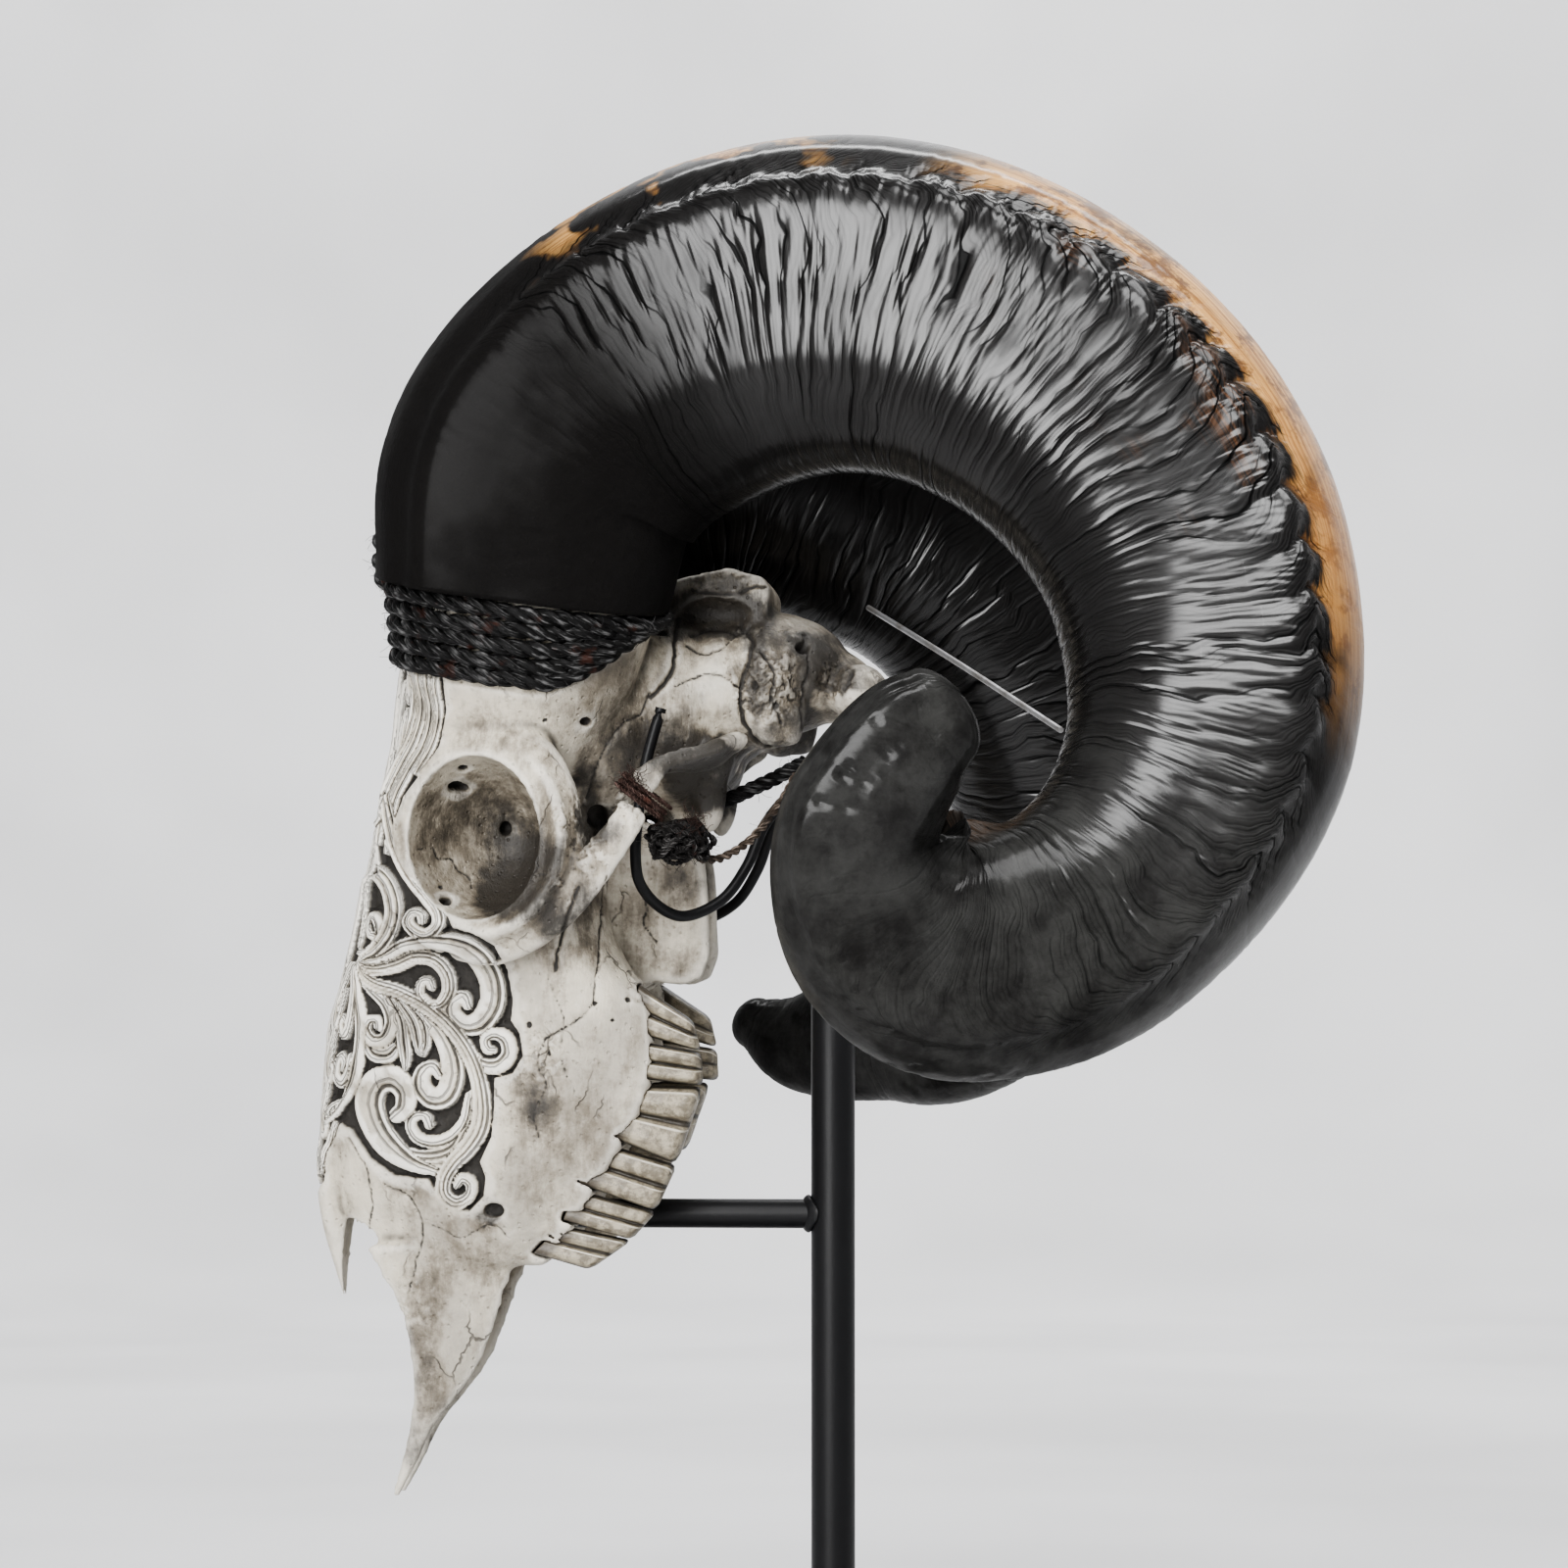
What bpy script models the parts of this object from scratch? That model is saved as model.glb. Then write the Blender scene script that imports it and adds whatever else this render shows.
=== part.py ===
"""Carved ram skull with curled horns on a black metal stand, nose down.

Metres, +Z up. X is across the skull with its left side at +X, the face looks along -Y, and the
pole of the stand stands on the Z axis. The stand's base rests on z = 0.
"""

import math

import bmesh
import bpy
import numpy as np
from mathutils import Matrix, Vector

GAP = 0.0003  # clearance between pieces that touch

# Stand
BASE_SIZE = (0.200, 0.180, 0.008)
BASE_CORNER = 0.006
POLE_RADIUS = 0.006
POLE_TOP = 0.2815
ARM_RADIUS = 0.004
ARM_HEIGHT = 0.160
ARM_TIP_Y = -0.0730
HOOK_RADIUS = 0.0015
HOOK_ROUTE = [
    (0.0068, -0.0030, 0.2770),
    (0.0100, -0.0110, 0.2745),
    (0.0140, -0.0178, 0.2660),
    (0.0175, -0.0222, 0.2550),
    (0.0215, -0.0290, 0.2455),
    (0.0275, -0.0395, 0.2412),
    (0.0365, -0.0480, 0.2475),
    (0.0420, -0.0500, 0.2580),
    (0.0435, -0.0475, 0.2795),
    (0.0435, -0.0430, 0.2965),
]

# Horn seats: where the horn sheaths stand on the skull, given for the left side
SEAT_CENTRE = (0.037, -0.081, 0.316)  # middle of the rope band
SEAT_TILT = math.radians(8.0)  # the front of the seat is the higher side
SEAT_SPLAY = math.radians(9.0)  # the outer side of the seat is the lower side
PEDICLE_LOW = (0.0220, 0.0300)  # radii across and along the skull, under the rope
PEDICLE_HIGH = (0.0250, 0.0345)  # radii at the horn's foot
PEDICLE_ROOT = 0.034  # how far below the middle of the band the stub starts inside the forehead
PEDICLE_ROOT_SHARE = 0.8  # of its radii there
SEAT_CUT = 0.001  # what is cut off the stub to make room for the rope
SEAT_SIDE_CLEARANCE = 0.002
SEAT_TOP = 0.040  # height above the band's middle that is clear of the skull
ROPE_TURNS = 5
ROPE_TURN_HEIGHT = 0.0046
ROPE_THICKNESS = 0.0050
ROPE_GROOVE_SHARE = 0.66  # of the thickness, in the grooves between turns
ROPE_INNER_CLEARANCE = 0.0008
ROPE_RISE_START = 0.30  # sine of the angle past which the lower edge rises to the back
ROPE_REAR_RISE = 0.85  # share of the band's height
ROPE_HALF_HEIGHT = ROPE_TURNS * ROPE_TURN_HEIGHT / 2

# Horn stations: across, along, up, radial half width, sideways half depth
HORN_STATIONS = [
    (0.0395, -0.0796, 0.3285, 0.0412, 0.0295),
    (0.0415, -0.0750, 0.3575, 0.0442, 0.0305),
    (0.0450, -0.0590, 0.3787, 0.0442, 0.0315),
    (0.0495, -0.0363, 0.3925, 0.0450, 0.0320),
    (0.0550, -0.0115, 0.4005, 0.0450, 0.0320),
    (0.0610, 0.0134, 0.4014, 0.0444, 0.0315),
    (0.0670, 0.0387, 0.3949, 0.0436, 0.0310),
    (0.0740, 0.0635, 0.3801, 0.0426, 0.0305),
    (0.0810, 0.0835, 0.3602, 0.0414, 0.0300),
    (0.0890, 0.0970, 0.3361, 0.0398, 0.0290),
    (0.0970, 0.1028, 0.3107, 0.0382, 0.0280),
    (0.1050, 0.1027, 0.2880, 0.0364, 0.0270),
    (0.1120, 0.0968, 0.2690, 0.0342, 0.0258),
    (0.1200, 0.0863, 0.2520, 0.0318, 0.0245),
    (0.1280, 0.0714, 0.2374, 0.0303, 0.0235),
    (0.1360, 0.0551, 0.2301, 0.0297, 0.0225),
    (0.1440, 0.0374, 0.2280, 0.0284, 0.0215),
    (0.1520, 0.0235, 0.2350, 0.0255, 0.0200),
    (0.1590, 0.0166, 0.2470, 0.0212, 0.0180),
    (0.1645, 0.0160, 0.2600, 0.0186, 0.0165),
    (0.1680, 0.0222, 0.2715, 0.0173, 0.0152),
    (0.1700, 0.0305, 0.2815, 0.0158, 0.0140),
    (0.1705, 0.0375, 0.2870, 0.0128, 0.0118),
]
HORN_TIP_ROUNDING = (0.0070, 0.0030)  # how far past the last station, and the last radius
HORN_RIDGES = 44  # rings from foot to tip, alternately high and low
HORN_FOOT_RINGS = 4  # rings over which the foot turns from its seat to the curl
HORN_RIDGE_HEIGHT = 0.0006
HORN_RIDGE_REACH = (0.0, 0.12, 0.74, 0.84)  # shares of the length where ridges start and fade
HORN_KEEL_HEIGHT = 0.0012
HORN_KEEL_REACH = (0.10, 0.30, 0.55, 0.75)
HORN_TIP_STEPS = (0.55, 0.88, 1.0)  # shares of the tip's rounding where its rings lie
HORN_FLANGE = 0.0170  # how far the inner edge turns up inside the curl near the tip
HORN_FLANGE_MIDDLE = 0.83  # share of the length where that edge is largest
HORN_FLANGE_REACH = 0.11
# Section of a horn: radial share from the inner to the outer curve, sideways share outwards
HORN_SECTION = [
    (1.00, 0.10),
    (0.88, 0.58),
    (0.72, 0.80),
    (0.58, 1.00),
    (0.10, 1.00),
    (-0.45, 0.86),
    (-0.85, 0.52),
    (-1.00, 0.00),
    (-0.86, -0.52),
    (-0.45, -0.88),
    (0.15, -1.00),
    (0.70, -0.78),
    (0.94, -0.40),
]
KEEL_POINTS = (2, 3)  # points of the section that carry the keel
FLANGE_POINTS = (8, 9)  # points of the section on the hidden side of the inner edge
# The right horn is set lower and further round on its seat, and is a little smaller
RIGHT_HORN_TURN = math.radians(24.0)
RIGHT_HORN_SCALE = 0.87
# It is broken off before its tip turns up: these stations take the place of the rest
RIGHT_HORN_KEPT = 14
RIGHT_HORN_END = [
    (0.1165, 0.0090, 0.2085, 0.0205, 0.0165),
    (0.1235, -0.0065, 0.2060, 0.0178, 0.0145),
    (0.1290, -0.0205, 0.2064, 0.0146, 0.0120),
    (0.1335, -0.0325, 0.2112, 0.0080, 0.0070),
]
RIGHT_HORN_TURN_STATIONS = 4  # stations from its foot to the full turn
RIGHT_HORN_NARROWS_FROM = 9  # station
RIGHT_HORN_NARROWING = 0.15  # share of its width lost by the last kept station
RIGHT_HORN_LIFT = 0.0020  # how far the last kept station is raised

# Teeth: line of the gum and of the crowns' ends in side view, from the back tooth forwards
GUM_LINE = [
    (-0.0450, 0.2202),
    (-0.0466, 0.2075),
    (-0.0466, 0.1964),
    (-0.0540, 0.1790),
    (-0.0619, 0.1663),
    (-0.0659, 0.1568),
    (-0.0748, 0.1479),
]
CROWN_LINE = [
    (-0.0358, 0.2133),
    (-0.0336, 0.2046),
    (-0.0331, 0.1954),
    (-0.0403, 0.1743),
    (-0.0463, 0.1616),
    (-0.0531, 0.1537),
    (-0.0647, 0.1455),
]
TOOTH_MIDDLE_X = (0.0290, 0.0288, 0.0274, 0.0250, 0.0222, 0.0196)
TOOTH_HALF_WIDTH = (0.0058, 0.0062, 0.0060, 0.0050, 0.0045, 0.0040)
TOOTH_ROOT = 0.006
TOOTH_ROOT_SHARE = 0.86  # how much narrower a tooth is at its root
TOOTH_WIDTHS = ((0.0, 0.86), (0.55, 1.0), (1.0, 0.90))  # share of the way to the crown, share of the width
TOOTH_SPACING = 0.0005
RIGHT_CROWN_SHARES = (0.94, 0.94, 0.84, 0.74, 0.70, 0.70)  # the right crowns are worn shorter
SOCKET_GAP = 0.0009
# Section of a tooth: share along the row, share of the half width, outer side positive
TOOTH_SECTION = [
    (0.00, 0.50),
    (0.14, 0.98),
    (0.38, 0.92),
    (0.50, 0.64),
    (0.62, 0.96),
    (0.88, 0.98),
    (1.00, 0.45),
    (0.94, -0.85),
    (0.50, -0.80),
    (0.06, -0.85),
]

# Face, cut level: height, front, back, half widths at the nose, the cheek and the teeth
FACE_LEVELS = [
    (0.1465, -0.1270, -0.0780, 0.0105, 0.0185, 0.0195),
    (0.1500, -0.1290, -0.0735, 0.0120, 0.0215, 0.0215),
    (0.1580, -0.1335, -0.0675, 0.0135, 0.0260, 0.0245),
    (0.1715, -0.1420, -0.0593, 0.0150, 0.0320, 0.0300),
    (0.1850, -0.1419, -0.0510, 0.0170, 0.0360, 0.0330),
    (0.1983, -0.1410, -0.0460, 0.0190, 0.0390, 0.0350),
    (0.2116, -0.1395, -0.0460, 0.0210, 0.0410, 0.0350),
    (0.2210, -0.1367, -0.0480, 0.0230, 0.0420, 0.0335),
    (0.2300, -0.1343, -0.0545, 0.0250, 0.0430, 0.0310),
    (0.2420, -0.1311, -0.0590, 0.0290, 0.0460, 0.0300),
    (0.2520, -0.1290, -0.0600, 0.0330, 0.0490, 0.0290),
]
# Half outline of a face level: share of the way from nose to cheek or an inset from the teeth
FACE_OUTLINE = [
    ("nose", 0.60, 0.018),
    ("nose", 0.95, 0.085),
    ("side", 0.35, 0.240),
    ("side", 0.75, 0.480),
    ("side", 1.00, 0.720),
    ("side", 0.90, 0.880),
    ("teeth", -0.001, 0.985),
    ("teeth", 0.006, 1.000),
    ("teeth", 0.012, 0.970),
    ("teeth", 0.015, 0.900),
]
PALATE_DEPTH = 0.86

# Forehead and orbits, cut level: height, front, back, half widths at front, middle and back
BROW_LEVELS = [
    (0.2380, -0.1320, -0.0620, 0.0240, 0.0440, 0.0290),
    (0.2500, -0.1294, -0.0630, 0.0300, 0.0490, 0.0300),
    (0.2640, -0.1264, -0.0635, 0.0350, 0.0515, 0.0310),
    (0.2780, -0.1236, -0.0630, 0.0380, 0.0515, 0.0310),
    (0.2900, -0.1212, -0.0600, 0.0400, 0.0495, 0.0310),
    (0.3020, -0.1200, -0.0560, 0.0400, 0.0455, 0.0310),
    (0.3140, -0.1180, -0.0500, 0.0370, 0.0410, 0.0300),
    (0.3240, -0.1140, -0.0480, 0.0300, 0.0350, 0.0260),
]
# Half outline of a brow level: share from front to middle or middle to back, share of the depth
BROW_OUTLINE = [
    ("front", 0.50, 0.025),
    ("front", 0.92, 0.110),
    ("middle", 0.45, 0.220),
    ("middle", 0.96, 0.420),
    ("middle", 1.00, 0.580),
    ("back", 0.45, 0.800),
    ("back", 0.85, 0.940),
    ("back", 1.00, 0.990),
]

# Nose bones past the nose opening: height, front, back, half width
NOSE_BONE_LEVELS = [
    (0.1362, -0.1352, -0.1322, 0.0032),
    (0.1470, -0.1384, -0.1322, 0.0060),
    (0.1570, -0.1412, -0.1330, 0.0090),
    (0.1700, -0.1425, -0.1335, 0.0130),
    (0.1780, -0.1423, -0.1320, 0.0150),
]
# Blades of the upper jaw's front end: height, front, back, outer face, thickness
JAW_BLADE_LEVELS = [
    (0.0824, -0.1212, -0.1188, 0.0070, 0.0026),
    (0.0920, -0.1184, -0.1134, 0.0085, 0.0036),
    (0.1010, -0.1162, -0.1092, 0.0095, 0.0038),
    (0.1100, -0.1152, -0.1020, 0.0108, 0.0040),
    (0.1200, -0.1155, -0.0950, 0.0126, 0.0042),
    (0.1330, -0.1179, -0.0900, 0.0148, 0.0044),
    (0.1430, -0.1230, -0.0865, 0.0170, 0.0050),
    (0.1520, -0.1280, -0.0820, 0.0190, 0.0060),
]

# Orbit: middle of its rim, rim radii along and up, and how far the rim's back stands out
ORBIT_CENTRE = (0.0500, -0.0910, 0.2617)
ORBIT_RIM = (0.0226, 0.0252)
ORBIT_SKEW = 0.0080
ORBIT_RIM_THICKNESS = (0.0031, 0.0046)  # half, at the front and at the back
ORBIT_RIM_OFFSET = 0.35  # how far it lies outside its middle line, as a share of its thickness
ORBIT_RIM_STRETCH = 1.3  # its width across the skull over its width in the rim's plane
ORBIT_HOLLOW = (0.0340, 0.0196, 0.0221)
ORBIT_HOLLOW_SHIFT = (0.0080, -0.0028, 0.0)
ORBIT_HOLLOW_TURN = math.radians(-19.5)  # the socket looks outwards and forwards

# Round masses of the back of the skull: centre, radii, and whether each side has one
MASSES = [
    ((0.000, -0.0500, 0.3010), (0.0330, 0.0275, 0.0330), False),  # braincase
    ((0.000, -0.0780, 0.3000), (0.0340, 0.0440, 0.0270), False),  # crown between the horns
    ((0.000, -0.0180, 0.3080), (0.0310, 0.0240, 0.0185), False),  # back of the skull
    ((0.000, -0.0030, 0.3050), (0.0190, 0.0150, 0.0105), False),  # above the neck joint
    ((0.015, 0.0080, 0.3020), (0.0085, 0.0085, 0.0080), True),  # neck joint
    ((0.0285, -0.0150, 0.3030), (0.0105, 0.0100, 0.0180), True),  # mass behind the ear
    ((0.018, -0.0335, 0.2850), (0.0080, 0.0080, 0.0100), True),  # ear capsule
    ((0.017, -0.0300, 0.2770), (0.0048, 0.0056, 0.0135), True),  # plate beside the ear
]
CREST_LEVELS = [
    (0.3120, -0.0440, -0.0080, 0.0280),
    (0.3240, -0.0400, -0.0150, 0.0215),
    (0.3300, -0.0420, -0.0165, 0.0235),
    (0.3355, -0.0400, -0.0172, 0.0230),
    (0.3368, -0.0340, -0.0200, 0.0190),
]
# Bars of bone: route, radii across and along at each point
CHEEK_BAR = [
    ((0.0390, -0.1000, 0.2360), (0.0050, 0.0050)),
    ((0.0480, -0.0860, 0.2340), (0.0052, 0.0058)),
    ((0.0555, -0.0720, 0.2410), (0.0046, 0.0062)),
    ((0.0600, -0.0600, 0.2530), (0.0036, 0.0055)),
    ((0.0612, -0.0520, 0.2630), (0.0030, 0.0045)),
    ((0.0610, -0.0468, 0.2710), (0.0024, 0.0042)),
]
ARCH_SHELL = [
    ((0.0610, -0.0455, 0.2735), (0.0020, 0.0050)),
    ((0.0592, -0.0405, 0.2780), (0.0020, 0.0064)),
    ((0.0550, -0.0345, 0.2812), (0.0020, 0.0062)),
    ((0.0480, -0.0285, 0.2842), (0.0024, 0.0050)),
    ((0.0390, -0.0235, 0.2870), (0.0038, 0.0042)),
    ((0.0290, -0.0200, 0.2900), (0.0050, 0.0050)),
]
EAR_SPUR = [
    ((0.0300, -0.0090, 0.2980), (0.0050, 0.0060)),
    ((0.0290, -0.0060, 0.2900), (0.0032, 0.0042)),
    ((0.0280, -0.0030, 0.2850), (0.0022, 0.0026)),
]
SKULL_FLOOR = [
    ((0.0, 0.0040, 0.3050), (0.0130, 0.0070)),
    ((0.0, -0.0120, 0.3020), (0.0125, 0.0070)),
    ((0.0, -0.0240, 0.2980), (0.0120, 0.0070)),
    ((0.0, -0.0330, 0.2860), (0.0120, 0.0070)),
    ((0.0, -0.0385, 0.2740), (0.0120, 0.0070)),
    ((0.0, -0.0420, 0.2640), (0.0120, 0.0070)),
    ((0.0, -0.0460, 0.2520), (0.0125, 0.0070)),
]
# Thin plates behind the palate, in side view
PALATE_PLATE = [
    (-0.0620, 0.2700),
    (-0.0360, 0.2640),
    (-0.0338, 0.2540),
    (-0.0332, 0.2420),
    (-0.0326, 0.2310),
    (-0.0350, 0.2245),
    (-0.0400, 0.2225),
    (-0.0480, 0.2235),
    (-0.0580, 0.2170),
    (-0.0700, 0.2200),
]
PALATE_PLATE_FACES = (0.0105, 0.0150)  # inner and outer face
NOSE_OPENING = ((0.0, -0.1235, 0.1500), (0.0135, 0.0125, 0.0370))
NECK_HOLE = ((0.0, 0.0130, 0.2990), (0.0095, 0.0120, 0.0075))
CHEEK_HOLE = ((0.0320, -0.0893, 0.1612), (0.0060, 0.0034, 0.0034))

VOXEL = 0.0015
SKULL_TRIANGLES = 2300

# Ties
ROPE_CROSSING_ROUTE = [
    (0.0150, -0.1180, 0.3400),
    (0.0090, -0.1218, 0.3420),
    (0.0000, -0.1232, 0.3435),
    (-0.0090, -0.1218, 0.3420),
    (-0.0150, -0.1180, 0.3400),
]
ROPE_CROSSING_RADII = (0.0100, 0.0052)
ARCH_STRING_CENTRE = (0.0611, -0.0459, 0.2722)
ARCH_STRING_DIRECTION = (0.0, 0.62, 0.78)
ARCH_STRING_RADIUS = (0.0050, 0.0068)
ARCH_STRING_THICKNESS = 0.0014
ARCH_STRING_WIDTH = 0.0034
KNOT_CENTRE = (0.0520, -0.0375, 0.2610)
KNOT_RADII = (0.0060, 0.0085, 0.0055)
BROWN_CORD_RADIUS = 0.0013
BROWN_CORD_ROUTE = [
    (0.0478, -0.0325, 0.2560),
    (0.0415, -0.0265, 0.2566),
    (0.0330, -0.0190, 0.2625),
    (0.0250, -0.0125, 0.2720),
    (0.0180, -0.0085, 0.2800),
]
BLACK_CORD_RADIUS = 0.0022
BLACK_CORD_ROUTE = [
    (0.0095, -0.0300, 0.2725),
    (0.0095, -0.0210, 0.2765),
    (0.0090, -0.0130, 0.2803),
    (0.0080, -0.0068, 0.2838),
]
WIRE_RADIUS = 0.0008
WIRE_ENDS = ((-0.0300, 0.0080, 0.3290), (0.0640, 0.0640, 0.2890))

COLOURS = {
    "bone": ((0.62, 0.57, 0.48, 1.0), 0.62, 0.0),
    "tooth": ((0.55, 0.49, 0.38, 1.0), 0.38, 0.0),
    "horn": ((0.018, 0.017, 0.016, 1.0), 0.34, 0.0),
    "rope": ((0.012, 0.012, 0.012, 1.0), 0.90, 0.0),
    "string": ((0.090, 0.035, 0.022, 1.0), 0.92, 0.0),
    "stand": ((0.014, 0.014, 0.015, 1.0), 0.42, 0.0),
    "wire": ((0.30, 0.30, 0.30, 1.0), 0.35, 0.9),
}


def clear_scene():
    for old in list(bpy.data.objects):
        bpy.data.objects.remove(old, do_unlink=True)


def finish_of(name, kind):
    colour, roughness, metallic = COLOURS[kind]
    material = bpy.data.materials.new(name)
    material.use_nodes = True
    shader = material.node_tree.nodes["Principled BSDF"]
    shader.inputs["Base Color"].default_value = colour
    shader.inputs["Roughness"].default_value = roughness
    shader.inputs["Metallic"].default_value = metallic
    return material


def object_from(name, shape, kind=None):
    """A new object from a bmesh, with its own material when it is a piece of the model."""
    mesh = bpy.data.meshes.new(name)
    shape.to_mesh(mesh)
    shape.free()
    made = bpy.data.objects.new(name, mesh)
    bpy.context.scene.collection.objects.link(made)
    if kind:
        mesh.materials.append(finish_of(name, kind))
        mesh.shade_smooth()
        mesh.set_sharp_from_angle(angle=math.radians(35))
    return made


def helper(name, shape):
    """An object that only cuts or feeds another, and isn't part of the model."""
    made = object_from(name, shape)
    made.hide_render = True
    made.display_type = "WIRE"
    return made


def smooth_through(rows, steps):
    """A smooth curve through rows of numbers, with steps new rows for each gap."""
    rows = np.array(rows, float)
    first = 2 * rows[0] - rows[1]
    last = 2 * rows[-1] - rows[-2]
    p = np.vstack([first, rows, last])
    out = []
    for i in range(1, len(p) - 2):
        for k in range(steps):
            t = k / steps
            out.append(
                0.5
                * (
                    2 * p[i]
                    + (p[i + 1] - p[i - 1]) * t
                    + (2 * p[i - 1] - 5 * p[i] + 4 * p[i + 1] - p[i + 2]) * t * t
                    + (3 * p[i] - 3 * p[i + 1] + p[i + 2] - p[i - 1]) * t**3
                )
            )
    out.append(rows[-1])
    return np.array(out)


def skin_rings(shape, rings):
    """Joins rings of equal count into one closed body with both ends capped."""
    verts = [[shape.verts.new(point) for point in ring] for ring in rings]
    faces = []
    for low, high in zip(verts, verts[1:]):
        for i in range(len(low)):
            j = (i + 1) % len(low)
            faces.append(shape.faces.new((low[i], low[j], high[j], high[i])))
    faces.append(shape.faces.new(verts[0][::-1]))
    faces.append(shape.faces.new(verts[-1]))
    bmesh.ops.recalc_face_normals(shape, faces=faces)


def half_outline_ring(half, height, steps=2):
    """A level ring from the points of its left half, which start and end on the middle plane."""
    half = smooth_through(half, steps)
    left = [(x, y, height) for x, y in half]
    right = [(-x, y, height) for x, y in half[-2:0:-1]]
    return left + right


def face_ring(level):
    height, front, back, nose, cheek, teeth = level
    depth = back - front
    half = [(0.0, front)]
    for kind, amount, share in FACE_OUTLINE:
        if kind == "nose":
            x = nose * amount
        elif kind == "side":
            x = nose + (cheek - nose) * amount
        else:
            x = teeth - amount
        half.append((max(x, 0.004), front + depth * share))
    half.append((0.0, front + depth * PALATE_DEPTH))
    return half_outline_ring(half, height)


def brow_ring(level):
    height, front, back, at_front, at_middle, at_back = level
    depth = back - front
    half = [(0.0, front)]
    for kind, amount, share in BROW_OUTLINE:
        if kind == "front":
            x = at_front * amount
        elif kind == "middle":
            x = at_front + (at_middle - at_front) * amount
        else:
            x = at_middle + (at_back - at_middle) * amount
        half.append((x, front + depth * share))
    half.append((0.0, back))
    return half_outline_ring(half, height)


def oval_ring(height, front, back, half_width, count=16, power=2.6):
    """A level ring like a rounded box, from its front to its back."""
    middle = (front + back) / 2
    half_depth = (back - front) / 2
    ring = []
    for k in range(count):
        angle = 2 * math.pi * k / count
        c, s = math.cos(angle), math.sin(angle)
        x = half_width * math.copysign(abs(c) ** (2 / power), c)
        y = middle + half_depth * math.copysign(abs(s) ** (2 / power), s)
        ring.append((x, y, height))
    return ring


def add_levels(shape, rows, ring_of, steps=3):
    skin_rings(shape, [ring_of(row) for row in smooth_through(rows, steps)])


def add_ball(shape, centre, radii, side=1, turn=0.0, segments=20):
    place = Matrix.Translation((centre[0] * side, centre[1], centre[2]))
    place @= Matrix.Rotation(turn * side, 4, "Z")
    place @= Matrix.Diagonal((*radii, 1.0))
    bmesh.ops.create_uvsphere(shape, u_segments=segments, v_segments=segments // 2, radius=1.0, matrix=place)


def frames_along(points, sideways):
    """The direction and two cross directions at each point of a route."""
    points = np.array(points, float)
    ahead = np.gradient(points, axis=0)
    ahead /= np.linalg.norm(ahead, axis=1)[:, None]
    side = np.array(sideways, float)
    across = side - ahead * (ahead @ side)[:, None]
    across /= np.linalg.norm(across, axis=1)[:, None]
    return ahead, across, np.cross(ahead, across)


def add_bar(shape, route, side=1, count=12, steps=3, sideways=(1.0, 0.0, 0.0)):
    """A bar with an oval section that changes along its route."""
    rows = smooth_through([(*point, *radii) for point, radii in route], steps)
    rows[:, 0] *= side
    _, across, other = frames_along(rows[:, :3], sideways)
    rings = []
    for row, u, v in zip(rows, across, other):
        ring = []
        for k in range(count):
            angle = 2 * math.pi * k / count
            ring.append(row[:3] + u * row[3] * math.cos(angle) + v * row[4] * math.sin(angle))
        rings.append(ring)
    skin_rings(shape, rings)


def orbit_point(angle, side):
    return (
        side * (ORBIT_CENTRE[0] + ORBIT_SKEW * math.cos(angle) - 0.002 * math.sin(angle)),
        ORBIT_CENTRE[1] + ORBIT_RIM[0] * math.cos(angle),
        ORBIT_CENTRE[2] + ORBIT_RIM[1] * math.sin(angle),
    )


def add_orbit_rim(shape, side):
    """A closed ring of bone round the eye socket."""
    count, around = 36, 8
    points = [orbit_point(2 * math.pi * k / count, side) for k in range(count)]
    centre = Vector((side * ORBIT_CENTRE[0], ORBIT_CENTRE[1], ORBIT_CENTRE[2]))
    outwards = Vector((side, 0.0, 0.0))
    verts = []
    for point in points:
        away = (Vector(point) - centre).normalized()
        thin, thick = ORBIT_RIM_THICKNESS
        thickness = thin + (thick - thin) * (0.5 + 0.5 * away.y)
        ring = []
        for k in range(around):
            angle = 2 * math.pi * k / around
            offset = away * (math.cos(angle) + ORBIT_RIM_OFFSET)
            offset += outwards * ORBIT_RIM_STRETCH * math.sin(angle)
            ring.append(shape.verts.new(Vector(point) + offset * thickness))
        verts.append(ring)
    faces = []
    for i in range(count):
        low, high = verts[i], verts[(i + 1) % count]
        for k in range(around):
            j = (k + 1) % around
            faces.append(shape.faces.new((low[k], low[j], high[j], high[k])))
    bmesh.ops.recalc_face_normals(shape, faces=faces)


def add_plate(shape, outline, inner, outer, side=1):
    """A flat plate of bone with its outline in side view."""
    rings = []
    for x in (inner * side, outer * side):
        rings.append([(x, y, z) for y, z in outline])
    skin_rings(shape, rings)


def seat_frame(side):
    """Middle, axis, across and along directions of a horn seat."""
    centre = Vector((SEAT_CENTRE[0] * side, SEAT_CENTRE[1], SEAT_CENTRE[2]))
    along = Vector((0.0, math.cos(SEAT_TILT), -math.sin(SEAT_TILT)))
    upright = Vector((0.0, math.sin(SEAT_TILT), math.cos(SEAT_TILT)))
    axis = upright * math.cos(SEAT_SPLAY) + Vector((side * math.sin(SEAT_SPLAY), 0.0, 0.0))
    across = Vector((math.cos(SEAT_SPLAY), 0.0, 0.0)) - upright * (side * math.sin(SEAT_SPLAY))
    return centre, axis, across, along


def pedicle_radii(height, grow=0.0):
    """The bony stub's radii at a height from the middle of the rope band."""
    share = (height + ROPE_HALF_HEIGHT) / (2 * ROPE_HALF_HEIGHT)
    low, high = np.array(PEDICLE_LOW), np.array(PEDICLE_HIGH)
    return low + (high - low) * share + grow


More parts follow.
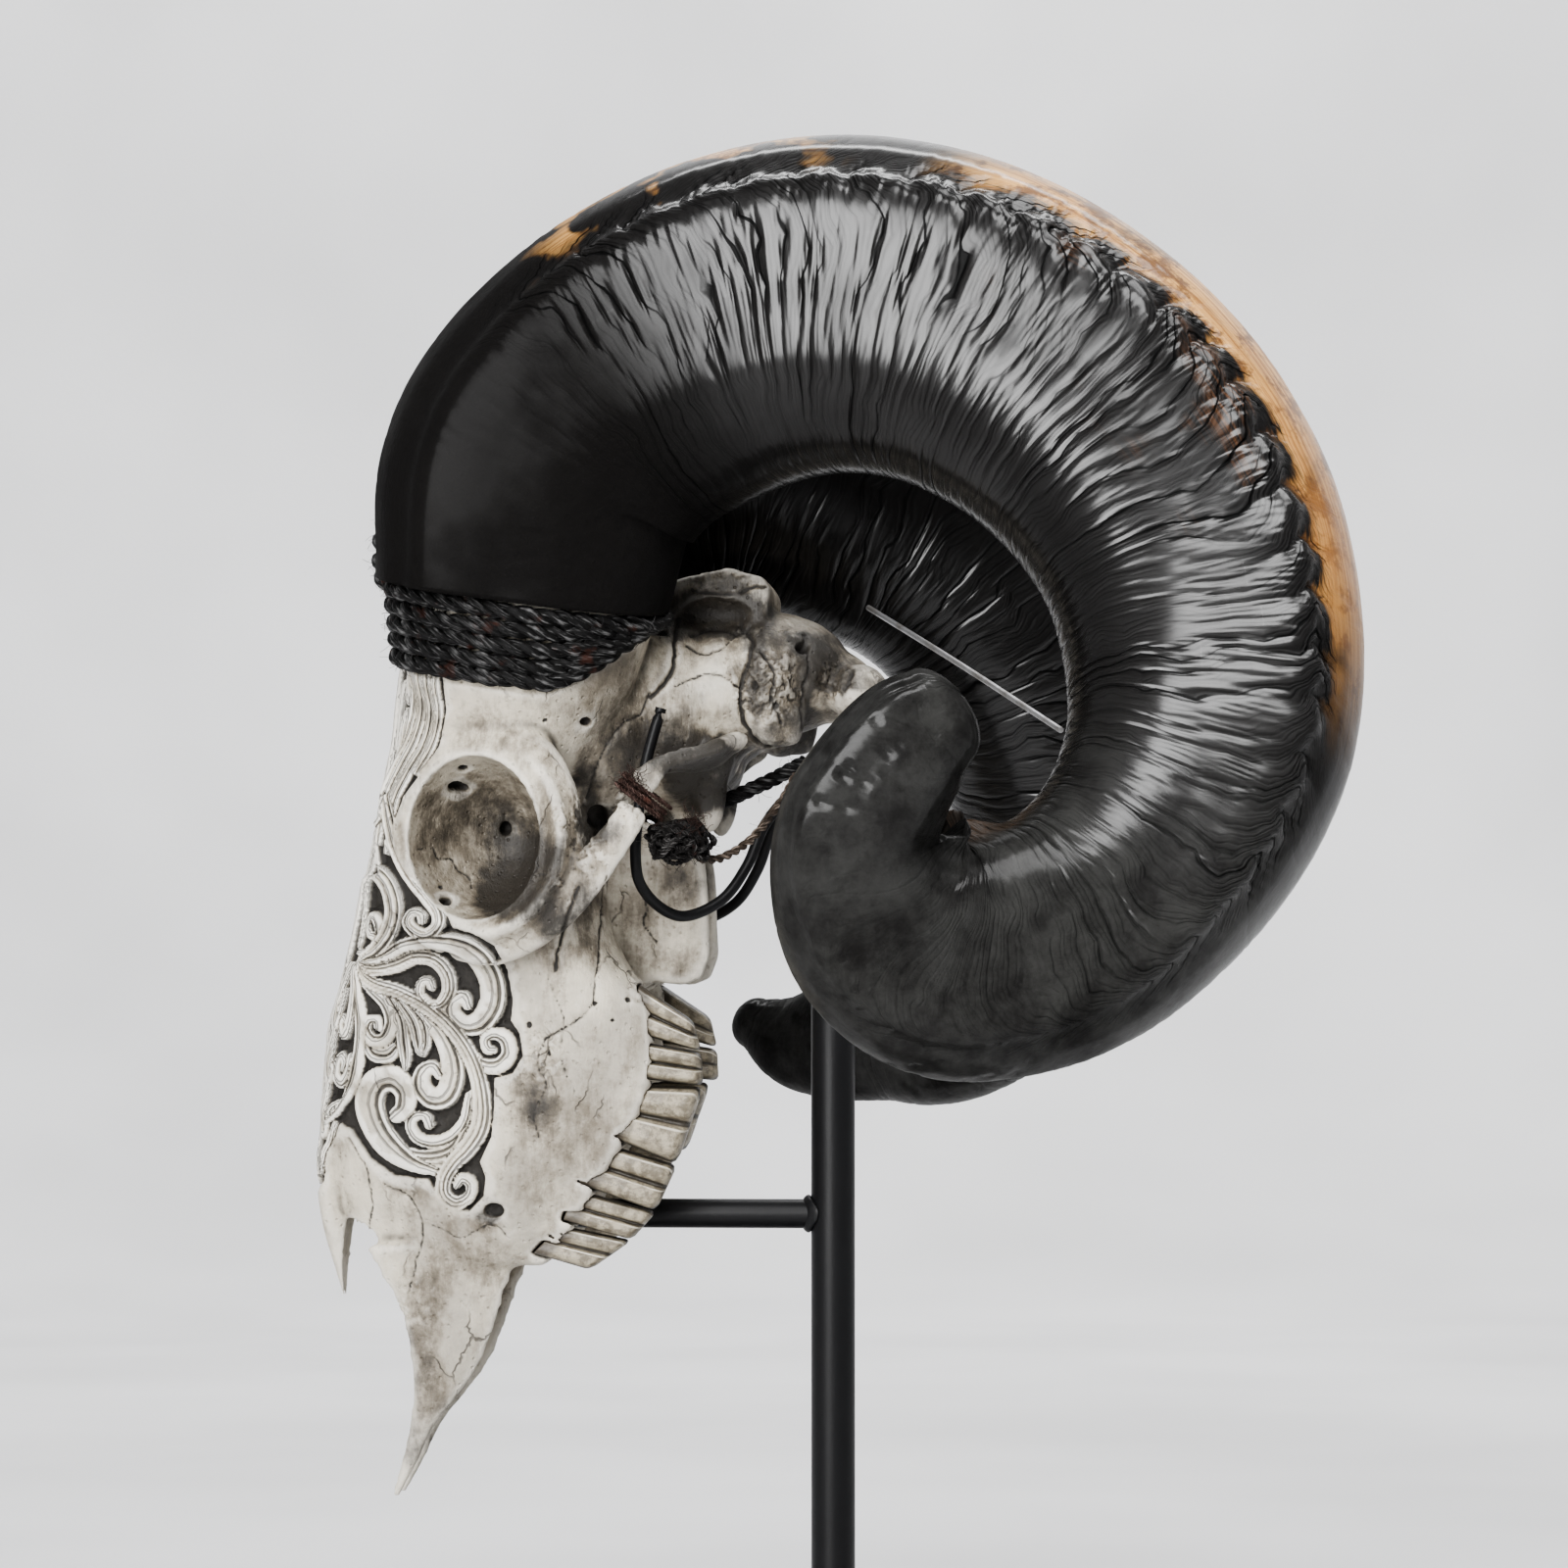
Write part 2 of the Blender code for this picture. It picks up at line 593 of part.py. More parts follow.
def add_pedicle(shape, side, count=40):
    """The bony stub of a horn, which widens from the forehead to the horn's foot."""
    centre, axis, across, along = seat_frame(side)
    rings = []
    for height in (-PEDICLE_ROOT, -ROPE_HALF_HEIGHT, ROPE_HALF_HEIGHT):
        radii = pedicle_radii(height, SEAT_CUT)
        if height < -ROPE_HALF_HEIGHT:
            radii = radii * PEDICLE_ROOT_SHARE
        ring = []
        for k in range(count):
            angle = 2 * math.pi * k / count
            offset = across * radii[0] * math.cos(angle) + along * radii[1] * math.sin(angle)
            ring.append(centre + axis * height + offset)
        rings.append(ring)
    skin_rings(shape, rings)


def jaw_blade_ring(row, side):
    height, front, back, outer, thick = row
    ring = []
    count = 12
    for k in range(count):
        angle = 2 * math.pi * k / count
        x = outer - thick / 2 + thick / 2 * math.cos(angle)
        y = (front + back) / 2 + (back - front) / 2 * math.sin(angle)
        ring.append((x * side, y, height))
    return ring


def skull_masses():
    """All the overlapping forms of the skull, before they are fused."""
    shape = bmesh.new()
    add_levels(shape, FACE_LEVELS, face_ring)
    add_levels(shape, BROW_LEVELS, brow_ring)
    add_levels(shape, NOSE_BONE_LEVELS, lambda row: oval_ring(*row))
    add_levels(shape, CREST_LEVELS, lambda row: oval_ring(*row, power=3.5))
    add_bar(shape, SKULL_FLOOR)
    for centre, radii, paired in MASSES:
        for side in (1, -1) if paired else (1,):
            add_ball(shape, centre, radii, side)
    for side in (1, -1):
        add_levels(shape, JAW_BLADE_LEVELS, lambda row: jaw_blade_ring(row, side))
        add_bar(shape, CHEEK_BAR, side)
        add_bar(shape, ARCH_SHELL, side)
        add_bar(shape, EAR_SPUR, side)
        add_orbit_rim(shape, side)
        add_plate(shape, PALATE_PLATE, *PALATE_PLATE_FACES, side)
        add_pedicle(shape, side)
    return shape


def soft_cutters():
    """Hollows whose edges are rounded: the orbits, the nose opening and the neck hole."""
    shape = bmesh.new()
    add_ball(shape, *NOSE_OPENING)
    add_ball(shape, *NECK_HOLE)
    for side in (1, -1):
        centre = Vector(ORBIT_CENTRE) + Vector(ORBIT_HOLLOW_SHIFT)
        add_ball(shape, centre, ORBIT_HOLLOW, side, ORBIT_HOLLOW_TURN, segments=28)
        add_ball(shape, *CHEEK_HOLE, side, segments=12)
    return shape


def evaluated_shape(source):
    graph = bpy.context.evaluated_depsgraph_get()
    shape = bmesh.new()
    shape.from_object(source, graph)
    return shape


def keep_largest_body(shape):
    """Removes any loose crumb that fusing the forms leaves behind."""
    unseen = set(shape.verts)
    bodies = []
    while unseen:
        todo = [unseen.pop()]
        body = []
        while todo:
            vert = todo.pop()
            body.append(vert)
            for edge in vert.link_edges:
                other = edge.other_vert(vert)
                if other in unseen:
                    unseen.discard(other)
                    todo.append(other)
        bodies.append(body)
    bodies.sort(key=len)
    for body in bodies[:-1]:
        bmesh.ops.delete(shape, geom=body, context="VERTS")


def boolean(target, cutter, operation="DIFFERENCE"):
    modifier = target.modifiers.new(cutter.name, "BOOLEAN")
    modifier.object = cutter
    modifier.operation = operation
    modifier.solver = "EXACT"


def fused(source, voxel, smoothing):
    modifier = source.modifiers.new("fuse", "REMESH")
    modifier.mode = "VOXEL"
    modifier.voxel_size = voxel
    modifier = source.modifiers.new("soften", "SMOOTH")
    modifier.factor = 0.5
    modifier.iterations = smoothing


def make_skull():
    rough = helper("skull_rough", skull_masses())
    fused(rough, VOXEL, 3)
    boolean(rough, helper("skull_hollows", soft_cutters()))
    shape = evaluated_shape(rough)
    keep_largest_body(shape)
    whole = helper("skull_whole", shape)
    fused(whole, VOXEL, 4)
    bpy.context.view_layer.update()
    shape = evaluated_shape(whole)
    keep_largest_body(shape)
    bmesh.ops.triangulate(shape, faces=shape.faces[:])
    share = SKULL_TRIANGLES / len(shape.faces)
    skull = object_from("skull", shape, "bone")
    modifier = skull.modifiers.new("fewer faces", "DECIMATE")
    modifier.ratio = share
    for side, word in ((1, "left"), (-1, "right")):
        boolean(skull, rope_seat(side, word))
        for number in range(6):
            root = tooth_shape(number, side, SOCKET_GAP)
            boolean(skull, helper(f"socket_{word}_{number + 1}", root))
    return skull


def skin_turned(shape, rings):
    """Joins rings of points round a closed loop, as for a ring-shaped piece."""
    verts = [[shape.verts.new(point) for point in ring] for ring in rings]
    faces = []
    for k, low in enumerate(verts):
        high = verts[(k + 1) % len(verts)]
        for i in range(len(low)):
            j = (i + 1) % len(low)
            faces.append(shape.faces.new((low[i], low[j], high[j], high[i])))
    bmesh.ops.remove_doubles(shape, verts=shape.verts[:], dist=0.0001)
    bmesh.ops.recalc_face_normals(shape, faces=shape.faces[:])


def rope_low(angle):
    """Height of the rope band's lower edge, which rises to the upper edge at the back."""
    rear = max(0.0, (math.sin(angle) - ROPE_RISE_START) / (1.0 - ROPE_RISE_START))
    return ROPE_HALF_HEIGHT * (2 * ROPE_REAR_RISE * rear**1.5 - 1.0)


def seat_rings(side, profile_at, count):
    """Rings of points round a horn seat, from the profile of radii and heights at each angle."""
    centre, axis, across, along = seat_frame(side)
    rings = []
    for k in range(count):
        angle = 2 * math.pi * k / count
        ring = []
        for radii, height in profile_at(angle):
            offset = across * float(radii[0]) * math.cos(angle) + along * float(radii[1]) * math.sin(angle)
            ring.append(centre + axis * height + offset)
        rings.append(ring)
    return rings


def rope_seat(side, word):
    """The space round a pedicle that the rope and the horn's foot take up."""
    clear = ROPE_THICKNESS + SEAT_SIDE_CLEARANCE

    def profile_at(angle):
        low, high, top = rope_low(angle) - SEAT_CUT, ROPE_HALF_HEIGHT, SEAT_TOP
        return [
            (pedicle_radii(low, clear), low),
            (pedicle_radii(high, clear), high),
            (pedicle_radii(high, clear), top),
            ((0.0, 0.0), top),
            ((0.0, 0.0), high),
            (pedicle_radii(high), high),
            (pedicle_radii(low), low),
        ]

    shape = bmesh.new()
    skin_turned(shape, seat_rings(side, profile_at, 32))
    return helper(f"rope_seat_{word}", shape)


def tooth_shape(number, side, grow=0.0):
    """One cheek tooth: two rounded lobes with a groove between them, from root to crown."""
    gum = [Vector((0, *GUM_LINE[5 - number])), Vector((0, *GUM_LINE[6 - number]))]
    crown = [Vector((0, *CROWN_LINE[5 - number])), Vector((0, *CROWN_LINE[6 - number]))]
    row = (gum[1] - gum[0]).normalized()
    trim = TOOTH_SPACING / 2 - grow
    middle_x = TOOTH_MIDDLE_X[5 - number]
    half_width = TOOTH_HALF_WIDTH[5 - number] + grow
    roots = []
    for foot, head in zip(gum, crown):
        out = (head - foot).normalized()
        roots.append(foot - out * TOOTH_ROOT)
    mid = (roots[0] + roots[1]) / 2
    roots = [mid + (point - mid) * TOOTH_ROOT_SHARE for point in roots]
    shape = bmesh.new()
    rings = []
    length = 1.0 if side > 0 else RIGHT_CROWN_SHARES[5 - number]
    for share, width in TOOTH_WIDTHS:
        a = roots[0].lerp(crown[0], share * length) + row * trim
        b = roots[1].lerp(crown[1], share * length) - row * trim
        if share == 0.0:
            out = (crown[0] - gum[0]).normalized() * grow
            a -= out
            b -= out
        ring = []
        for along, across in TOOTH_SECTION:
            point = a.lerp(b, along)
            x = middle_x + across * half_width * width
            ring.append((x * side, point.y, point.z))
        rings.append(ring)
    skin_rings(shape, rings)
    return shape


def make_teeth():
    for side, word in ((1, "left"), (-1, "right")):
        for number in range(6):
            name = f"tooth_{word}_{number + 1}"
            object_from(name, tooth_shape(number, side), "tooth")


def horn_path(side):
    """Centre and half widths along a horn, from its foot to its tip."""
    rows = np.array(HORN_STATIONS, float)
    if side < 0:
        foot = rows[0].copy()
        spread = np.clip(np.arange(len(rows)) / RIGHT_HORN_TURN_STATIONS, 0.0, 1.0)
        turn = RIGHT_HORN_TURN * spread
        size = 1.0 + (RIGHT_HORN_SCALE - 1.0) * spread
        along = rows[:, 1] - foot[1]
        up = rows[:, 2] - foot[2]
        rows[:, 1] = foot[1] + size * (along * np.cos(turn) + up * np.sin(turn))
        rows[:, 2] = foot[2] + size * (up * np.cos(turn) - along * np.sin(turn))
        rows[:, 0] = foot[0] + (rows[:, 0] - foot[0]) * size
        rows[:, 3:] *= size[:, None]
        late = np.interp(np.arange(len(rows)), (RIGHT_HORN_NARROWS_FROM, RIGHT_HORN_KEPT - 1), (0.0, 1.0))
        rows[:, 3:] *= 1.0 - RIGHT_HORN_NARROWING * late[:, None]
        rows[:, 2] += RIGHT_HORN_LIFT * late
        rows = np.vstack([rows[:RIGHT_HORN_KEPT], RIGHT_HORN_END])
    rows = smooth_through(rows, 4)
    steps = np.linalg.norm(np.diff(rows[:, :3], axis=0), axis=1)
    length = np.concatenate([[0.0], np.cumsum(steps)])
    even = np.linspace(0.0, length[-1], HORN_RIDGES)
    return np.column_stack([np.interp(even, length, column) for column in rows.T])


def make_horn(side, name):
    rows = horn_path(side)
    _, _, seat_across, seat_along = seat_frame(side)
    ahead = np.gradient(rows[:, :3], axis=0)
    ahead /= np.linalg.norm(ahead, axis=1)[:, None]
    sideways = np.array((1.0, 0.0, 0.0))
    radial = np.cross(sideways, ahead)
    radial /= np.linalg.norm(radial, axis=1)[:, None]
    outwards = np.cross(ahead, radial)
    # The foot lies flat on its seat, and the sections turn to the path over the first few
    flange_height = HORN_FLANGE if side > 0 else 0.0
    foot_radial = -np.array(seat_along)
    foot_out = np.array((seat_across[0], seat_across[1] * side, seat_across[2] * side))
    shape = bmesh.new()
    rings = []
    last = len(rows) - 1
    for i, row in enumerate(rows):
        blend = min(i / HORN_FOOT_RINGS, 1.0)
        u = foot_radial * (1 - blend) + radial[i] * blend
        w = foot_out * (1 - blend) + outwards[i] * blend
        u /= np.linalg.norm(u)
        w /= np.linalg.norm(w)
        along = i / last
        fade = np.interp(along, HORN_KEEL_REACH, (0.0, 1.0, 1.0, 0.0))
        ridge = HORN_RIDGE_HEIGHT * (1 if i % 2 else -1)
        ridge *= np.interp(along, HORN_RIDGE_REACH, (0.0, 1.0, 1.0, 0.0))
        ring = []
        for k, (share_u, share_w) in enumerate(HORN_SECTION):
            a, b = row[3] + ridge, row[4] + ridge
            if k in KEEL_POINTS:
                b += HORN_KEEL_HEIGHT * fade * (1 if i % 2 else -1)
            if k in FLANGE_POINTS:
                distance = (along - HORN_FLANGE_MIDDLE) / HORN_FLANGE_REACH
                a += flange_height * math.exp(-(distance**2))
            point = row[:3] + u * a * share_u + w * b * share_w
            ring.append((point[0] * side, point[1], point[2]))
        rings.append(ring)
    reach, end_radius = HORN_TIP_ROUNDING
    tip = rows[-1]
    for share in HORN_TIP_STEPS:
        swell = math.sqrt(max(0.0, 1.0 - share**2))
        a = end_radius * share + tip[3] * swell
        b = end_radius * share + tip[4] * swell
        centre = tip[:3] + ahead[-1] * reach * share
        ring = []
        for share_u, share_w in HORN_SECTION:
            point = centre + radial[-1] * a * share_u + outwards[-1] * b * share_w
            ring.append((point[0] * side, point[1], point[2]))
        rings.append(ring)
    # The first ring is laid in the plane of the seat
    centre, axis, _, _ = seat_frame(side)
    floor = centre + axis * (ROPE_HALF_HEIGHT + GAP)
    rings[0] = [Vector(p) - axis * (Vector(p) - floor).dot(axis) for p in rings[0]]
    skin_rings(shape, rings)
    return object_from(name, shape, "horn")


def make_rope(side, name):
    """A band of rope turns round the pedicle, each turn a bulge of the band."""
    groove = ROPE_THICKNESS * ROPE_GROOVE_SHARE

    def profile_at(angle):
        low, high = rope_low(angle) + GAP, ROPE_HALF_HEIGHT - GAP
        step = (high - low) / ROPE_TURNS
        profile = [(pedicle_radii(low, groove), low)]
        for turn in range(ROPE_TURNS):
            middle = low + step * (turn + 0.5)
            end = low + step * (turn + 1)
            profile.append((pedicle_radii(middle, ROPE_THICKNESS), middle))
            profile.append((pedicle_radii(end, groove), end))
        profile.append((pedicle_radii(high, ROPE_INNER_CLEARANCE), high))
        profile.append((pedicle_radii(low, ROPE_INNER_CLEARANCE), low))
        return profile

    shape = bmesh.new()
    skin_turned(shape, seat_rings(side, profile_at, 20))
    return object_from(name, shape, "rope")


def make_arch_string(side, name):
    """A few turns of string round the cheek arch."""
    centre = Vector((ARCH_STRING_CENTRE[0] * side, ARCH_STRING_CENTRE[1], ARCH_STRING_CENTRE[2]))
    axis = Vector(ARCH_STRING_DIRECTION).normalized()
    across = Vector((1.0, 0.0, 0.0))
    other = axis.cross(across)
    half = ARCH_STRING_WIDTH / 2
    thick = ARCH_STRING_THICKNESS
    profile = [(0.0, -half), (thick, -half * 0.5), (thick * 0.7, 0.0), (thick, half * 0.5), (0.0, half)]
    count = 14
    rings = []
    for k in range(count):
        angle = 2 * math.pi * k / count
        ring = []
        for out, height in profile:
            offset = across * (ARCH_STRING_RADIUS[0] + out) * math.cos(angle)
            offset += other * (ARCH_STRING_RADIUS[1] + out) * math.sin(angle)
            ring.append(centre + axis * height + offset)
        rings.append(ring)
    shape = bmesh.new()
    skin_turned(shape, rings)
    return object_from(name, shape, "string")


def make_tube(name, route, radius, kind, points=30, sides=2):
    """A round rod or cord as a curve with a bevel, along a smooth curve through its route."""
    steps = max(1, round(points / (len(route) - 1)))
    line = smooth_through(route, steps)
    curve = bpy.data.curves.new(name, "CURVE")
    curve.dimensions = "3D"
    curve.bevel_depth = radius
    curve.bevel_resolution = sides
    curve.use_fill_caps = True
    spline = curve.splines.new("POLY")
    spline.points.add(len(line) - 1)
    for point, place in zip(spline.points, line):
        point.co = (*place, 1.0)
    curve.materials.append(finish_of(name, kind))
    made = bpy.data.objects.new(name, curve)
    bpy.context.scene.collection.objects.link(made)
    return made


def make_round_bar(name, start, end, radius, kind, sides=24):
    start, end = Vector(start), Vector(end)
    shape = bmesh.new()
    turn = (end - start).to_track_quat("Z", "Y").to_matrix().to_4x4()
    place = Matrix.Translation((start + end) / 2) @ turn
    bmesh.ops.create_cone(
        shape,
        cap_ends=True,
        segments=sides,
        radius1=radius,
        radius2=radius,
        depth=(end - start).length,
        matrix=place,
    )
    return object_from(name, shape, kind)


def make_stand():
    shape = bmesh.new()
    place = Matrix.Translation((0.0, 0.0, BASE_SIZE[2] / 2)) @ Matrix.Diagonal((*BASE_SIZE, 1.0))
    bmesh.ops.create_cube(shape, size=1.0, matrix=place)
    upright = [e for e in shape.edges if abs((e.verts[0].co - e.verts[1].co).z) > BASE_SIZE[2] / 2]
    bmesh.ops.bevel(shape, geom=upright, offset=BASE_CORNER, segments=4, affect="EDGES", profile=0.5)
    object_from("stand_base", shape, "stand")
    foot = (0.0, 0.0, BASE_SIZE[2] + GAP)
    make_round_bar("stand_pole", foot, (0.0, 0.0, POLE_TOP), POLE_RADIUS, "stand")
    start = (0.0, -POLE_RADIUS - GAP, ARM_HEIGHT)
    make_round_bar("stand_arm", start, (0.0, ARM_TIP_Y, ARM_HEIGHT), ARM_RADIUS, "stand", 16)
    for side, word in ((1, "left"), (-1, "right")):
        route = [(x * side, y, z) for x, y, z in HOOK_ROUTE]
        make_tube(f"hook_{word}", route, HOOK_RADIUS, "stand", points=27)


def make_ties():
    make_rope(1, "rope_left")
    make_rope(-1, "rope_right")
    shape = bmesh.new()
    route = [(point, ROPE_CROSSING_RADII) for point in ROPE_CROSSING_ROUTE]
    add_bar(shape, route, count=10, sideways=(0.0, 0.0, 1.0))
    object_from("rope_crossing", shape, "rope")
    make_arch_string(1, "arch_string_left")
    make_arch_string(-1, "arch_string_right")
    shape = bmesh.new()
    add_ball(shape, KNOT_CENTRE, KNOT_RADII, segments=12)
    object_from("string_knot", shape, "string")
    make_tube("brown_cord", BROWN_CORD_ROUTE, BROWN_CORD_RADIUS, "string", points=12)
    make_tube("black_cord", BLACK_CORD_ROUTE, BLACK_CORD_RADIUS, "rope", points=9)
    make_round_bar("horn_wire", *WIRE_ENDS, WIRE_RADIUS, "wire", 8)


def main():
    clear_scene()
    make_skull()
    make_teeth()
    make_horn(1, "horn_left")
    make_horn(-1, "horn_right")
    make_ties()
    make_stand()


main()
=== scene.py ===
"""Looks of a carved ram skull with curled horns, rope ties and a black metal stand.

Laid out as an add-on. Each operator makes one group of pieces in place of the plain solids.
Metres, +Z up. X is across the skull with its left side at +X, and the face looks along -Y.
The side plan is the camera's picture in steps of 0.27 mm from its top left corner.
"""

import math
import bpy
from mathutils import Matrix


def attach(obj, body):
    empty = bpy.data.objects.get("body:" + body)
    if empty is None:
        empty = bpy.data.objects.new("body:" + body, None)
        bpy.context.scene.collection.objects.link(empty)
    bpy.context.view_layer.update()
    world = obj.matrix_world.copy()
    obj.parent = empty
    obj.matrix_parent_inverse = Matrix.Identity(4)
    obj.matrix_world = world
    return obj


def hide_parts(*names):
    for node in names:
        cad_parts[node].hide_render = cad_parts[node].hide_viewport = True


bl_info = {
    "name": "Carved Ram Skull",
    "version": (1, 0, 0),
    "blender": (4, 5, 0),
    "location": "3D View > Sidebar > Ram Skull",
    "description": "Makes the bone, teeth, horns, ties, stand and studio of a carved ram skull",
    "category": "Object",
}

import bmesh
import bpy
import numpy as np
from bpy.props import FloatProperty, FloatVectorProperty, IntProperty, PointerProperty
from mathutils import Matrix, Vector
from mathutils.bvhtree import BVHTree
from mathutils.kdtree import KDTree

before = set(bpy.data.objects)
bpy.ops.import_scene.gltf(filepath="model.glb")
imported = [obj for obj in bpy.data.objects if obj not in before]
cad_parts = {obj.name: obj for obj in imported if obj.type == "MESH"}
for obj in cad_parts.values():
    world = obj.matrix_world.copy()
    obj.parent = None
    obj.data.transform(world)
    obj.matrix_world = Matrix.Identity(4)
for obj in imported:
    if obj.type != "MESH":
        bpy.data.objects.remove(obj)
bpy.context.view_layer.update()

BOTH_SIDES = ((1, "left"), (-1, "right"))
CONTACT_GAP = 0.0003  # left between pieces that touch

# Stand
BASE_SIZE = (0.2, 0.18, 0.008)
BASE_CORNER = 0.006
BASE_EDGE = 0.0008
WELD_RINGS = 12
WELD_SIDES = 48
WELD_LENGTH = 0.0026
POLE_RADIUS = 0.006
POLE_TOP = 0.2815
ARM_RADIUS = 0.004
ARM_HEIGHT = 0.16
ARM_TIP_Y = -0.073
HOOK_RADIUS = 0.0015
HOOK_ROUTE = [
    (0.0068, -0.003, 0.277), (0.01, -0.011, 0.2745), (0.014, -0.0178, 0.266), (0.0175, -0.0222, 0.255),
    (0.0215, -0.029, 0.2455), (0.0275, -0.0395, 0.2412), (0.0365, -0.048, 0.2475), (0.042, -0.05, 0.258),
    (0.0435, -0.0475, 0.2795), (0.0435, -0.043, 0.2965),
]

# Horn seats: where the horn sheaths stand on the skull, given for the left side
SEAT_CENTRE = (0.037, -0.081, 0.316)  # middle of the rope band
SEAT_TILT = math.radians(8.0)  # the front of the seat is the higher side
SEAT_SPLAY = math.radians(9.0)  # the outer side of the seat is the lower side
PEDICLE_LOW = (0.022, 0.03)  # radii across and along the skull, under the rope
PEDICLE_HIGH = (0.025, 0.0345)  # radii at the horn's foot
PEDICLE_ROOT = 0.034  # how far below the middle of the band the stub starts inside the forehead
PEDICLE_ROOT_SHARE = 0.8  # of its radii there
PEDICLE_SIDES = 40
SEAT_SIDES = 32
SEAT_CUT = 0.001  # what is cut off the stub to make room for the rope
SEAT_SIDE_CLEARANCE = 0.002
SEAT_TOP = 0.04  # height above the band's middle that is clear of the skull
ROPE_TURNS = 5
ROPE_TURN_HEIGHT = 0.0046
ROPE_THICKNESS = 0.005
ROPE_RISE_START = 0.3  # sine of the angle past which the lower edge rises to the back
ROPE_REAR_RISE = 0.85  # share of the band's height
ROPE_HALF_HEIGHT = ROPE_TURNS * ROPE_TURN_HEIGHT / 2

# Horn stations: across, along, up, radial half width, sideways half depth
HORN_STATIONS = [
    (0.0395, -0.0808, 0.3285, 0.0398, 0.0295), (0.0415, -0.0757, 0.3575, 0.0436, 0.0305),
    (0.045, -0.059, 0.3787, 0.0442, 0.0315), (0.0495, -0.0363, 0.3925, 0.045, 0.032),
    (0.055, -0.0115, 0.4005, 0.045, 0.032), (0.061, 0.0134, 0.4014, 0.0444, 0.0315),
    (0.067, 0.0387, 0.3949, 0.0436, 0.031), (0.074, 0.0635, 0.3801, 0.0426, 0.0305),
    (0.081, 0.0835, 0.3602, 0.0414, 0.03), (0.089, 0.097, 0.3361, 0.0398, 0.029),
    (0.097, 0.1028, 0.3107, 0.0382, 0.028), (0.105, 0.1027, 0.288, 0.0364, 0.027),
    (0.112, 0.0968, 0.269, 0.0342, 0.0258), (0.12, 0.0863, 0.252, 0.0318, 0.0245),
    (0.128, 0.0714, 0.2374, 0.0303, 0.0235), (0.136, 0.0551, 0.2301, 0.0297, 0.0225),
    (0.144, 0.0374, 0.228, 0.0284, 0.0215), (0.152, 0.0235, 0.235, 0.0255, 0.02),
    (0.159, 0.0166, 0.247, 0.0212, 0.018), (0.1645, 0.016, 0.26, 0.0186, 0.0165),
    (0.168, 0.0222, 0.2715, 0.0173, 0.0152), (0.17, 0.0305, 0.2815, 0.0158, 0.014),
    (0.1705, 0.0375, 0.287, 0.0128, 0.0118),
]
HORN_TIP_REACH = 0.007  # how far the rounded tip goes past the last station
HORN_FLANGE = 0.019  # how far the inner edge turns up inside the curl near the tip
HORN_FLANGE_MIDDLE = 0.83  # share of the length where that edge is largest
HORN_FLANGE_REACH = 0.11
HORN_FOOT_SHARE = 0.09  # share of the length over which the foot turns to the curl
# Section of a horn: radial share from the inner to the outer curve, sideways share outwards
HORN_SECTION = [
    (1.0, 0.1), (0.88, 0.58), (0.72, 0.8), (0.58, 1.0), (0.1, 1.0), (-0.45, 0.94), (-0.86, 0.62), (-1.0, 0.0),
    (-0.86, -0.52), (-0.45, -0.88), (0.15, -1.0), (0.7, -0.78), (0.94, -0.4),
]
# The right horn is set lower and further round on its seat, and is a little smaller
RIGHT_HORN_TURN = math.radians(24.0)
RIGHT_HORN_SCALE = 0.87
# It is broken off before its tip turns up: these stations take the place of the rest
RIGHT_HORN_KEPT = 14
RIGHT_HORN_END = [
    (0.1165, 0.009, 0.2085, 0.0205, 0.0165), (0.1235, -0.0065, 0.206, 0.0178, 0.0145),
    (0.129, -0.0205, 0.2064, 0.0146, 0.012), (0.1335, -0.0325, 0.2112, 0.008, 0.007),
]
RIGHT_HORN_TURN_STATIONS = 4  # stations from its foot to the full turn
RIGHT_HORN_NARROWS_FROM = 9  # station
RIGHT_HORN_NARROWING = 0.15  # share of its width lost by the last kept station
RIGHT_HORN_LIFT = 0.002  # how far the last kept station is raised


# Teeth: line of the gum and of the crowns' ends in side view, from the back tooth forwards
GUM_LINE = [
    (-0.045, 0.2202), (-0.0466, 0.2075), (-0.0466, 0.1964), (-0.054, 0.179), (-0.0619, 0.1663), (-0.0659, 0.1568),
    (-0.0748, 0.1479),
]
CROWN_LINE = [
    (-0.0358, 0.2133), (-0.0336, 0.2046), (-0.0331, 0.1954), (-0.0403, 0.1743), (-0.0463, 0.1616),
    (-0.0531, 0.1537), (-0.0647, 0.1455),
]
TOOTH_MIDDLE_X = (0.029, 0.0288, 0.0274, 0.025, 0.0222, 0.0196)
TOOTH_HALF_WIDTH = (0.0058, 0.0062, 0.006, 0.005, 0.0045, 0.004)
TOOTH_ROOT = 0.006
TOOTH_ROOT_SHARE = 0.86  # how much narrower a tooth is at its root
TOOTH_WIDTHS = ((0.0, 0.86), (0.55, 1.0), (1.0, 0.9))  # share of the way to the crown, share of the width
TOOTH_SPACING = 0.0005
RIGHT_CROWN_SHARES = (0.94, 0.94, 0.84, 0.74, 0.7, 0.7)  # the right crowns are worn shorter
SOCKET_GAP = 0.0009
# Section of a tooth: share along the row, share of the half width, outer side positive
TOOTH_SECTION = [
    (0.0, 0.5), (0.14, 0.98), (0.38, 0.92), (0.5, 0.64), (0.62, 0.96), (0.88, 0.98), (1.0, 0.45), (0.94, -0.85),
    (0.5, -0.8), (0.06, -0.85),
]

LEVEL_STEPS = 3  # smooth steps between two rows of the tables below
BAR_SIDES = 12
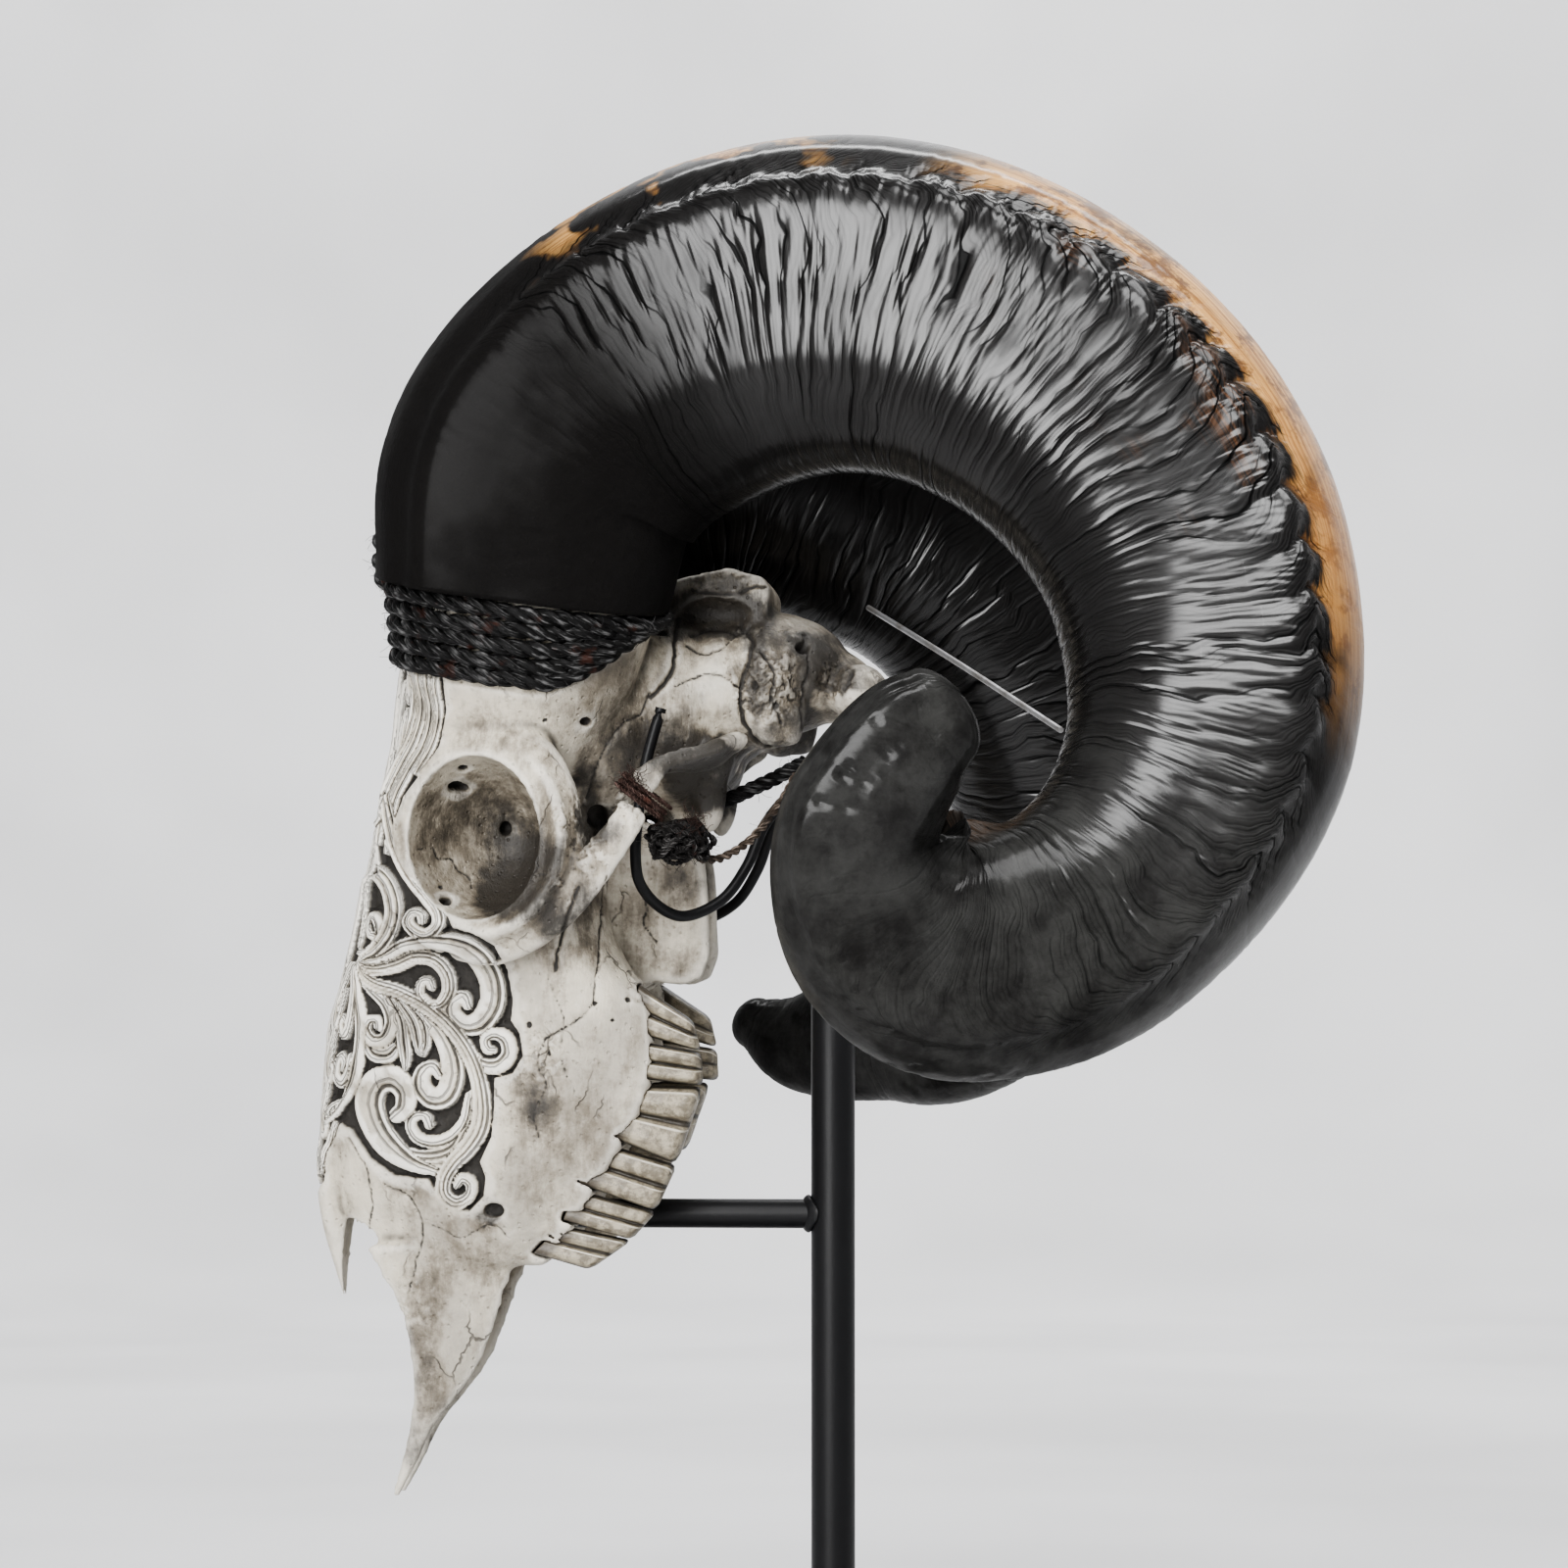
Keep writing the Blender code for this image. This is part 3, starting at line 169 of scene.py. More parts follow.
# Face, cut level: height, front, back, half widths at the nose, the cheek and the teeth
FACE_LEVELS = [
    (0.1465, -0.127, -0.078, 0.0105, 0.0185, 0.0195), (0.15, -0.129, -0.0735, 0.012, 0.0215, 0.0215),
    (0.158, -0.1335, -0.0675, 0.0135, 0.026, 0.0245), (0.1715, -0.142, -0.0593, 0.015, 0.032, 0.03),
    (0.185, -0.1419, -0.051, 0.017, 0.036, 0.033), (0.1983, -0.141, -0.046, 0.019, 0.039, 0.035),
    (0.2116, -0.1395, -0.046, 0.021, 0.041, 0.035), (0.221, -0.1367, -0.048, 0.023, 0.042, 0.0335),
    (0.23, -0.1343, -0.0545, 0.025, 0.043, 0.031), (0.242, -0.1311, -0.059, 0.029, 0.046, 0.03),
    (0.252, -0.129, -0.06, 0.033, 0.049, 0.029),
]
# Half outline of a face level: share of the way from nose to cheek or an inset from the teeth
FACE_OUTLINE = [
    ("nose", 0.6, 0.018), ("nose", 0.95, 0.085), ("side", 0.35, 0.24), ("side", 0.75, 0.48), ("side", 1.0, 0.72),
    ("side", 0.9, 0.88), ("teeth", -0.001, 0.985), ("teeth", 0.006, 1.0), ("teeth", 0.012, 0.97),
    ("teeth", 0.015, 0.9),
]
PALATE_DEPTH = 0.86

# Forehead and orbits, cut level: height, front, back, half widths at front, middle and back
BROW_LEVELS = [
    (0.238, -0.132, -0.062, 0.024, 0.044, 0.029), (0.25, -0.1294, -0.063, 0.03, 0.049, 0.03),
    (0.264, -0.1264, -0.0635, 0.035, 0.0515, 0.031), (0.278, -0.1236, -0.063, 0.038, 0.0515, 0.031),
    (0.29, -0.1212, -0.06, 0.04, 0.0495, 0.031), (0.302, -0.12, -0.056, 0.04, 0.0455, 0.031),
    (0.314, -0.118, -0.05, 0.037, 0.041, 0.03), (0.324, -0.114, -0.048, 0.03, 0.035, 0.026),
]
# Half outline of a brow level: share from front to middle or middle to back, share of the depth
BROW_OUTLINE = [
    ("front", 0.5, 0.025), ("front", 0.92, 0.11), ("middle", 0.45, 0.22), ("middle", 0.96, 0.42),
    ("middle", 1.0, 0.58), ("back", 0.45, 0.8), ("back", 0.85, 0.94), ("back", 1.0, 0.99),
]

NOSE_BONE_SIDES = 16
BOX_POWER = 2.6  # 2 is an oval, more is a rounder box
# Nose bones past the nose opening: height, front, back, half width
NOSE_BONE_LEVELS = [
    (0.1362, -0.1352, -0.1322, 0.0032), (0.147, -0.1384, -0.1322, 0.006), (0.157, -0.1412, -0.133, 0.009),
    (0.17, -0.1425, -0.1335, 0.013), (0.178, -0.1423, -0.132, 0.015),
]
# Blades of the upper jaw's front end: height, front, back, outer face, thickness
JAW_BLADE_LEVELS = [
    (0.0824, -0.1212, -0.1188, 0.007, 0.0026), (0.092, -0.1184, -0.1134, 0.0085, 0.0036),
    (0.101, -0.1162, -0.1092, 0.0095, 0.0038), (0.11, -0.1152, -0.102, 0.0108, 0.004),
    (0.12, -0.1155, -0.095, 0.0126, 0.0042), (0.133, -0.1179, -0.09, 0.0148, 0.0044),
    (0.143, -0.123, -0.0865, 0.017, 0.005), (0.152, -0.128, -0.082, 0.019, 0.006),
]

# Orbit: middle of its rim, rim radii along and up, and how far the rim's back stands out
ORBIT_CENTRE = (0.05, -0.091, 0.2617)
ORBIT_RIM = (0.0226, 0.0252)
ORBIT_SKEW = 0.008
ORBIT_RIM_RINGS = 36
ORBIT_RIM_SIDES = 8
ORBIT_RIM_THICKNESS = (0.0017, 0.0032)  # half, at the front and at the back
ORBIT_RIM_OFFSET = 0.15  # how far it lies outside its middle line, as a share of its thickness
ORBIT_RIM_STRETCH = 1.7  # its width across the skull over its width in the rim's plane
ORBIT_HOLLOW = (0.034, 0.0196, 0.0221)
ORBIT_HOLLOW_SHIFT = (0.008, -0.0028, 0.0)
ORBIT_HOLLOW_TURN = math.radians(-19.5)  # the socket looks outwards and forwards
ORBIT_SURROUND = ((0.0458, -0.092, 0.2625), (0.0098, 0.0315, 0.0345))  # low dome that the rim rises from

# Round masses of the back of the skull: centre, radii, and whether each side has one
MASSES = [
    ((0.0, -0.05, 0.301), (0.035, 0.0275, 0.033), False), ((0.0, -0.078, 0.3), (0.034, 0.044, 0.027), False),
    ((0.016, -0.064, 0.296), (0.025, 0.021, 0.03), True), ((0.01, -0.042, 0.296), (0.024, 0.02, 0.026), True),
    ((0.012, -0.029, 0.303), (0.02, 0.0155, 0.019), True), ((0.0, -0.018, 0.308), (0.031, 0.024, 0.0175), False),
    ((0.0, -0.003, 0.305), (0.019, 0.015, 0.0105), False), ((0.015, 0.008, 0.302), (0.0085, 0.0085, 0.008), True),
    ((0.0215, -0.0165, 0.303), (0.0095, 0.0092, 0.017), True),
    ((0.018, -0.0335, 0.285), (0.008, 0.008, 0.01), True),
    ((0.017, -0.0325, 0.277), (0.0048, 0.005, 0.0135), True),
]
# Slab of bone that carries the neck muscles, in side view, and its half width
NUCHAL_SLAB = [
    (-0.0425, 0.325), (-0.043, 0.3318), (-0.0412, 0.3332), (-0.0275, 0.3362), (-0.0178, 0.3336), (-0.0158, 0.3305),
    (-0.0163, 0.3215), (-0.018, 0.312), (-0.04, 0.312), (-0.0415, 0.32),
]
NUCHAL_HALF_WIDTH = 0.0215
# Bars of bone: route, radii across and along at each point
CHEEK_BAR = [
    ((0.04, -0.101, 0.235), (0.005, 0.005)), ((0.048, -0.087, 0.2335), (0.0046, 0.006)),
    ((0.055, -0.072, 0.241), (0.0034, 0.0064)), ((0.0597, -0.06, 0.253), (0.0024, 0.006)),
    ((0.0612, -0.052, 0.263), (0.0021, 0.0048)), ((0.061, -0.0478, 0.2695), (0.002, 0.0046)),
]
ARCH_SHELL = [
    ((0.0608, -0.0472, 0.274), (0.0016, 0.0044)), ((0.0598, -0.0445, 0.2775), (0.0015, 0.0044)),
    ((0.057, -0.0405, 0.2815), (0.0014, 0.003)), ((0.052, -0.0355, 0.2842), (0.0014, 0.002)),
    ((0.044, -0.0305, 0.2858), (0.0018, 0.0018)), ((0.031, -0.024, 0.288), (0.005, 0.003)),
]
# Thin roof of the jaw joint, which runs inwards from the arch: route, radii across and along
JOINT_ROOF = [
    ((0.054, -0.04, 0.28), (0.005, 0.0014)), ((0.048, -0.036, 0.2815), (0.007, 0.0016)),
    ((0.04, -0.032, 0.283), (0.008, 0.002)), ((0.03, -0.029, 0.285), (0.006, 0.0036)),
]
EAR_SPUR = [
    ((0.0235, -0.011, 0.298), (0.005, 0.006)), ((0.0225, -0.0105, 0.2905), (0.0032, 0.0042)),
    ((0.0215, -0.01, 0.2875), (0.0022, 0.0026)),
]
SKULL_FLOOR = [
    ((0.0, 0.004, 0.305), (0.013, 0.007)), ((0.0, -0.012, 0.302), (0.0125, 0.007)),
    ((0.0, -0.024, 0.298), (0.012, 0.007)), ((0.0, -0.033, 0.286), (0.012, 0.007)),
    ((0.0, -0.0385, 0.274), (0.012, 0.007)), ((0.0, -0.042, 0.264), (0.012, 0.007)),
    ((0.0, -0.046, 0.252), (0.0125, 0.007)),
]
# Thin plates behind the palate, in side view
PALATE_PLATE = [
    (-0.062, 0.27), (-0.036, 0.264), (-0.0338, 0.254), (-0.0332, 0.242), (-0.0326, 0.231), (-0.035, 0.2245),
    (-0.04, 0.2225), (-0.048, 0.2235), (-0.058, 0.217), (-0.07, 0.22),
]
PALATE_PLATE_FACES = (0.0105, 0.015)  # inner and outer face
NOSE_OPENING = ((0.0, -0.1235, 0.15), (0.0135, 0.0125, 0.037))
NECK_HOLE = ((0.0, 0.013, 0.299), (0.0095, 0.012, 0.0075))
NUCHAL_HOLLOW = ((0.028, -0.0305, 0.3232), (0.0115, 0.0125, 0.006))
CHEEK_HOLE = ((0.032, -0.0893, 0.1612), (0.006, 0.0034, 0.0034))

# Ties
ROPE_CROSSING_ROUTE = [
    (0.015, -0.118, 0.34), (0.009, -0.1218, 0.342), (0.0, -0.1232, 0.3435), (-0.009, -0.1218, 0.342),
    (-0.015, -0.118, 0.34),
]
ROPE_CROSSING_RADII = (0.01, 0.0052)
ARCH_STRING_CENTRE = (0.0611, -0.0459, 0.2722)
ARCH_STRING_DIRECTION = (0.0, 0.62, 0.78)
ARCH_STRING_RADIUS = (0.005, 0.0068)
ARCH_STRING_WIDTH = 0.0034
KNOT_CENTRE = (0.052, -0.0375, 0.261)
KNOT_RADII = (0.006, 0.0085, 0.0055)
BROWN_CORD_ROUTE = [
    (0.0478, -0.0325, 0.256), (0.0415, -0.0265, 0.2566), (0.033, -0.019, 0.2625), (0.025, -0.0125, 0.272),
    (0.018, -0.0085, 0.28),
]
BLACK_CORD_ROUTE = [
    (0.0095, -0.03, 0.2725), (0.0095, -0.021, 0.2765), (0.009, -0.013, 0.2803), (0.008, -0.0068, 0.2838),
]
WIRE_RADIUS = 0.0008
WIRE_BOW = 0.0004  # how far its middle is raised
WIRE_ENDS = ((-0.03, 0.008, 0.329), (0.064, 0.064, 0.289))

# Side view of the camera
VIEW_MIDDLE = (0.0, -0.0135, 0.278)
VIEW_DISTANCE = 1.3
VIEW_TURN = math.radians(4.5)
VIEW_RISE = math.radians(-2.5)
PLAN_STEP = 0.00027
PLAN_MIDDLE = 800

# Bone
COARSE_GRAIN = 0.0012
SKULL_FACES = 194000
CAVITY_ROUNDS = 14
CAVITY_SCALE = 0.0006
OPEN_RAYS = 28
OPEN_EVERY = 7  # points between the ones whose free directions are counted
OPEN_REACH = 0.024
LATTICE_SIZE = 32  # random numbers along each side of the noise's cube
LINE_SPACING = 1.5  # between the samples of a line of the plan
LINE_REACH = 30  # how far from a line its distance is worked out
FAR = 1e9
POINTS_AT_ONCE = 4000
RELIEF_FORMS = [(0.00022, 0.012, 3), (0.00006, 0.0025, 7)]  # height, size of the forms, seed
WARP_SIZE = 0.0022
TONE_WANDER = 9.0
ROUGH_SIZE = 0.0019
ROUGH_HEIGHT = 0.0009
PIT_DEPTH = 0.0008
RAY_START = 0.0006  # how far off the surface the free directions start
SEAM_WANDER = 2.2
CARVED_DEPTH = 0.0026
CARVED_EDGE = 0.55  # share of the depth at the rounded edge of a leaf
CARVED_BACK = -0.08
CARVED_LEAF_SHARE = 1.14  # the leaves' width against the widths of the table
NO_LEAF = 2.0  # place across a leaf where there is none
CARVED_GROOVE_WIDTH = 0.18  # share of the leaf's half width
CARVED_GROOVE_DEPTH = 0.28  # share of the carving's depth
# Places across a leaf of its long grooves, for each kind of leaf
CARVED_GROOVES = ((), (-0.42, 0.42), (0.0,), (-0.6, -0.1, 0.42), (0.5,), (-0.5,))
# Outline of the carved field in the side plan
CARVED_FIELD = [
    (230, 600), (455, 600), (450, 690), (454, 725), (447, 760), (430, 785), (410, 812), (400, 840), (402, 868),
    (414, 890), (430, 905), (450, 922), (460, 945), (480, 953), (503, 966), (516, 990), (522, 1020), (520, 1042),
    (529, 1055), (532, 1078), (522, 1095), (503, 1100), (503, 1130), (500, 1160), (488, 1186), (494, 1202),
    (492, 1222), (478, 1236), (456, 1234), (444, 1216), (436, 1204), (400, 1200), (376, 1182), (356, 1152),
    (342, 1146), (330, 1172), (320, 1205), (300, 1215), (230, 1215),
]
# Middle of the forehead and nose in the plan: row, place, reach of the leaves on each side
FOREHEAD_MIDDLE = [
    (650, 285, 14), (700, 262, 32), (780, 254, 46), (860, 255, 46), (950, 258, 38), (1050, 257, 28),
    (1160, 263, 16), (1205, 272, 14),
]
FOREHEAD_PAIRS = (704, 768, 846, 924, 994, 1054, 1102, 1140, 1170, 1197)
# One leaf of a pair: shares of its reach outwards and down, and half width at full reach
FOREHEAD_LEAF = [
    (0.05, 0.75, 4), (0.35, 0.55, 8), (0.72, 0.2, 9), (0.88, -0.2, 8.5), (0.72, -0.55, 7.5), (0.42, -0.62, 7),
    (0.24, -0.38, 6), (0.38, -0.16, 5), (0.52, -0.24, 4.5),
]
# Carved leaves and scrolls: level above the others, kind of groove, then plan place and half width
CARVED_STEMS = [
    # strands over the forehead
    (0, 2, [(426, 600, 5), (418, 650, 5), (416, 682, 4.5), (421, 715, 4.5), (415, 745, 4.5), (400, 775, 4.5),
        (388, 800, 4), (378, 830, 3.5), (371, 860, 3)]),
    (0, 2, [(436, 600, 5), (428, 650, 5), (425, 690, 4.5), (430, 722, 4.5), (423, 752, 4.5), (408, 782, 4.5),
        (396, 808, 4), (388, 835, 3.5), (384, 860, 3)]),
    (0, 2, [(446, 620, 5), (437, 660, 4.5), (434, 695, 4.5), (439, 728, 4.5), (432, 758, 4.5), (415, 788, 4.5),
        (402, 815, 4.5), (396, 845, 4), (394, 870, 3)]),
    (0, 2, [(446, 680, 4), (443, 700, 4), (447, 730, 4), (440, 760, 4), (424, 788, 3.5)]),
    (0, 1, [(404, 640, 7), (402, 670, 8), (405, 700, 7), (408, 716, 3)]),
    (0, 1, [(408, 724, 3), (401, 742, 8), (399, 765, 8), (390, 786, 5), (383, 800, 3)]),
    (0, 1, [(384, 700, 7), (378, 730, 9), (380, 760, 6)]), (0, 1, [(372, 770, 5), (366, 800, 8), (358, 830, 6)]),
    # eyelet and twisted leaf before the orbit
    (0, 2, [(386, 838, 4), (378, 852, 6), (377, 872, 6), (382, 884, 3)]),
    (1, 1, [(392, 815, 5), (396, 838, 6.5), (402, 862, 7.5), (412, 884, 8), (424, 902, 8), (436, 915, 9),
        (446, 932, 7.5), (444, 947, 6.5), (432, 955, 6), (420, 950, 5.5), (414, 941, 5), (419, 932, 4.5),
        (428, 934, 4.5), (429, 941, 4)]),
    # leaf arch and scroll inside it
    (1, 1, [(376, 888, 6), (386, 893, 8), (396, 908, 8.5), (400, 930, 8.5), (395, 952, 8.5), (381, 970, 7.5),
        (366, 978, 5), (356, 982, 4)]),
    (0, 5, [(355, 972, 3), (368, 972, 4.5), (380, 966, 5), (386, 952, 5), (383, 938, 4.5), (376, 935, 4),
        (371, 943, 4), (375, 953, 4), (379, 955, 3.5)]),
    (0, 2, [(366, 895, 4), (361, 920, 5), (360, 945, 5), (356, 965, 4)]),
    # lower leaf to scroll B
    (2, 3, [(360, 985, 3.5), (380, 990, 6), (402, 986, 7), (422, 978, 7), (441, 980, 7), (454, 993, 7),
        (457, 1010, 7), (449, 1024, 6), (437, 1025, 5.5), (427, 1014, 5), (429, 1003, 4.5), (436, 1001, 4),
        (439, 1008, 4)]),
    # top leaf to the broad scroll beside the orbit
    (1, 5, [(362, 983, 3), (388, 978, 5), (410, 966, 7), (436, 962, 7), (465, 966, 9), (487, 978, 11),
        (500, 1000, 12), (501, 1024, 12.5), (489, 1043, 11.5), (473, 1046, 10), (461, 1035, 9), (463, 1021, 7),
        (472, 1017, 5.5), (476, 1026, 5)]),
    # main stem
    (2, 3, [(357, 985, 3), (378, 1003, 6), (405, 1012, 6.5), (432, 1026, 7), (456, 1046, 7), (474, 1070, 7.5),
        (486, 1098, 8), (491, 1128, 9), (488, 1152, 9.5), (476, 1172, 9), (461, 1188, 8), (452, 1204, 7.5),
        (452, 1220, 7), (464, 1229, 6.5), (477, 1223, 6), (480, 1210, 5.5), (471, 1203, 5), (465, 1210, 4.5)]),
    # scroll C
    (1, 5, [(467, 1056, 4), (478, 1074, 6), (491, 1087, 7), (508, 1088, 8), (519, 1076, 8), (516, 1061, 7.5),
        (504, 1055, 6), (494, 1061, 5), (496, 1071, 5), (502, 1072, 4)]),
    # scroll E
    (1, 5, [(434, 1040, 4), (448, 1055, 8), (458, 1076, 10), (461, 1098, 11), (454, 1117, 11.5),
        (440, 1121, 10.5), (429, 1109, 9.5), (431, 1094, 8), (441, 1089, 6), (447, 1097, 5)]),
    # bulb scroll F with its broad tail
    (1, 4, [(446, 1197, 4), (420, 1188, 8), (398, 1172, 12), (382, 1150, 13), (375, 1126, 13.5),
        (382, 1106, 13.5), (399, 1101, 12.5), (412, 1113, 11), (412, 1130, 9.5), (404, 1138, 8)]),
    # scroll G
    (0, 5, [(478, 1118, 4), (473, 1143, 5.5), (460, 1160, 6.5), (442, 1166, 6.5), (425, 1161, 6),
        (418, 1148, 5.5), (424, 1139, 5), (434, 1140, 4.5), (437, 1148, 4.5)]),
    (0, 3, [(400, 1166, 4), (416, 1180, 8), (440, 1184, 10), (462, 1176, 9), (474, 1156, 7)]),
    # scroll H and the leaf fingers under the stem
    (1, 4, [(362, 993, 3), (377, 1008, 6), (393, 1024, 7), (399, 1043, 7.5), (392, 1060, 7), (379, 1062, 6.5),
        (371, 1051, 6), (375, 1041, 5), (383, 1041, 4.5), (385, 1049, 4)]),
    (0, 2, [(372, 1060, 3), (380, 1075, 7), (394, 1077, 8), (404, 1068, 5)]),
    (1, 2, [(396, 1018, 4), (408, 1040, 6), (411, 1062, 7), (413, 1078, 6), (413, 1091, 2.5)]),
    (2, 2, [(408, 1024, 4), (420, 1042, 5.5), (425, 1060, 5.5), (427, 1075, 3)]),
    (1, 2, [(420, 1030, 4), (431, 1044, 5.5), (434, 1062, 5.5), (431, 1077, 3)]),
    # leaves along the edge of the nose
    (2, 4, [(352, 988, 3), (360, 1010, 5), (366, 1035, 5.5), (366, 1062, 5.5), (363, 1088, 6), (357, 1110, 6),
        (344, 1127, 5), (330, 1138, 4), (312, 1144, 4)]),
    (1, 5, [(347, 990, 4), (351, 1012, 5.5), (352, 1034, 6.5), (348, 1052, 6), (340, 1056, 5), (334, 1047, 4.5),
        (337, 1038, 4), (342, 1041, 3.5)]),
    (1, 5, [(357, 1078, 4), (352, 1096, 5.5), (343, 1104, 6.5), (333, 1099, 6.5), (332, 1086, 6), (340, 1078, 5),
        (347, 1084, 4.5), (344, 1091, 4)]),
    (0, 2, [(338, 1126, 4), (322, 1134, 6), (312, 1150, 6)]),
    (0, 1, [(332, 1148, 4), (327, 1162, 7), (322, 1180, 6), (316, 1196, 4)]),
    # leaves round the front of the nose
    (1, 5, [(340, 985, 4), (326, 1000, 6), (315, 1022, 7), (316, 1042, 6.5), (325, 1046, 5), (328, 1036, 4),
        (322, 1030, 4)]),
    (1, 5, [(335, 1010, 3), (320, 1056, 6), (308, 1080, 7), (310, 1098, 6.5), (320, 1100, 5), (322, 1090, 4),
        (315, 1088, 4)]),
    (1, 5, [(322, 1062, 3), (312, 1112, 6), (300, 1136, 7), (303, 1154, 6), (312, 1155, 5), (312, 1146, 4)]),
    (0, 1, [(300, 990, 7), (296, 1030, 8), (292, 1080, 8), (290, 1130, 7), (290, 1190, 5)]),
    (1, 2, [(350, 870, 4), (340, 900, 8), (332, 930, 9), (326, 960, 7), (322, 985, 4)]),
    (0, 1, [(318, 860, 7), (312, 900, 9), (306, 940, 9), (302, 980, 6)]),
    (0, 1, [(300, 620, 8), (306, 680, 10), (310, 740, 10), (314, 800, 9), (318, 850, 6)]),
    (1, 2, [(340, 640, 5), (346, 690, 8), (348, 740, 8), (344, 790, 7), (336, 830, 5)]),
]
# Seams and cracks of the bone: depth, width in the plan, then their line in the plan
SEAMS = [
    (0.0006, 1.2, [(619, 893, 1), (614, 930, 1), (612, 965, 1), (609, 994, 1), (603, 1026, 1), (585, 1045, 1),
        (555, 1060, 1)]),
    (0.0012, 2.2, [(693, 632, 1), (689, 655, 1), (688, 680, 1), (676, 700, 1), (664, 712, 1)]),
    (0.0012, 2.0, [(757, 640, 1), (768, 655, 1), (762, 680, 1), (756, 705, 1), (758, 735, 1), (772, 757, 1),
        (795, 768, 1)]),
    (0.0009, 1.6, [(775, 662, 1), (790, 688, 1), (786, 712, 1), (797, 738, 1)]),
    (0.0009, 1.8, [(705, 602, 1), (728, 606, 1), (750, 606, 1), (768, 600, 1), (782, 598, 1)]),
    (0.001, 1.6, [(590, 905, 1), (582, 930, 1), (572, 960, 1), (566, 990, 1)]),
    (0.0006, 1.3, [(650, 905, 1), (660, 925, 1), (657, 945, 1), (670, 962, 1)]),
    (0.0006, 1.3, [(663, 706, 1), (654, 728, 1), (636, 739, 1), (625, 752, 1), (614, 770, 1), (607, 790, 1),
        (598, 815, 1)]),
    (0.0005, 1.0, [(425, 867, 1), (440, 865, 1), (448, 876, 1), (460, 876, 1), (466, 886, 1), (476, 893, 1),
        (482, 905, 1)]),
    (0.0005, 1.1, [(555, 1060, 1), (548, 1085, 1), (556, 1110, 1), (545, 1135, 1), (549, 1160, 1)]),
    (0.0005, 1.2, [(700, 660, 1), (722, 668, 1), (745, 655, 1), (752, 640, 1)]),
    (0.0008, 1.8, [(705, 648, 1), (728, 642, 1), (752, 646, 1), (765, 640, 1)]),
    (0.0007, 1.6, [(822, 648, 1), (826, 680, 1), (818, 712, 1), (820, 745, 1)]),
    (0.0006, 1.2, [(690, 700, 1), (712, 690, 1), (738, 690, 1), (752, 700, 1)]),
    (0.0004, 0.9, [(560, 1000, 1), (575, 1040, 1), (572, 1080, 1), (590, 1120, 1)]),
    (0.0004, 0.9, [(440, 1250, 1), (470, 1262, 1), (500, 1250, 1), (520, 1262, 1)]),
    (0.0005, 1.1, [(392, 1208, 1), (420, 1225, 1), (432, 1255, 1), (424, 1290, 1), (418, 1320, 1)]),
    (0.0005, 1.0, [(356, 1160, 1), (372, 1190, 1), (380, 1225, 1), (376, 1260, 1)]),
    (0.0012, 2.4, [(861, 703, 1), (866, 697, 1), (869, 688, 1)]),
]
# Small holes: plan place, half widths, depth
SMALL_HOLES = [
    (466, 804, 8, 6, 0.004), (473, 785, 5, 3.5, 0.0026), (511, 846, 8, 7, 0.0042), (456, 918, 7, 5, 0.0036),
    (598, 737, 6, 5, 0.0018), (820, 660, 8, 7, 0.003), (641, 1020, 3, 3, 0.0012), (607, 1024, 2.5, 2.5, 0.001),
    (625, 1041, 2.5, 2, 0.001), (556, 735, 2.2, 2, 0.0008), (450, 905, 2.5, 2, 0.0008), (503, 1236, 11, 8, 0.002),
    (540, 1046, 3, 4, 0.0007), (560, 1075, 2, 3, 0.0006), (770, 700, 4, 5, 0.0012), (793, 720, 3, 4, 0.0012),
    (610, 834, 10, 12, 0.003),
]
# Patches of rough, pitted bone: plan place, radius, strength
ROUGH_SPOTS = [
    (785, 700, 42, 0.9), (852, 694, 22, 0.8), (550, 1080, 34, 0.45), (600, 870, 26, 0.6), (645, 820, 22, 0.8),
    (735, 590, 34, 0.35), (585, 830, 24, 0.5), (430, 1330, 30, 0.35), (655, 1010, 20, 0.3), (560, 900, 18, 0.5),
]

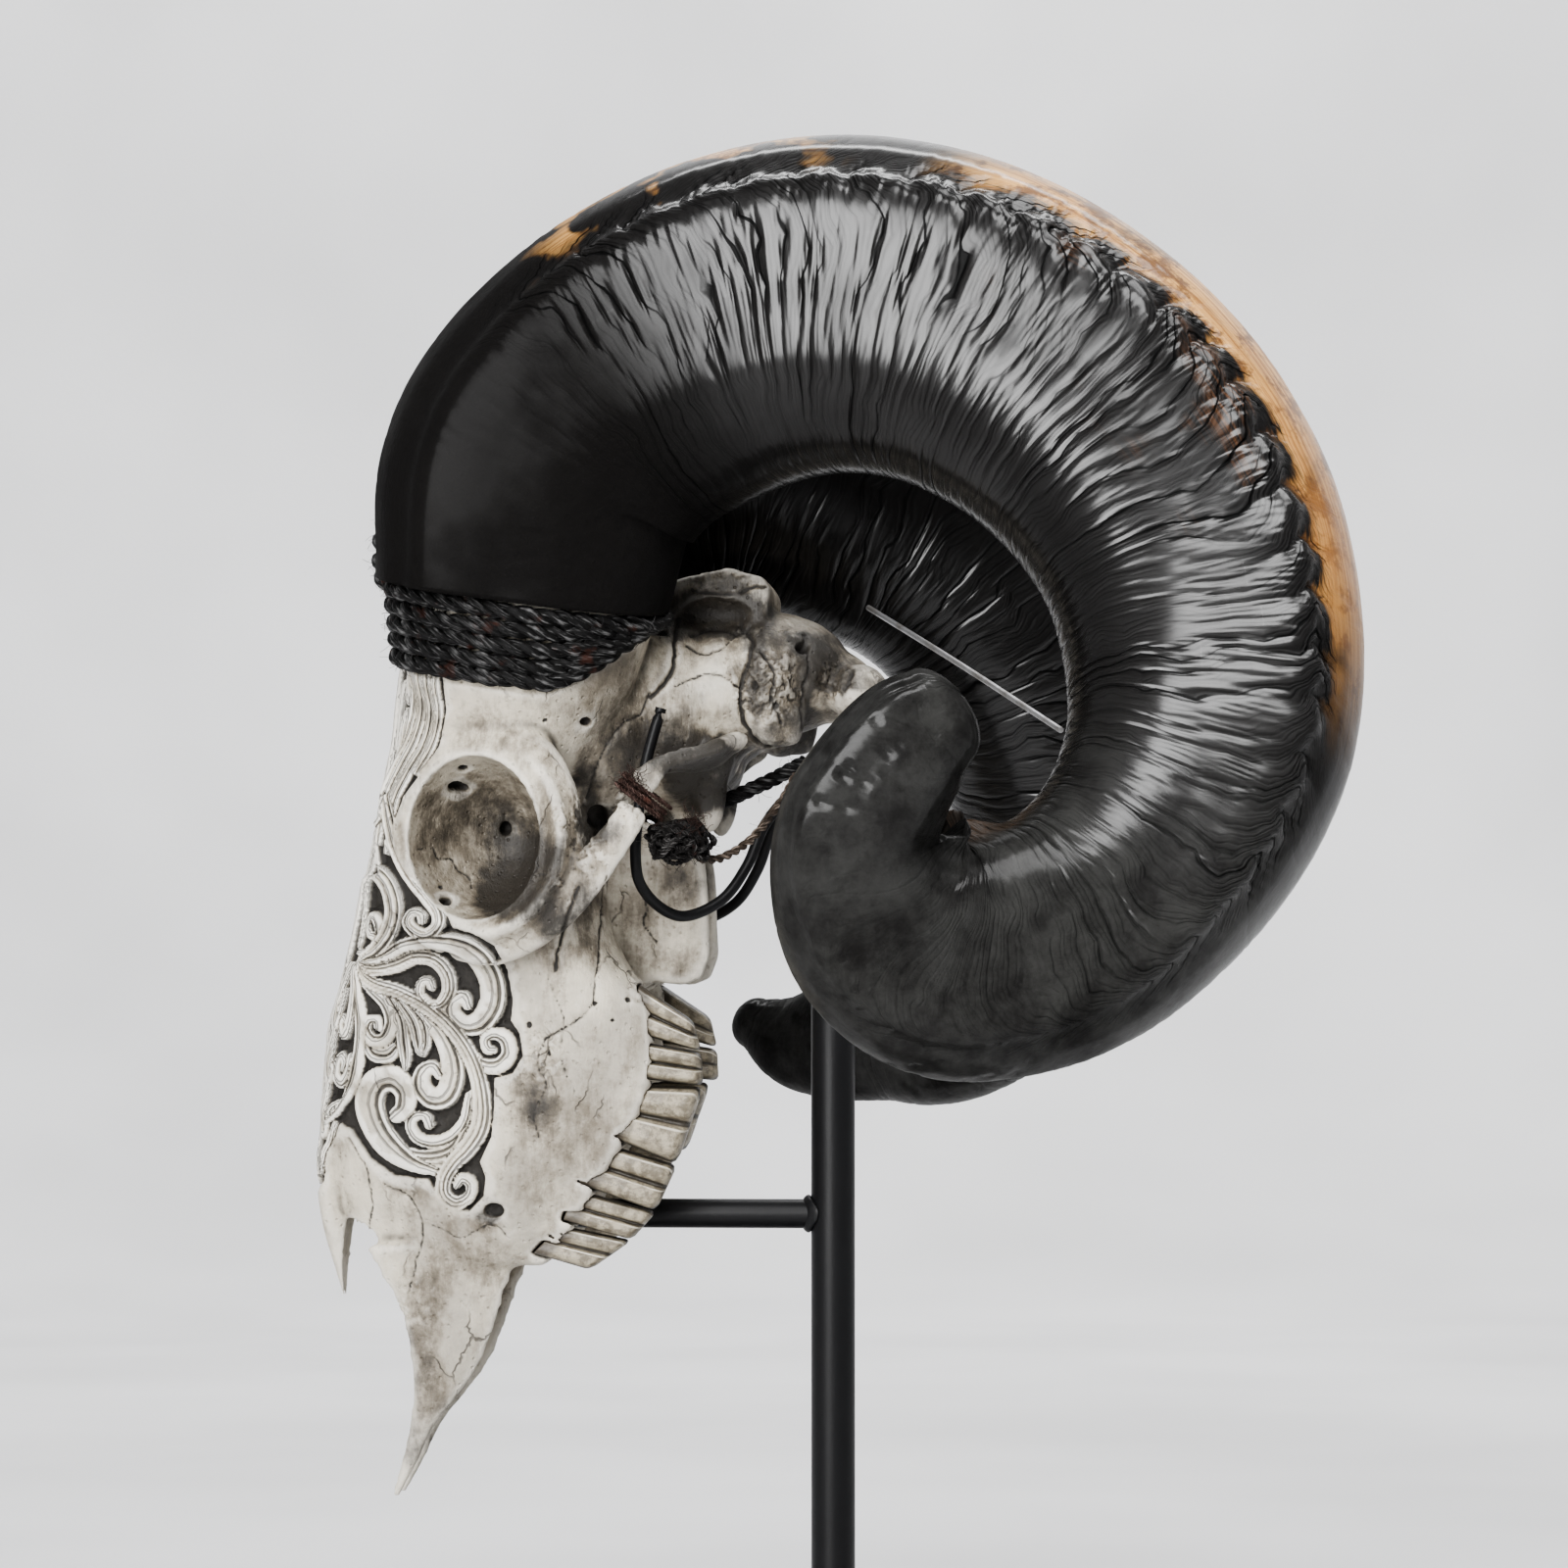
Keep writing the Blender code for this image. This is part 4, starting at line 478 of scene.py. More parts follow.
# Patches where the bone is darker or, below 0, brighter, which hold stains, painted shade in recesses and painted
# highlights: plan place, half widths, strength
TONE_PATCHES = [
    (720, 720, 190, 150, 0.4), (560, 900, 60, 120, 0.2), (650, 940, 70, 70, 0.15), (470, 860, 90, 110, 0.1),
    (735, 628, 46, 24, 0.95), (690, 640, 14, 22, 0.5), (735, 592, 44, 10, 0.25), (640, 760, 34, 46, 0.35),
    (724, 702, 26, 22, -0.75), (735, 738, 24, 12, -0.3), (770, 690, 9, 46, 0.45), (822, 690, 7, 48, 0.6),
    (846, 694, 26, 18, 0.5), (850, 714, 40, 10, -0.7), (820, 635, 30, 12, -0.25), (800, 775, 50, 12, 0.8),
    (722, 792, 26, 34, 0.95), (744, 806, 6, 36, 0.55), (695, 795, 12, 26, 0.35), (606, 838, 16, 16, 0.9),
    (620, 885, 40, 26, -0.3), (650, 822, 18, 14, -0.7), (560, 735, 34, 24, -0.2), (610, 700, 26, 18, -0.1),
    (490, 860, 60, 70, 0.68), (554, 885, 22, 32, 0.6), (468, 890, 20, 40, -0.3), (520, 920, 30, 24, 0.35),
    (600, 930, 16, 70, 0.3), (566, 960, 20, 50, 0.35), (660, 920, 40, 60, 0.15), (700, 985, 20, 18, 0.35),
    (545, 1110, 30, 40, 0.55), (570, 1160, 60, 50, 0.35), (620, 1010, 40, 30, -0.15), (640, 1060, 30, 60, -0.1),
    (590, 1250, 50, 26, 0.25), (500, 1240, 18, 14, 0.8), (536, 1256, 20, 20, -0.45), (480, 1290, 50, 40, 0.3),
    (430, 1350, 26, 60, 0.5), (440, 1440, 26, 60, 0.52), (412, 1480, 14, 30, 0.45), (470, 1360, 20, 60, -0.25),
    (345, 1240, 14, 40, 0.4), (350, 1290, 10, 26, 0.5), (372, 1240, 14, 34, -0.3), (408, 1210, 34, 12, 0.4),
    (540, 1000, 16, 50, -0.35), (455, 735, 22, 26, -0.3), (505, 745, 70, 26, 0.38), (440, 800, 12, 40, 0.2),
    (700, 900, 26, 30, 0.45), (650, 960, 30, 30, 0.15), (575, 780, 12, 34, -0.35), (600, 800, 14, 34, 0.5),
    (795, 700, 70, 80, 0.55), (735, 612, 56, 34, 0.45), (880, 680, 50, 50, 0.5), (712, 795, 34, 42, 0.6),
    (605, 870, 34, 50, 0.35), (700, 760, 50, 40, 0.35), (540, 930, 70, 26, 0.25), (420, 860, 20, 90, 0.25),
    (630, 850, 30, 26, 0.3), (560, 870, 24, 60, 0.22), (760, 700, 60, 60, -0.3), (890, 680, 50, 30, -0.2),
]

# Horns
HORN_RINGS = 1280
HORN_SIDES = 76
RIGHT_HORN_RINGS = 900
RIGHT_HORN_SIDES = 64
KEEL_MIDDLE = 2.5  # places and widths on the section, counted in its points
KEEL_WIDTH = 0.55
FLANGE_MIDDLE = 8.5
FLANGE_WIDTH = 0.95
HORN_TIP_RINGS = 12

# Teeth
TOOTH_SIDES = 72
TOOTH_RINGS = 34
TOOTH_TIP = 0.0022
TOOTH_LOBES = (0.27, 0.76)  # places along the row
TOOTH_RIDGES = (0.08, 0.58)
TOOTH_GROOVES = (-0.02, 0.49, 1.02)
TOOTH_FLUTING = 0.16  # share of the half width

# Make of the ties
ROPE_POINTS = 144  # along one turn
ROPE_TURN_SHARE = 0.995  # of a full circle, so that its ends do not meet
CROSSING_STRANDS = 4
KNOT_LOOPS = 24
LOOP_POINTS = 36
LOOP_SHARE = 0.99
STRING_TURNS = 5
STRING_POINTS = 150
FIBRE_POINTS = 10
ROD_END_RINGS = 8
# Frayed ends of the arch string: middle, count, length, seed, way that they lean
FRAYED_ENDS = [
    ((0.0655, -0.0475, 0.2755), 46, 0.0075, 31, (0.6, -0.5, 0.9)),
    ((0.056, -0.033, 0.2655), 40, 0.008, 33, (0.5, 0.2, 0.2)),
]
# Twist of a cord: strands, strand radius, winding radius, length of a turn, step, sides
THIN_TWIST = (2, 0.0003, 0.00026, 0.0022, 0.0002, 6)
KNOT_TWIST = (2, 0.00038, 0.00034, 0.0026, 0.0003, 6)
BROWN_TWIST = (2, 0.00066, 0.0006, 0.0062, 0.0004, 8)
BLACK_TWIST = (3, 0.00112, 0.00108, 0.0085, 0.0006, 8)
SINGLE_HAIR = (1, 0.00007, 0.0, 0.01, 0.0004, 4)

# Studio
LIGHT_SPREAD = math.radians(120)
SWEEP_FLOOR = 1.9  # radius of the flat floor
SWEEP_RADIUS = 0.9
SWEEP_TOP = 3.2
SWEEP_SIDES = 96
SWEEP_CURVE_RINGS = 24
SWEEP_FLOOR_RINGS = 6
# Lights: name, place, width and height, watts, aim
STUDIO_LIGHTS = [
    ("strip_light", (1.22, -0.42, 0.47), (0.58, 0.72), 9.5, (0.06, 0.05, 0.34)),
    ("key_light", (1.0, 0.1, 1.15), (0.5, 0.4), 4.5, (0.05, 0.0, 0.33)),
    ("top_light", (0.3, 0.4, 1.35), (0.7, 0.6), 5.8, (0.0, 0.0, 0.33)),
    ("backdrop_light", (-1.3, 0.0, 2.5), (2.2, 0.9), 85.0, (-2.8, 0.0, 0.4)),
]


class Value:
    """A node's socket that takes part in sums."""

    def __init__(self, graph, socket):
        self.graph = graph
        self.socket = socket

    def __add__(self, other):
        return self.graph.math("ADD", self, other)

    def __radd__(self, other):
        return self.graph.math("ADD", other, self)

    def __sub__(self, other):
        return self.graph.math("SUBTRACT", self, other)

    def __rsub__(self, other):
        return self.graph.math("SUBTRACT", other, self)

    def __mul__(self, other):
        return self.graph.math("MULTIPLY", self, other)

    def __rmul__(self, other):
        return self.graph.math("MULTIPLY", other, self)

    def __truediv__(self, other):
        return self.graph.math("DIVIDE", self, other)

    def __pow__(self, other):
        return self.graph.math("POWER", self, other)

    def __rpow__(self, other):
        return self.graph.math("POWER", other, self)


class Graph:
    """Builds the nodes of a material or of a geometry tree."""

    def __init__(self, tree):
        self.tree = tree

    def node(self, kind, settings=None, sockets=None, out=0):
        """A node with its settings made first, then the values or links of its sockets."""
        made = self.tree.nodes.new(kind)
        for key, value in (settings or {}).items():
            setattr(made, key, value)
        for key, value in (sockets or {}).items():
            self.feed(self.find(made.inputs, key), value)
        return Value(self, self.find(made.outputs, out))

    def feed(self, socket, value):
        if isinstance(value, Value):
            self.tree.links.new(value.socket, socket)
        else:
            socket.default_value = value

    def find(self, sockets, key):
        if isinstance(key, int):
            return sockets[key]
        for socket in sockets:
            if key in (socket.identifier, socket.name):
                return socket
        raise KeyError(key)

    def other_output(self, value, key):
        """Another output of the node that a value comes from."""
        return Value(self, self.find(value.socket.node.outputs, key))

    def math(self, operation, *values):
        return self.node("ShaderNodeMath", {"operation": operation}, dict(enumerate(values)))

    def vector(self, operation, *values):
        sockets = dict(enumerate(values))
        if operation == "SCALE":
            sockets = {0: values[0], "Scale": values[1]}
        return self.node("ShaderNodeVectorMath", {"operation": operation}, sockets)

    def step(self, value, low, high):
        """0 below low and 1 above high, with a soft step between them."""
        settings = {"interpolation_type": "SMOOTHSTEP"}
        sockets = {"Value": value, "From Min": low, "From Max": high, "To Min": 0.0, "To Max": 1.0}
        return self.node("ShaderNodeMapRange", settings, sockets)

    def noise(self, place, scale, detail=3.0, roughness=0.5):
        sockets = {"Vector": place, "Scale": scale, "Detail": detail, "Roughness": roughness}
        return self.node("ShaderNodeTexNoise", None, sockets)

    def streaks(self, place, scales, detail, roughness=0.5):
        """Noise with a scale of its own along each axis."""
        return self.noise(self.vector("MULTIPLY", place, scales), 1.0, detail, roughness)

    def chance(self, seed):
        return self.node("ShaderNodeTexWhiteNoise", {"noise_dimensions": "1D"}, {"W": seed}, "Value")

    def cells(self, place, scale, feature="F1"):
        return self.node("ShaderNodeTexVoronoi", {"feature": feature}, {"Vector": place, "Scale": scale})

    def mixed(self, share, low, high):
        """A colour part of the way between two."""
        sockets = {"Factor_Float": share, "A_Color": self.whole(low), "B_Color": self.whole(high)}
        return self.node("ShaderNodeMix", {"data_type": "RGBA"}, sockets, "Result_Color")

    def whole(self, colour):
        return colour if isinstance(colour, Value) else (*colour, 1.0)


class Look(Graph):
    """A material with one Principled shader."""

    def __init__(self, name):
        self.material = bpy.data.materials.new(name)
        self.material.use_nodes = True
        super().__init__(self.material.node_tree)
        self.shader = self.tree.nodes["Principled BSDF"]
        self.place = self.node("ShaderNodeTexCoord", out="Object")

    def attribute(self, name, out="Fac"):
        return self.node("ShaderNodeAttribute", {"attribute_name": name}, None, out)

    def attributes(self, *names):
        return [self.attribute(name) for name in names]

    def clouds(self, *numbers):
        """Noise in the piece's own space: its scale, detail and roughness."""
        return self.noise(self.place, *numbers)

    def finish(self, bump, bump_height, **sockets):
        """Feeds the shader's sockets by name, with _ for a space, and its normal from a bump."""
        for key, value in sockets.items():
            self.feed(self.shader.inputs[key.replace("_", " ")], value)
        sockets = {"Height": bump, "Distance": bump_height, "Strength": 1.0}
        self.feed(self.shader.inputs["Normal"], self.node("ShaderNodeBump", None, sockets))
        return self.material


class Growth(Graph):
    """A geometry tree with named inputs, which is used on a piece by a modifier."""

    def __init__(self, name):
        super().__init__(bpy.data.node_groups.new(name, "GeometryNodeTree"))
        self.tree.interface.new_socket("Geometry", in_out="INPUT", socket_type="NodeSocketGeometry")
        self.tree.interface.new_socket("Geometry", in_out="OUTPUT", socket_type="NodeSocketGeometry")
        self.group_in = self.tree.nodes.new("NodeGroupInput")
        self.shape = Value(self, self.group_in.outputs["Geometry"])

    def setting(self, name, kind, default=None):
        made = self.tree.interface.new_socket(name, in_out="INPUT", socket_type=f"NodeSocket{kind}")
        if default is not None:
            made.default_value = default
        return Value(self, self.group_in.outputs[name])

    def named(self, name, kind="FLOAT"):
        return self.node("GeometryNodeInputNamedAttribute", {"data_type": kind}, {"Name": name}, "Attribute")

    def stored(self, shape, name, value):
        settings = {"data_type": "FLOAT", "domain": "POINT"}
        sockets = {"Geometry": shape, "Name": name, "Value": value}
        return self.node("GeometryNodeStoreNamedAttribute", settings, sockets)

    def only(self, kind, shape):
        """A node of which only the geometry input is fed."""
        return self.node(f"GeometryNode{kind}", None, {0: shape})

    def moved(self, shape, offset):
        return self.node("GeometryNodeSetPosition", None, {"Geometry": shape, "Offset": offset})

    def end(self, shape, material):
        """Ends the tree in real faces with their material."""
        shape = self.only("RealizeInstances", shape)
        shape = self.node("GeometryNodeSetMaterial", None, {"Geometry": shape, "Material": material})
        self.feed(self.tree.nodes.new("NodeGroupOutput").inputs[0], shape)
        return self.tree

    def circle(self, sides, radius):
        sockets = {"Resolution": sides, "Radius": radius}
        return self.node("GeometryNodeCurvePrimitiveCircle", {"mode": "RADIUS"}, sockets)

    def tube(self, curve, profile):
        sockets = {"Curve": curve, "Profile Curve": profile, "Fill Caps": True}
        return self.node("GeometryNodeCurveToMesh", None, sockets)


def grow(piece, tree, **settings):
    """Puts a geometry tree on a piece, with its inputs set before the piece is evaluated."""
    modifier = piece.modifiers.new(tree.name, "NODES")
    modifier.node_group = tree
    for item in tree.interface.items_tree:
        key = item.name.replace(" ", "_").lower()
        if item.in_out == "INPUT" and key in settings:
            modifier[item.identifier] = settings[key]


def linked(name, data):
    made = bpy.data.objects.new(name, data)
    bpy.context.scene.collection.objects.link(made)
    return made


def hardened(piece):
    """The same piece with its modifiers turned into a plain mesh."""
    bpy.context.view_layer.update()
    graph = bpy.context.evaluated_depsgraph_get()
    mesh = bpy.data.meshes.new_from_object(piece.evaluated_get(graph))
    piece.modifiers.clear()
    old, piece.data = piece.data, mesh
    mesh.name = piece.name
    bpy.data.meshes.remove(old)
    return piece


def finished(piece, slot, *nodes):
    """Puts a piece on the only body, in place of the nodes that it stands for."""
    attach(piece, "root")
    if nodes:
        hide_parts(*nodes)


def smooth_through(rows, steps):
    """A smooth curve through rows of numbers, with steps new rows for each gap."""
    rows = np.array(rows, float)
    first = 2 * rows[0] - rows[1]
    last = 2 * rows[-1] - rows[-2]
    p = np.vstack([first, rows, last])
    out = []
    for i in range(1, len(p) - 2):
        for k in range(steps):
            t = k / steps
            out.append(
                0.5
                * (
                    2 * p[i]
                    + (p[i + 1] - p[i - 1]) * t
                    + (2 * p[i - 1] - 5 * p[i] + 4 * p[i + 1] - p[i + 2]) * t * t
                    + (3 * p[i] - 3 * p[i + 1] + p[i + 2] - p[i - 1]) * t**3
                )
            )
    out.append(rows[-1])
    return np.array(out)


def unit(rows):
    """Each row made one long."""
    return rows / np.linalg.norm(rows, axis=1)[:, None]


def bell(value, middle, width):
    return np.exp(-(((value - middle) / width) ** 2))


def angles(count):
    """Even angles round a full turn."""
    return [2 * math.pi * k / count for k in range(count)]


def joined_rings(shape, rings, closed=False):
    """The vertices of rings of equal count, and the faces between each ring and the next."""
    verts = [[shape.verts.new(point) for point in ring] for ring in rings]
    faces = []
    for low, high in zip(verts, verts[1:] + (verts[:1] if closed else [])):
        for i in range(len(low)):
            j = (i + 1) % len(low)
            faces.append(shape.faces.new((low[i], low[j], high[j], high[i])))
    return verts, faces


def skin_rings(shape, rings):
    """Joins rings of equal count into one closed body with both ends capped."""
    verts, faces = joined_rings(shape, rings)
    faces.append(shape.faces.new(verts[0][::-1]))
    faces.append(shape.faces.new(verts[-1]))
    bmesh.ops.recalc_face_normals(shape, faces=faces)


def half_outline_ring(half, height):
    """A level ring from the points of its left half, which start and end on the middle plane."""
    half = smooth_through(half, 2)
    left = [(x, y, height) for x, y in half]
    right = [(-x, y, height) for x, y in half[-2:0:-1]]
    return left + right


def face_ring(level):
    height, front, back, nose, cheek, teeth = level
    depth = back - front
    half = [(0.0, front)]
    for kind, amount, share in FACE_OUTLINE:
        if kind == "nose":
            x = nose * amount
        elif kind == "side":
            x = nose + (cheek - nose) * amount
        else:
            x = teeth - amount
        half.append((max(x, 0.004), front + depth * share))
    half.append((0.0, front + depth * PALATE_DEPTH))
    return half_outline_ring(half, height)


def brow_ring(level):
    height, front, back, at_front, at_middle, at_back = level
    depth = back - front
    half = [(0.0, front)]
    for kind, amount, share in BROW_OUTLINE:
        if kind == "front":
            x = at_front * amount
        elif kind == "middle":
            x = at_front + (at_middle - at_front) * amount
        else:
            x = at_middle + (at_back - at_middle) * amount
        half.append((x, front + depth * share))
    half.append((0.0, back))
    return half_outline_ring(half, height)


def boxed(share):
    """A sine or cosine pushed towards its ends, which makes a circle into a rounded box."""
    return math.copysign(abs(share) ** (2 / BOX_POWER), share)


def nose_bone_ring(level):
    height, front, back, half_width = level
    middle, half_depth = (front + back) / 2, (back - front) / 2
    return [
        (half_width * boxed(math.cos(turn)), middle + half_depth * boxed(math.sin(turn)), height)
        for turn in angles(NOSE_BONE_SIDES)
    ]


def add_levels(shape, rows, ring_of):
    skin_rings(shape, [ring_of(row) for row in smooth_through(rows, LEVEL_STEPS)])


def add_ball(shape, centre, radii, side=1, turn=0.0, segments=20):
    place = Matrix.Translation((centre[0] * side, centre[1], centre[2]))
    place @= Matrix.Rotation(turn * side, 4, "Z")
    place @= Matrix.Diagonal((*radii, 1.0))
    bmesh.ops.create_uvsphere(shape, u_segments=segments, v_segments=segments // 2, radius=1.0, matrix=place)


def add_bar(shape, route, side=1):
    """A bar with an oval section that changes along its route."""
    rows = smooth_through([(*point, *radii) for point, radii in route], LEVEL_STEPS)
    rows[:, 0] *= side
    ahead = unit(np.gradient(rows[:, :3], axis=0))
    sideways = np.array((1.0, 0.0, 0.0))
    across = unit(sideways - ahead * (ahead @ sideways)[:, None])
    rings = []
    for row, u, v in zip(rows, across, np.cross(ahead, across)):
        rings.append([
            row[:3] + u * row[3] * math.cos(turn) + v * row[4] * math.sin(turn) for turn in angles(BAR_SIDES)
        ])
    skin_rings(shape, rings)


def orbit_point(angle, side):
    return (
        side * (ORBIT_CENTRE[0] + ORBIT_SKEW * math.cos(angle) - 0.002 * math.sin(angle)),
        ORBIT_CENTRE[1] + ORBIT_RIM[0] * math.cos(angle),
        ORBIT_CENTRE[2] + ORBIT_RIM[1] * math.sin(angle),
    )


def add_orbit_rim(shape, side):
    """A closed ring of bone round the eye socket."""
    centre = Vector((side * ORBIT_CENTRE[0], *ORBIT_CENTRE[1:]))
    outwards = Vector((side, 0.0, 0.0))
    thin, thick = ORBIT_RIM_THICKNESS
    rings = []
    for place in angles(ORBIT_RIM_RINGS):
        point = Vector(orbit_point(place, side))
        away = (point - centre).normalized()
        thickness = thin + (thick - thin) * (0.5 + 0.5 * away.y)
        ring = []
        for turn in angles(ORBIT_RIM_SIDES):
            offset = away * (math.cos(turn) + ORBIT_RIM_OFFSET)
            offset += outwards * ORBIT_RIM_STRETCH * math.sin(turn)
            ring.append(point + offset * thickness)
        rings.append(ring)
    bmesh.ops.recalc_face_normals(shape, faces=joined_rings(shape, rings, True)[1])


def add_plate(shape, outline, inner, outer, side=1):
    """A flat plate of bone with its outline in side view."""
    skin_rings(shape, [[(x * side, y, z) for y, z in outline] for x in (inner, outer)])


def seat_frame(side):
    """Middle, axis, across and along directions of a horn seat."""
    centre = Vector((SEAT_CENTRE[0] * side, *SEAT_CENTRE[1:]))
    along = Vector((0.0, math.cos(SEAT_TILT), -math.sin(SEAT_TILT)))
    upright = Vector((0.0, math.sin(SEAT_TILT), math.cos(SEAT_TILT)))
    axis = upright * math.cos(SEAT_SPLAY) + Vector((side * math.sin(SEAT_SPLAY), 0.0, 0.0))
    across = Vector((math.cos(SEAT_SPLAY), 0.0, 0.0)) - upright * (side * math.sin(SEAT_SPLAY))
    return centre, axis, across, along


def pedicle_radii(height, grow=0.0):
    """The bony stub's radii at a height from the middle of the rope band."""
    share = (height + ROPE_HALF_HEIGHT) / (2 * ROPE_HALF_HEIGHT)
    low, high = np.array(PEDICLE_LOW), np.array(PEDICLE_HIGH)
    return low + (high - low) * share + grow


def add_pedicle(shape, side):
    """The bony stub of a horn, which widens from the forehead to the horn's foot."""
    centre, axis, across, along = seat_frame(side)
    rings = []
    for height in (-PEDICLE_ROOT, -ROPE_HALF_HEIGHT, ROPE_HALF_HEIGHT):
        radii = pedicle_radii(height, SEAT_CUT)
        if height < -ROPE_HALF_HEIGHT:
            radii = radii * PEDICLE_ROOT_SHARE
        ring = []
        for turn in angles(PEDICLE_SIDES):
            offset = across * radii[0] * math.cos(turn) + along * radii[1] * math.sin(turn)
            ring.append(centre + axis * height + offset)
        rings.append(ring)
    skin_rings(shape, rings)


def jaw_blade_ring(row, side):
    height, front, back, outer, thick = row
    ring = []
    for turn in angles(BAR_SIDES):
        x = outer - thick / 2 + thick / 2 * math.cos(turn)
        y = (front + back) / 2 + (back - front) / 2 * math.sin(turn)
        ring.append((x * side, y, height))
    return ring


def skull_masses():
    """All the overlapping forms of the skull, before they are fused."""
    shape = bmesh.new()
    add_levels(shape, FACE_LEVELS, face_ring)
    add_levels(shape, BROW_LEVELS, brow_ring)
    add_levels(shape, NOSE_BONE_LEVELS, nose_bone_ring)
    add_plate(shape, NUCHAL_SLAB, -NUCHAL_HALF_WIDTH, NUCHAL_HALF_WIDTH)
    add_bar(shape, SKULL_FLOOR)
    for centre, radii, paired in MASSES:
        for side in (1, -1) if paired else (1,):
            add_ball(shape, centre, radii, side)
    for side in (1, -1):
        add_levels(shape, JAW_BLADE_LEVELS, lambda row: jaw_blade_ring(row, side))
        for route in (CHEEK_BAR, ARCH_SHELL, JOINT_ROOF):
            add_bar(shape, route, side)
        add_ball(shape, *ORBIT_SURROUND, side, ORBIT_HOLLOW_TURN, segments=32)
        add_bar(shape, EAR_SPUR, side)
        add_orbit_rim(shape, side)
        add_plate(shape, PALATE_PLATE, *PALATE_PLATE_FACES, side)
        add_pedicle(shape, side)
    return shape


def soft_cutters():
    """Hollows whose edges are rounded: the orbits, the nose opening and the neck hole."""
    shape = bmesh.new()
    add_ball(shape, *NOSE_OPENING)
    add_ball(shape, *NECK_HOLE)
    for side in (1, -1):
        centre = Vector(ORBIT_CENTRE) + Vector(ORBIT_HOLLOW_SHIFT)
        add_ball(shape, centre, ORBIT_HOLLOW, side, ORBIT_HOLLOW_TURN, segments=28)
        add_ball(shape, *CHEEK_HOLE, side, segments=12)
        add_ball(shape, *NUCHAL_HOLLOW, side)
    return shape


def largest_body(piece):
    """Removes any loose crumb that fusing the forms leaves behind."""
    shape = bmesh.new()
    shape.from_mesh(piece.data)
    unseen = set(shape.verts)
    bodies = []
    while unseen:
        todo = [unseen.pop()]
        body = []
        while todo:
            vert = todo.pop()
            body.append(vert)
            for edge in vert.link_edges:
                other = edge.other_vert(vert)
                if other in unseen:
                    unseen.discard(other)
                    todo.append(other)
        bodies.append(body)
    bodies.sort(key=len)
    for body in bodies[:-1]:
        bmesh.ops.delete(shape, geom=body, context="VERTS")
    shape.to_mesh(piece.data)
    shape.free()


def rope_low(angle):
    """Height of the rope band's lower edge, which rises to the upper edge at the back."""
    rear = max(0.0, (math.sin(angle) - ROPE_RISE_START) / (1.0 - ROPE_RISE_START))
    return ROPE_HALF_HEIGHT * (2 * ROPE_REAR_RISE * rear**1.5 - 1.0)


def rope_seat(side):
    """The space round a pedicle that the rope and the horn's foot take up."""
    clear = ROPE_THICKNESS + SEAT_SIDE_CLEARANCE
    centre, axis, across, along = seat_frame(side)
    rings = []
    for turn in angles(SEAT_SIDES):
        low, high, top = rope_low(turn) - SEAT_CUT, ROPE_HALF_HEIGHT, SEAT_TOP
        profile = [
            (pedicle_radii(low, clear), low),
            (pedicle_radii(high, clear), high),
            (pedicle_radii(high, clear), top),
            ((0.0, 0.0), top),
            ((0.0, 0.0), high),
            (pedicle_radii(high), high),
            (pedicle_radii(low), low),
        ]
        ring = []
        for radii, height in profile:
            offset = across * float(radii[0]) * math.cos(turn) + along * float(radii[1]) * math.sin(turn)
            ring.append(centre + axis * height + offset)
        rings.append(ring)
    shape = bmesh.new()
    joined_rings(shape, rings, True)
    bmesh.ops.remove_doubles(shape, verts=shape.verts[:], dist=0.0001)
    bmesh.ops.recalc_face_normals(shape, faces=shape.faces[:])
    return shape


def tooth_frame(number, side):
    """Both ends of a tooth's gum line, crown and root, the way along its row, and its crown's share."""
    gum = [Vector((0, *GUM_LINE[5 - number])), Vector((0, *GUM_LINE[6 - number]))]
    crown = [Vector((0, *CROWN_LINE[5 - number])), Vector((0, *CROWN_LINE[6 - number]))]
    roots = [foot - (head - foot).normalized() * TOOTH_ROOT for foot, head in zip(gum, crown)]
    middle = (roots[0] + roots[1]) / 2
    roots = [middle + (point - middle) * TOOTH_ROOT_SHARE for point in roots]
    length = 1.0 if side > 0 else RIGHT_CROWN_SHARES[5 - number]
    return gum, crown, roots, (gum[1] - gum[0]).normalized(), length


def socket_shape(number, side, grow):
    """The space of a tooth in the jaw, grown by a gap all round."""
    gum, crown, roots, row, length = tooth_frame(number, side)
    trim = TOOTH_SPACING / 2 - grow
    middle_x = TOOTH_MIDDLE_X[5 - number]
    half_width = TOOTH_HALF_WIDTH[5 - number] + grow
    shape = bmesh.new()
    rings = []
    for share, width in TOOTH_WIDTHS:
        a = roots[0].lerp(crown[0], share * length) + row * trim
        b = roots[1].lerp(crown[1], share * length) - row * trim
        if share == 0.0:
            out = (crown[0] - gum[0]).normalized() * grow
            a -= out
            b -= out
        ring = []
        for along, across in TOOTH_SECTION:
            point = a.lerp(b, along)
            x = middle_x + across * half_width * width
            ring.append((x * side, point.y, point.z))
        rings.append(ring)
    skin_rings(shape, rings)
    return shape


def smooth_noise(points, step, seed, octaves):
    """Soft noise from -1 to 1 at each point, with forms about as large as step."""
    total = np.zeros(len(points))
    weight, reach = 0.0, 1.0
    for octave in range(octaves):
        grid = np.random.default_rng(seed + octave).random((LATTICE_SIZE,) * 3)
        place = points * (2**octave / step) + 0.37 * octave
        low = np.floor(place).astype(int)
        share = place - low
        share = share * share * (3 - 2 * share)
        value = np.zeros(len(points))
        for corner in range(8):
            bits = np.array([corner & 1, corner >> 1 & 1, corner >> 2])
            part = np.where(bits, share, 1 - share).prod(axis=1)
            value += part * grid[tuple(((low + bits) % LATTICE_SIZE).T)]
        total += reach * (2 * value - 1)
        weight += reach
        reach *= 0.5
    return total / weight


def soft_step(value, low, high):
    share = np.clip((value - low) / (high - low), 0.0, 1.0)
    return share * share * (3 - 2 * share)


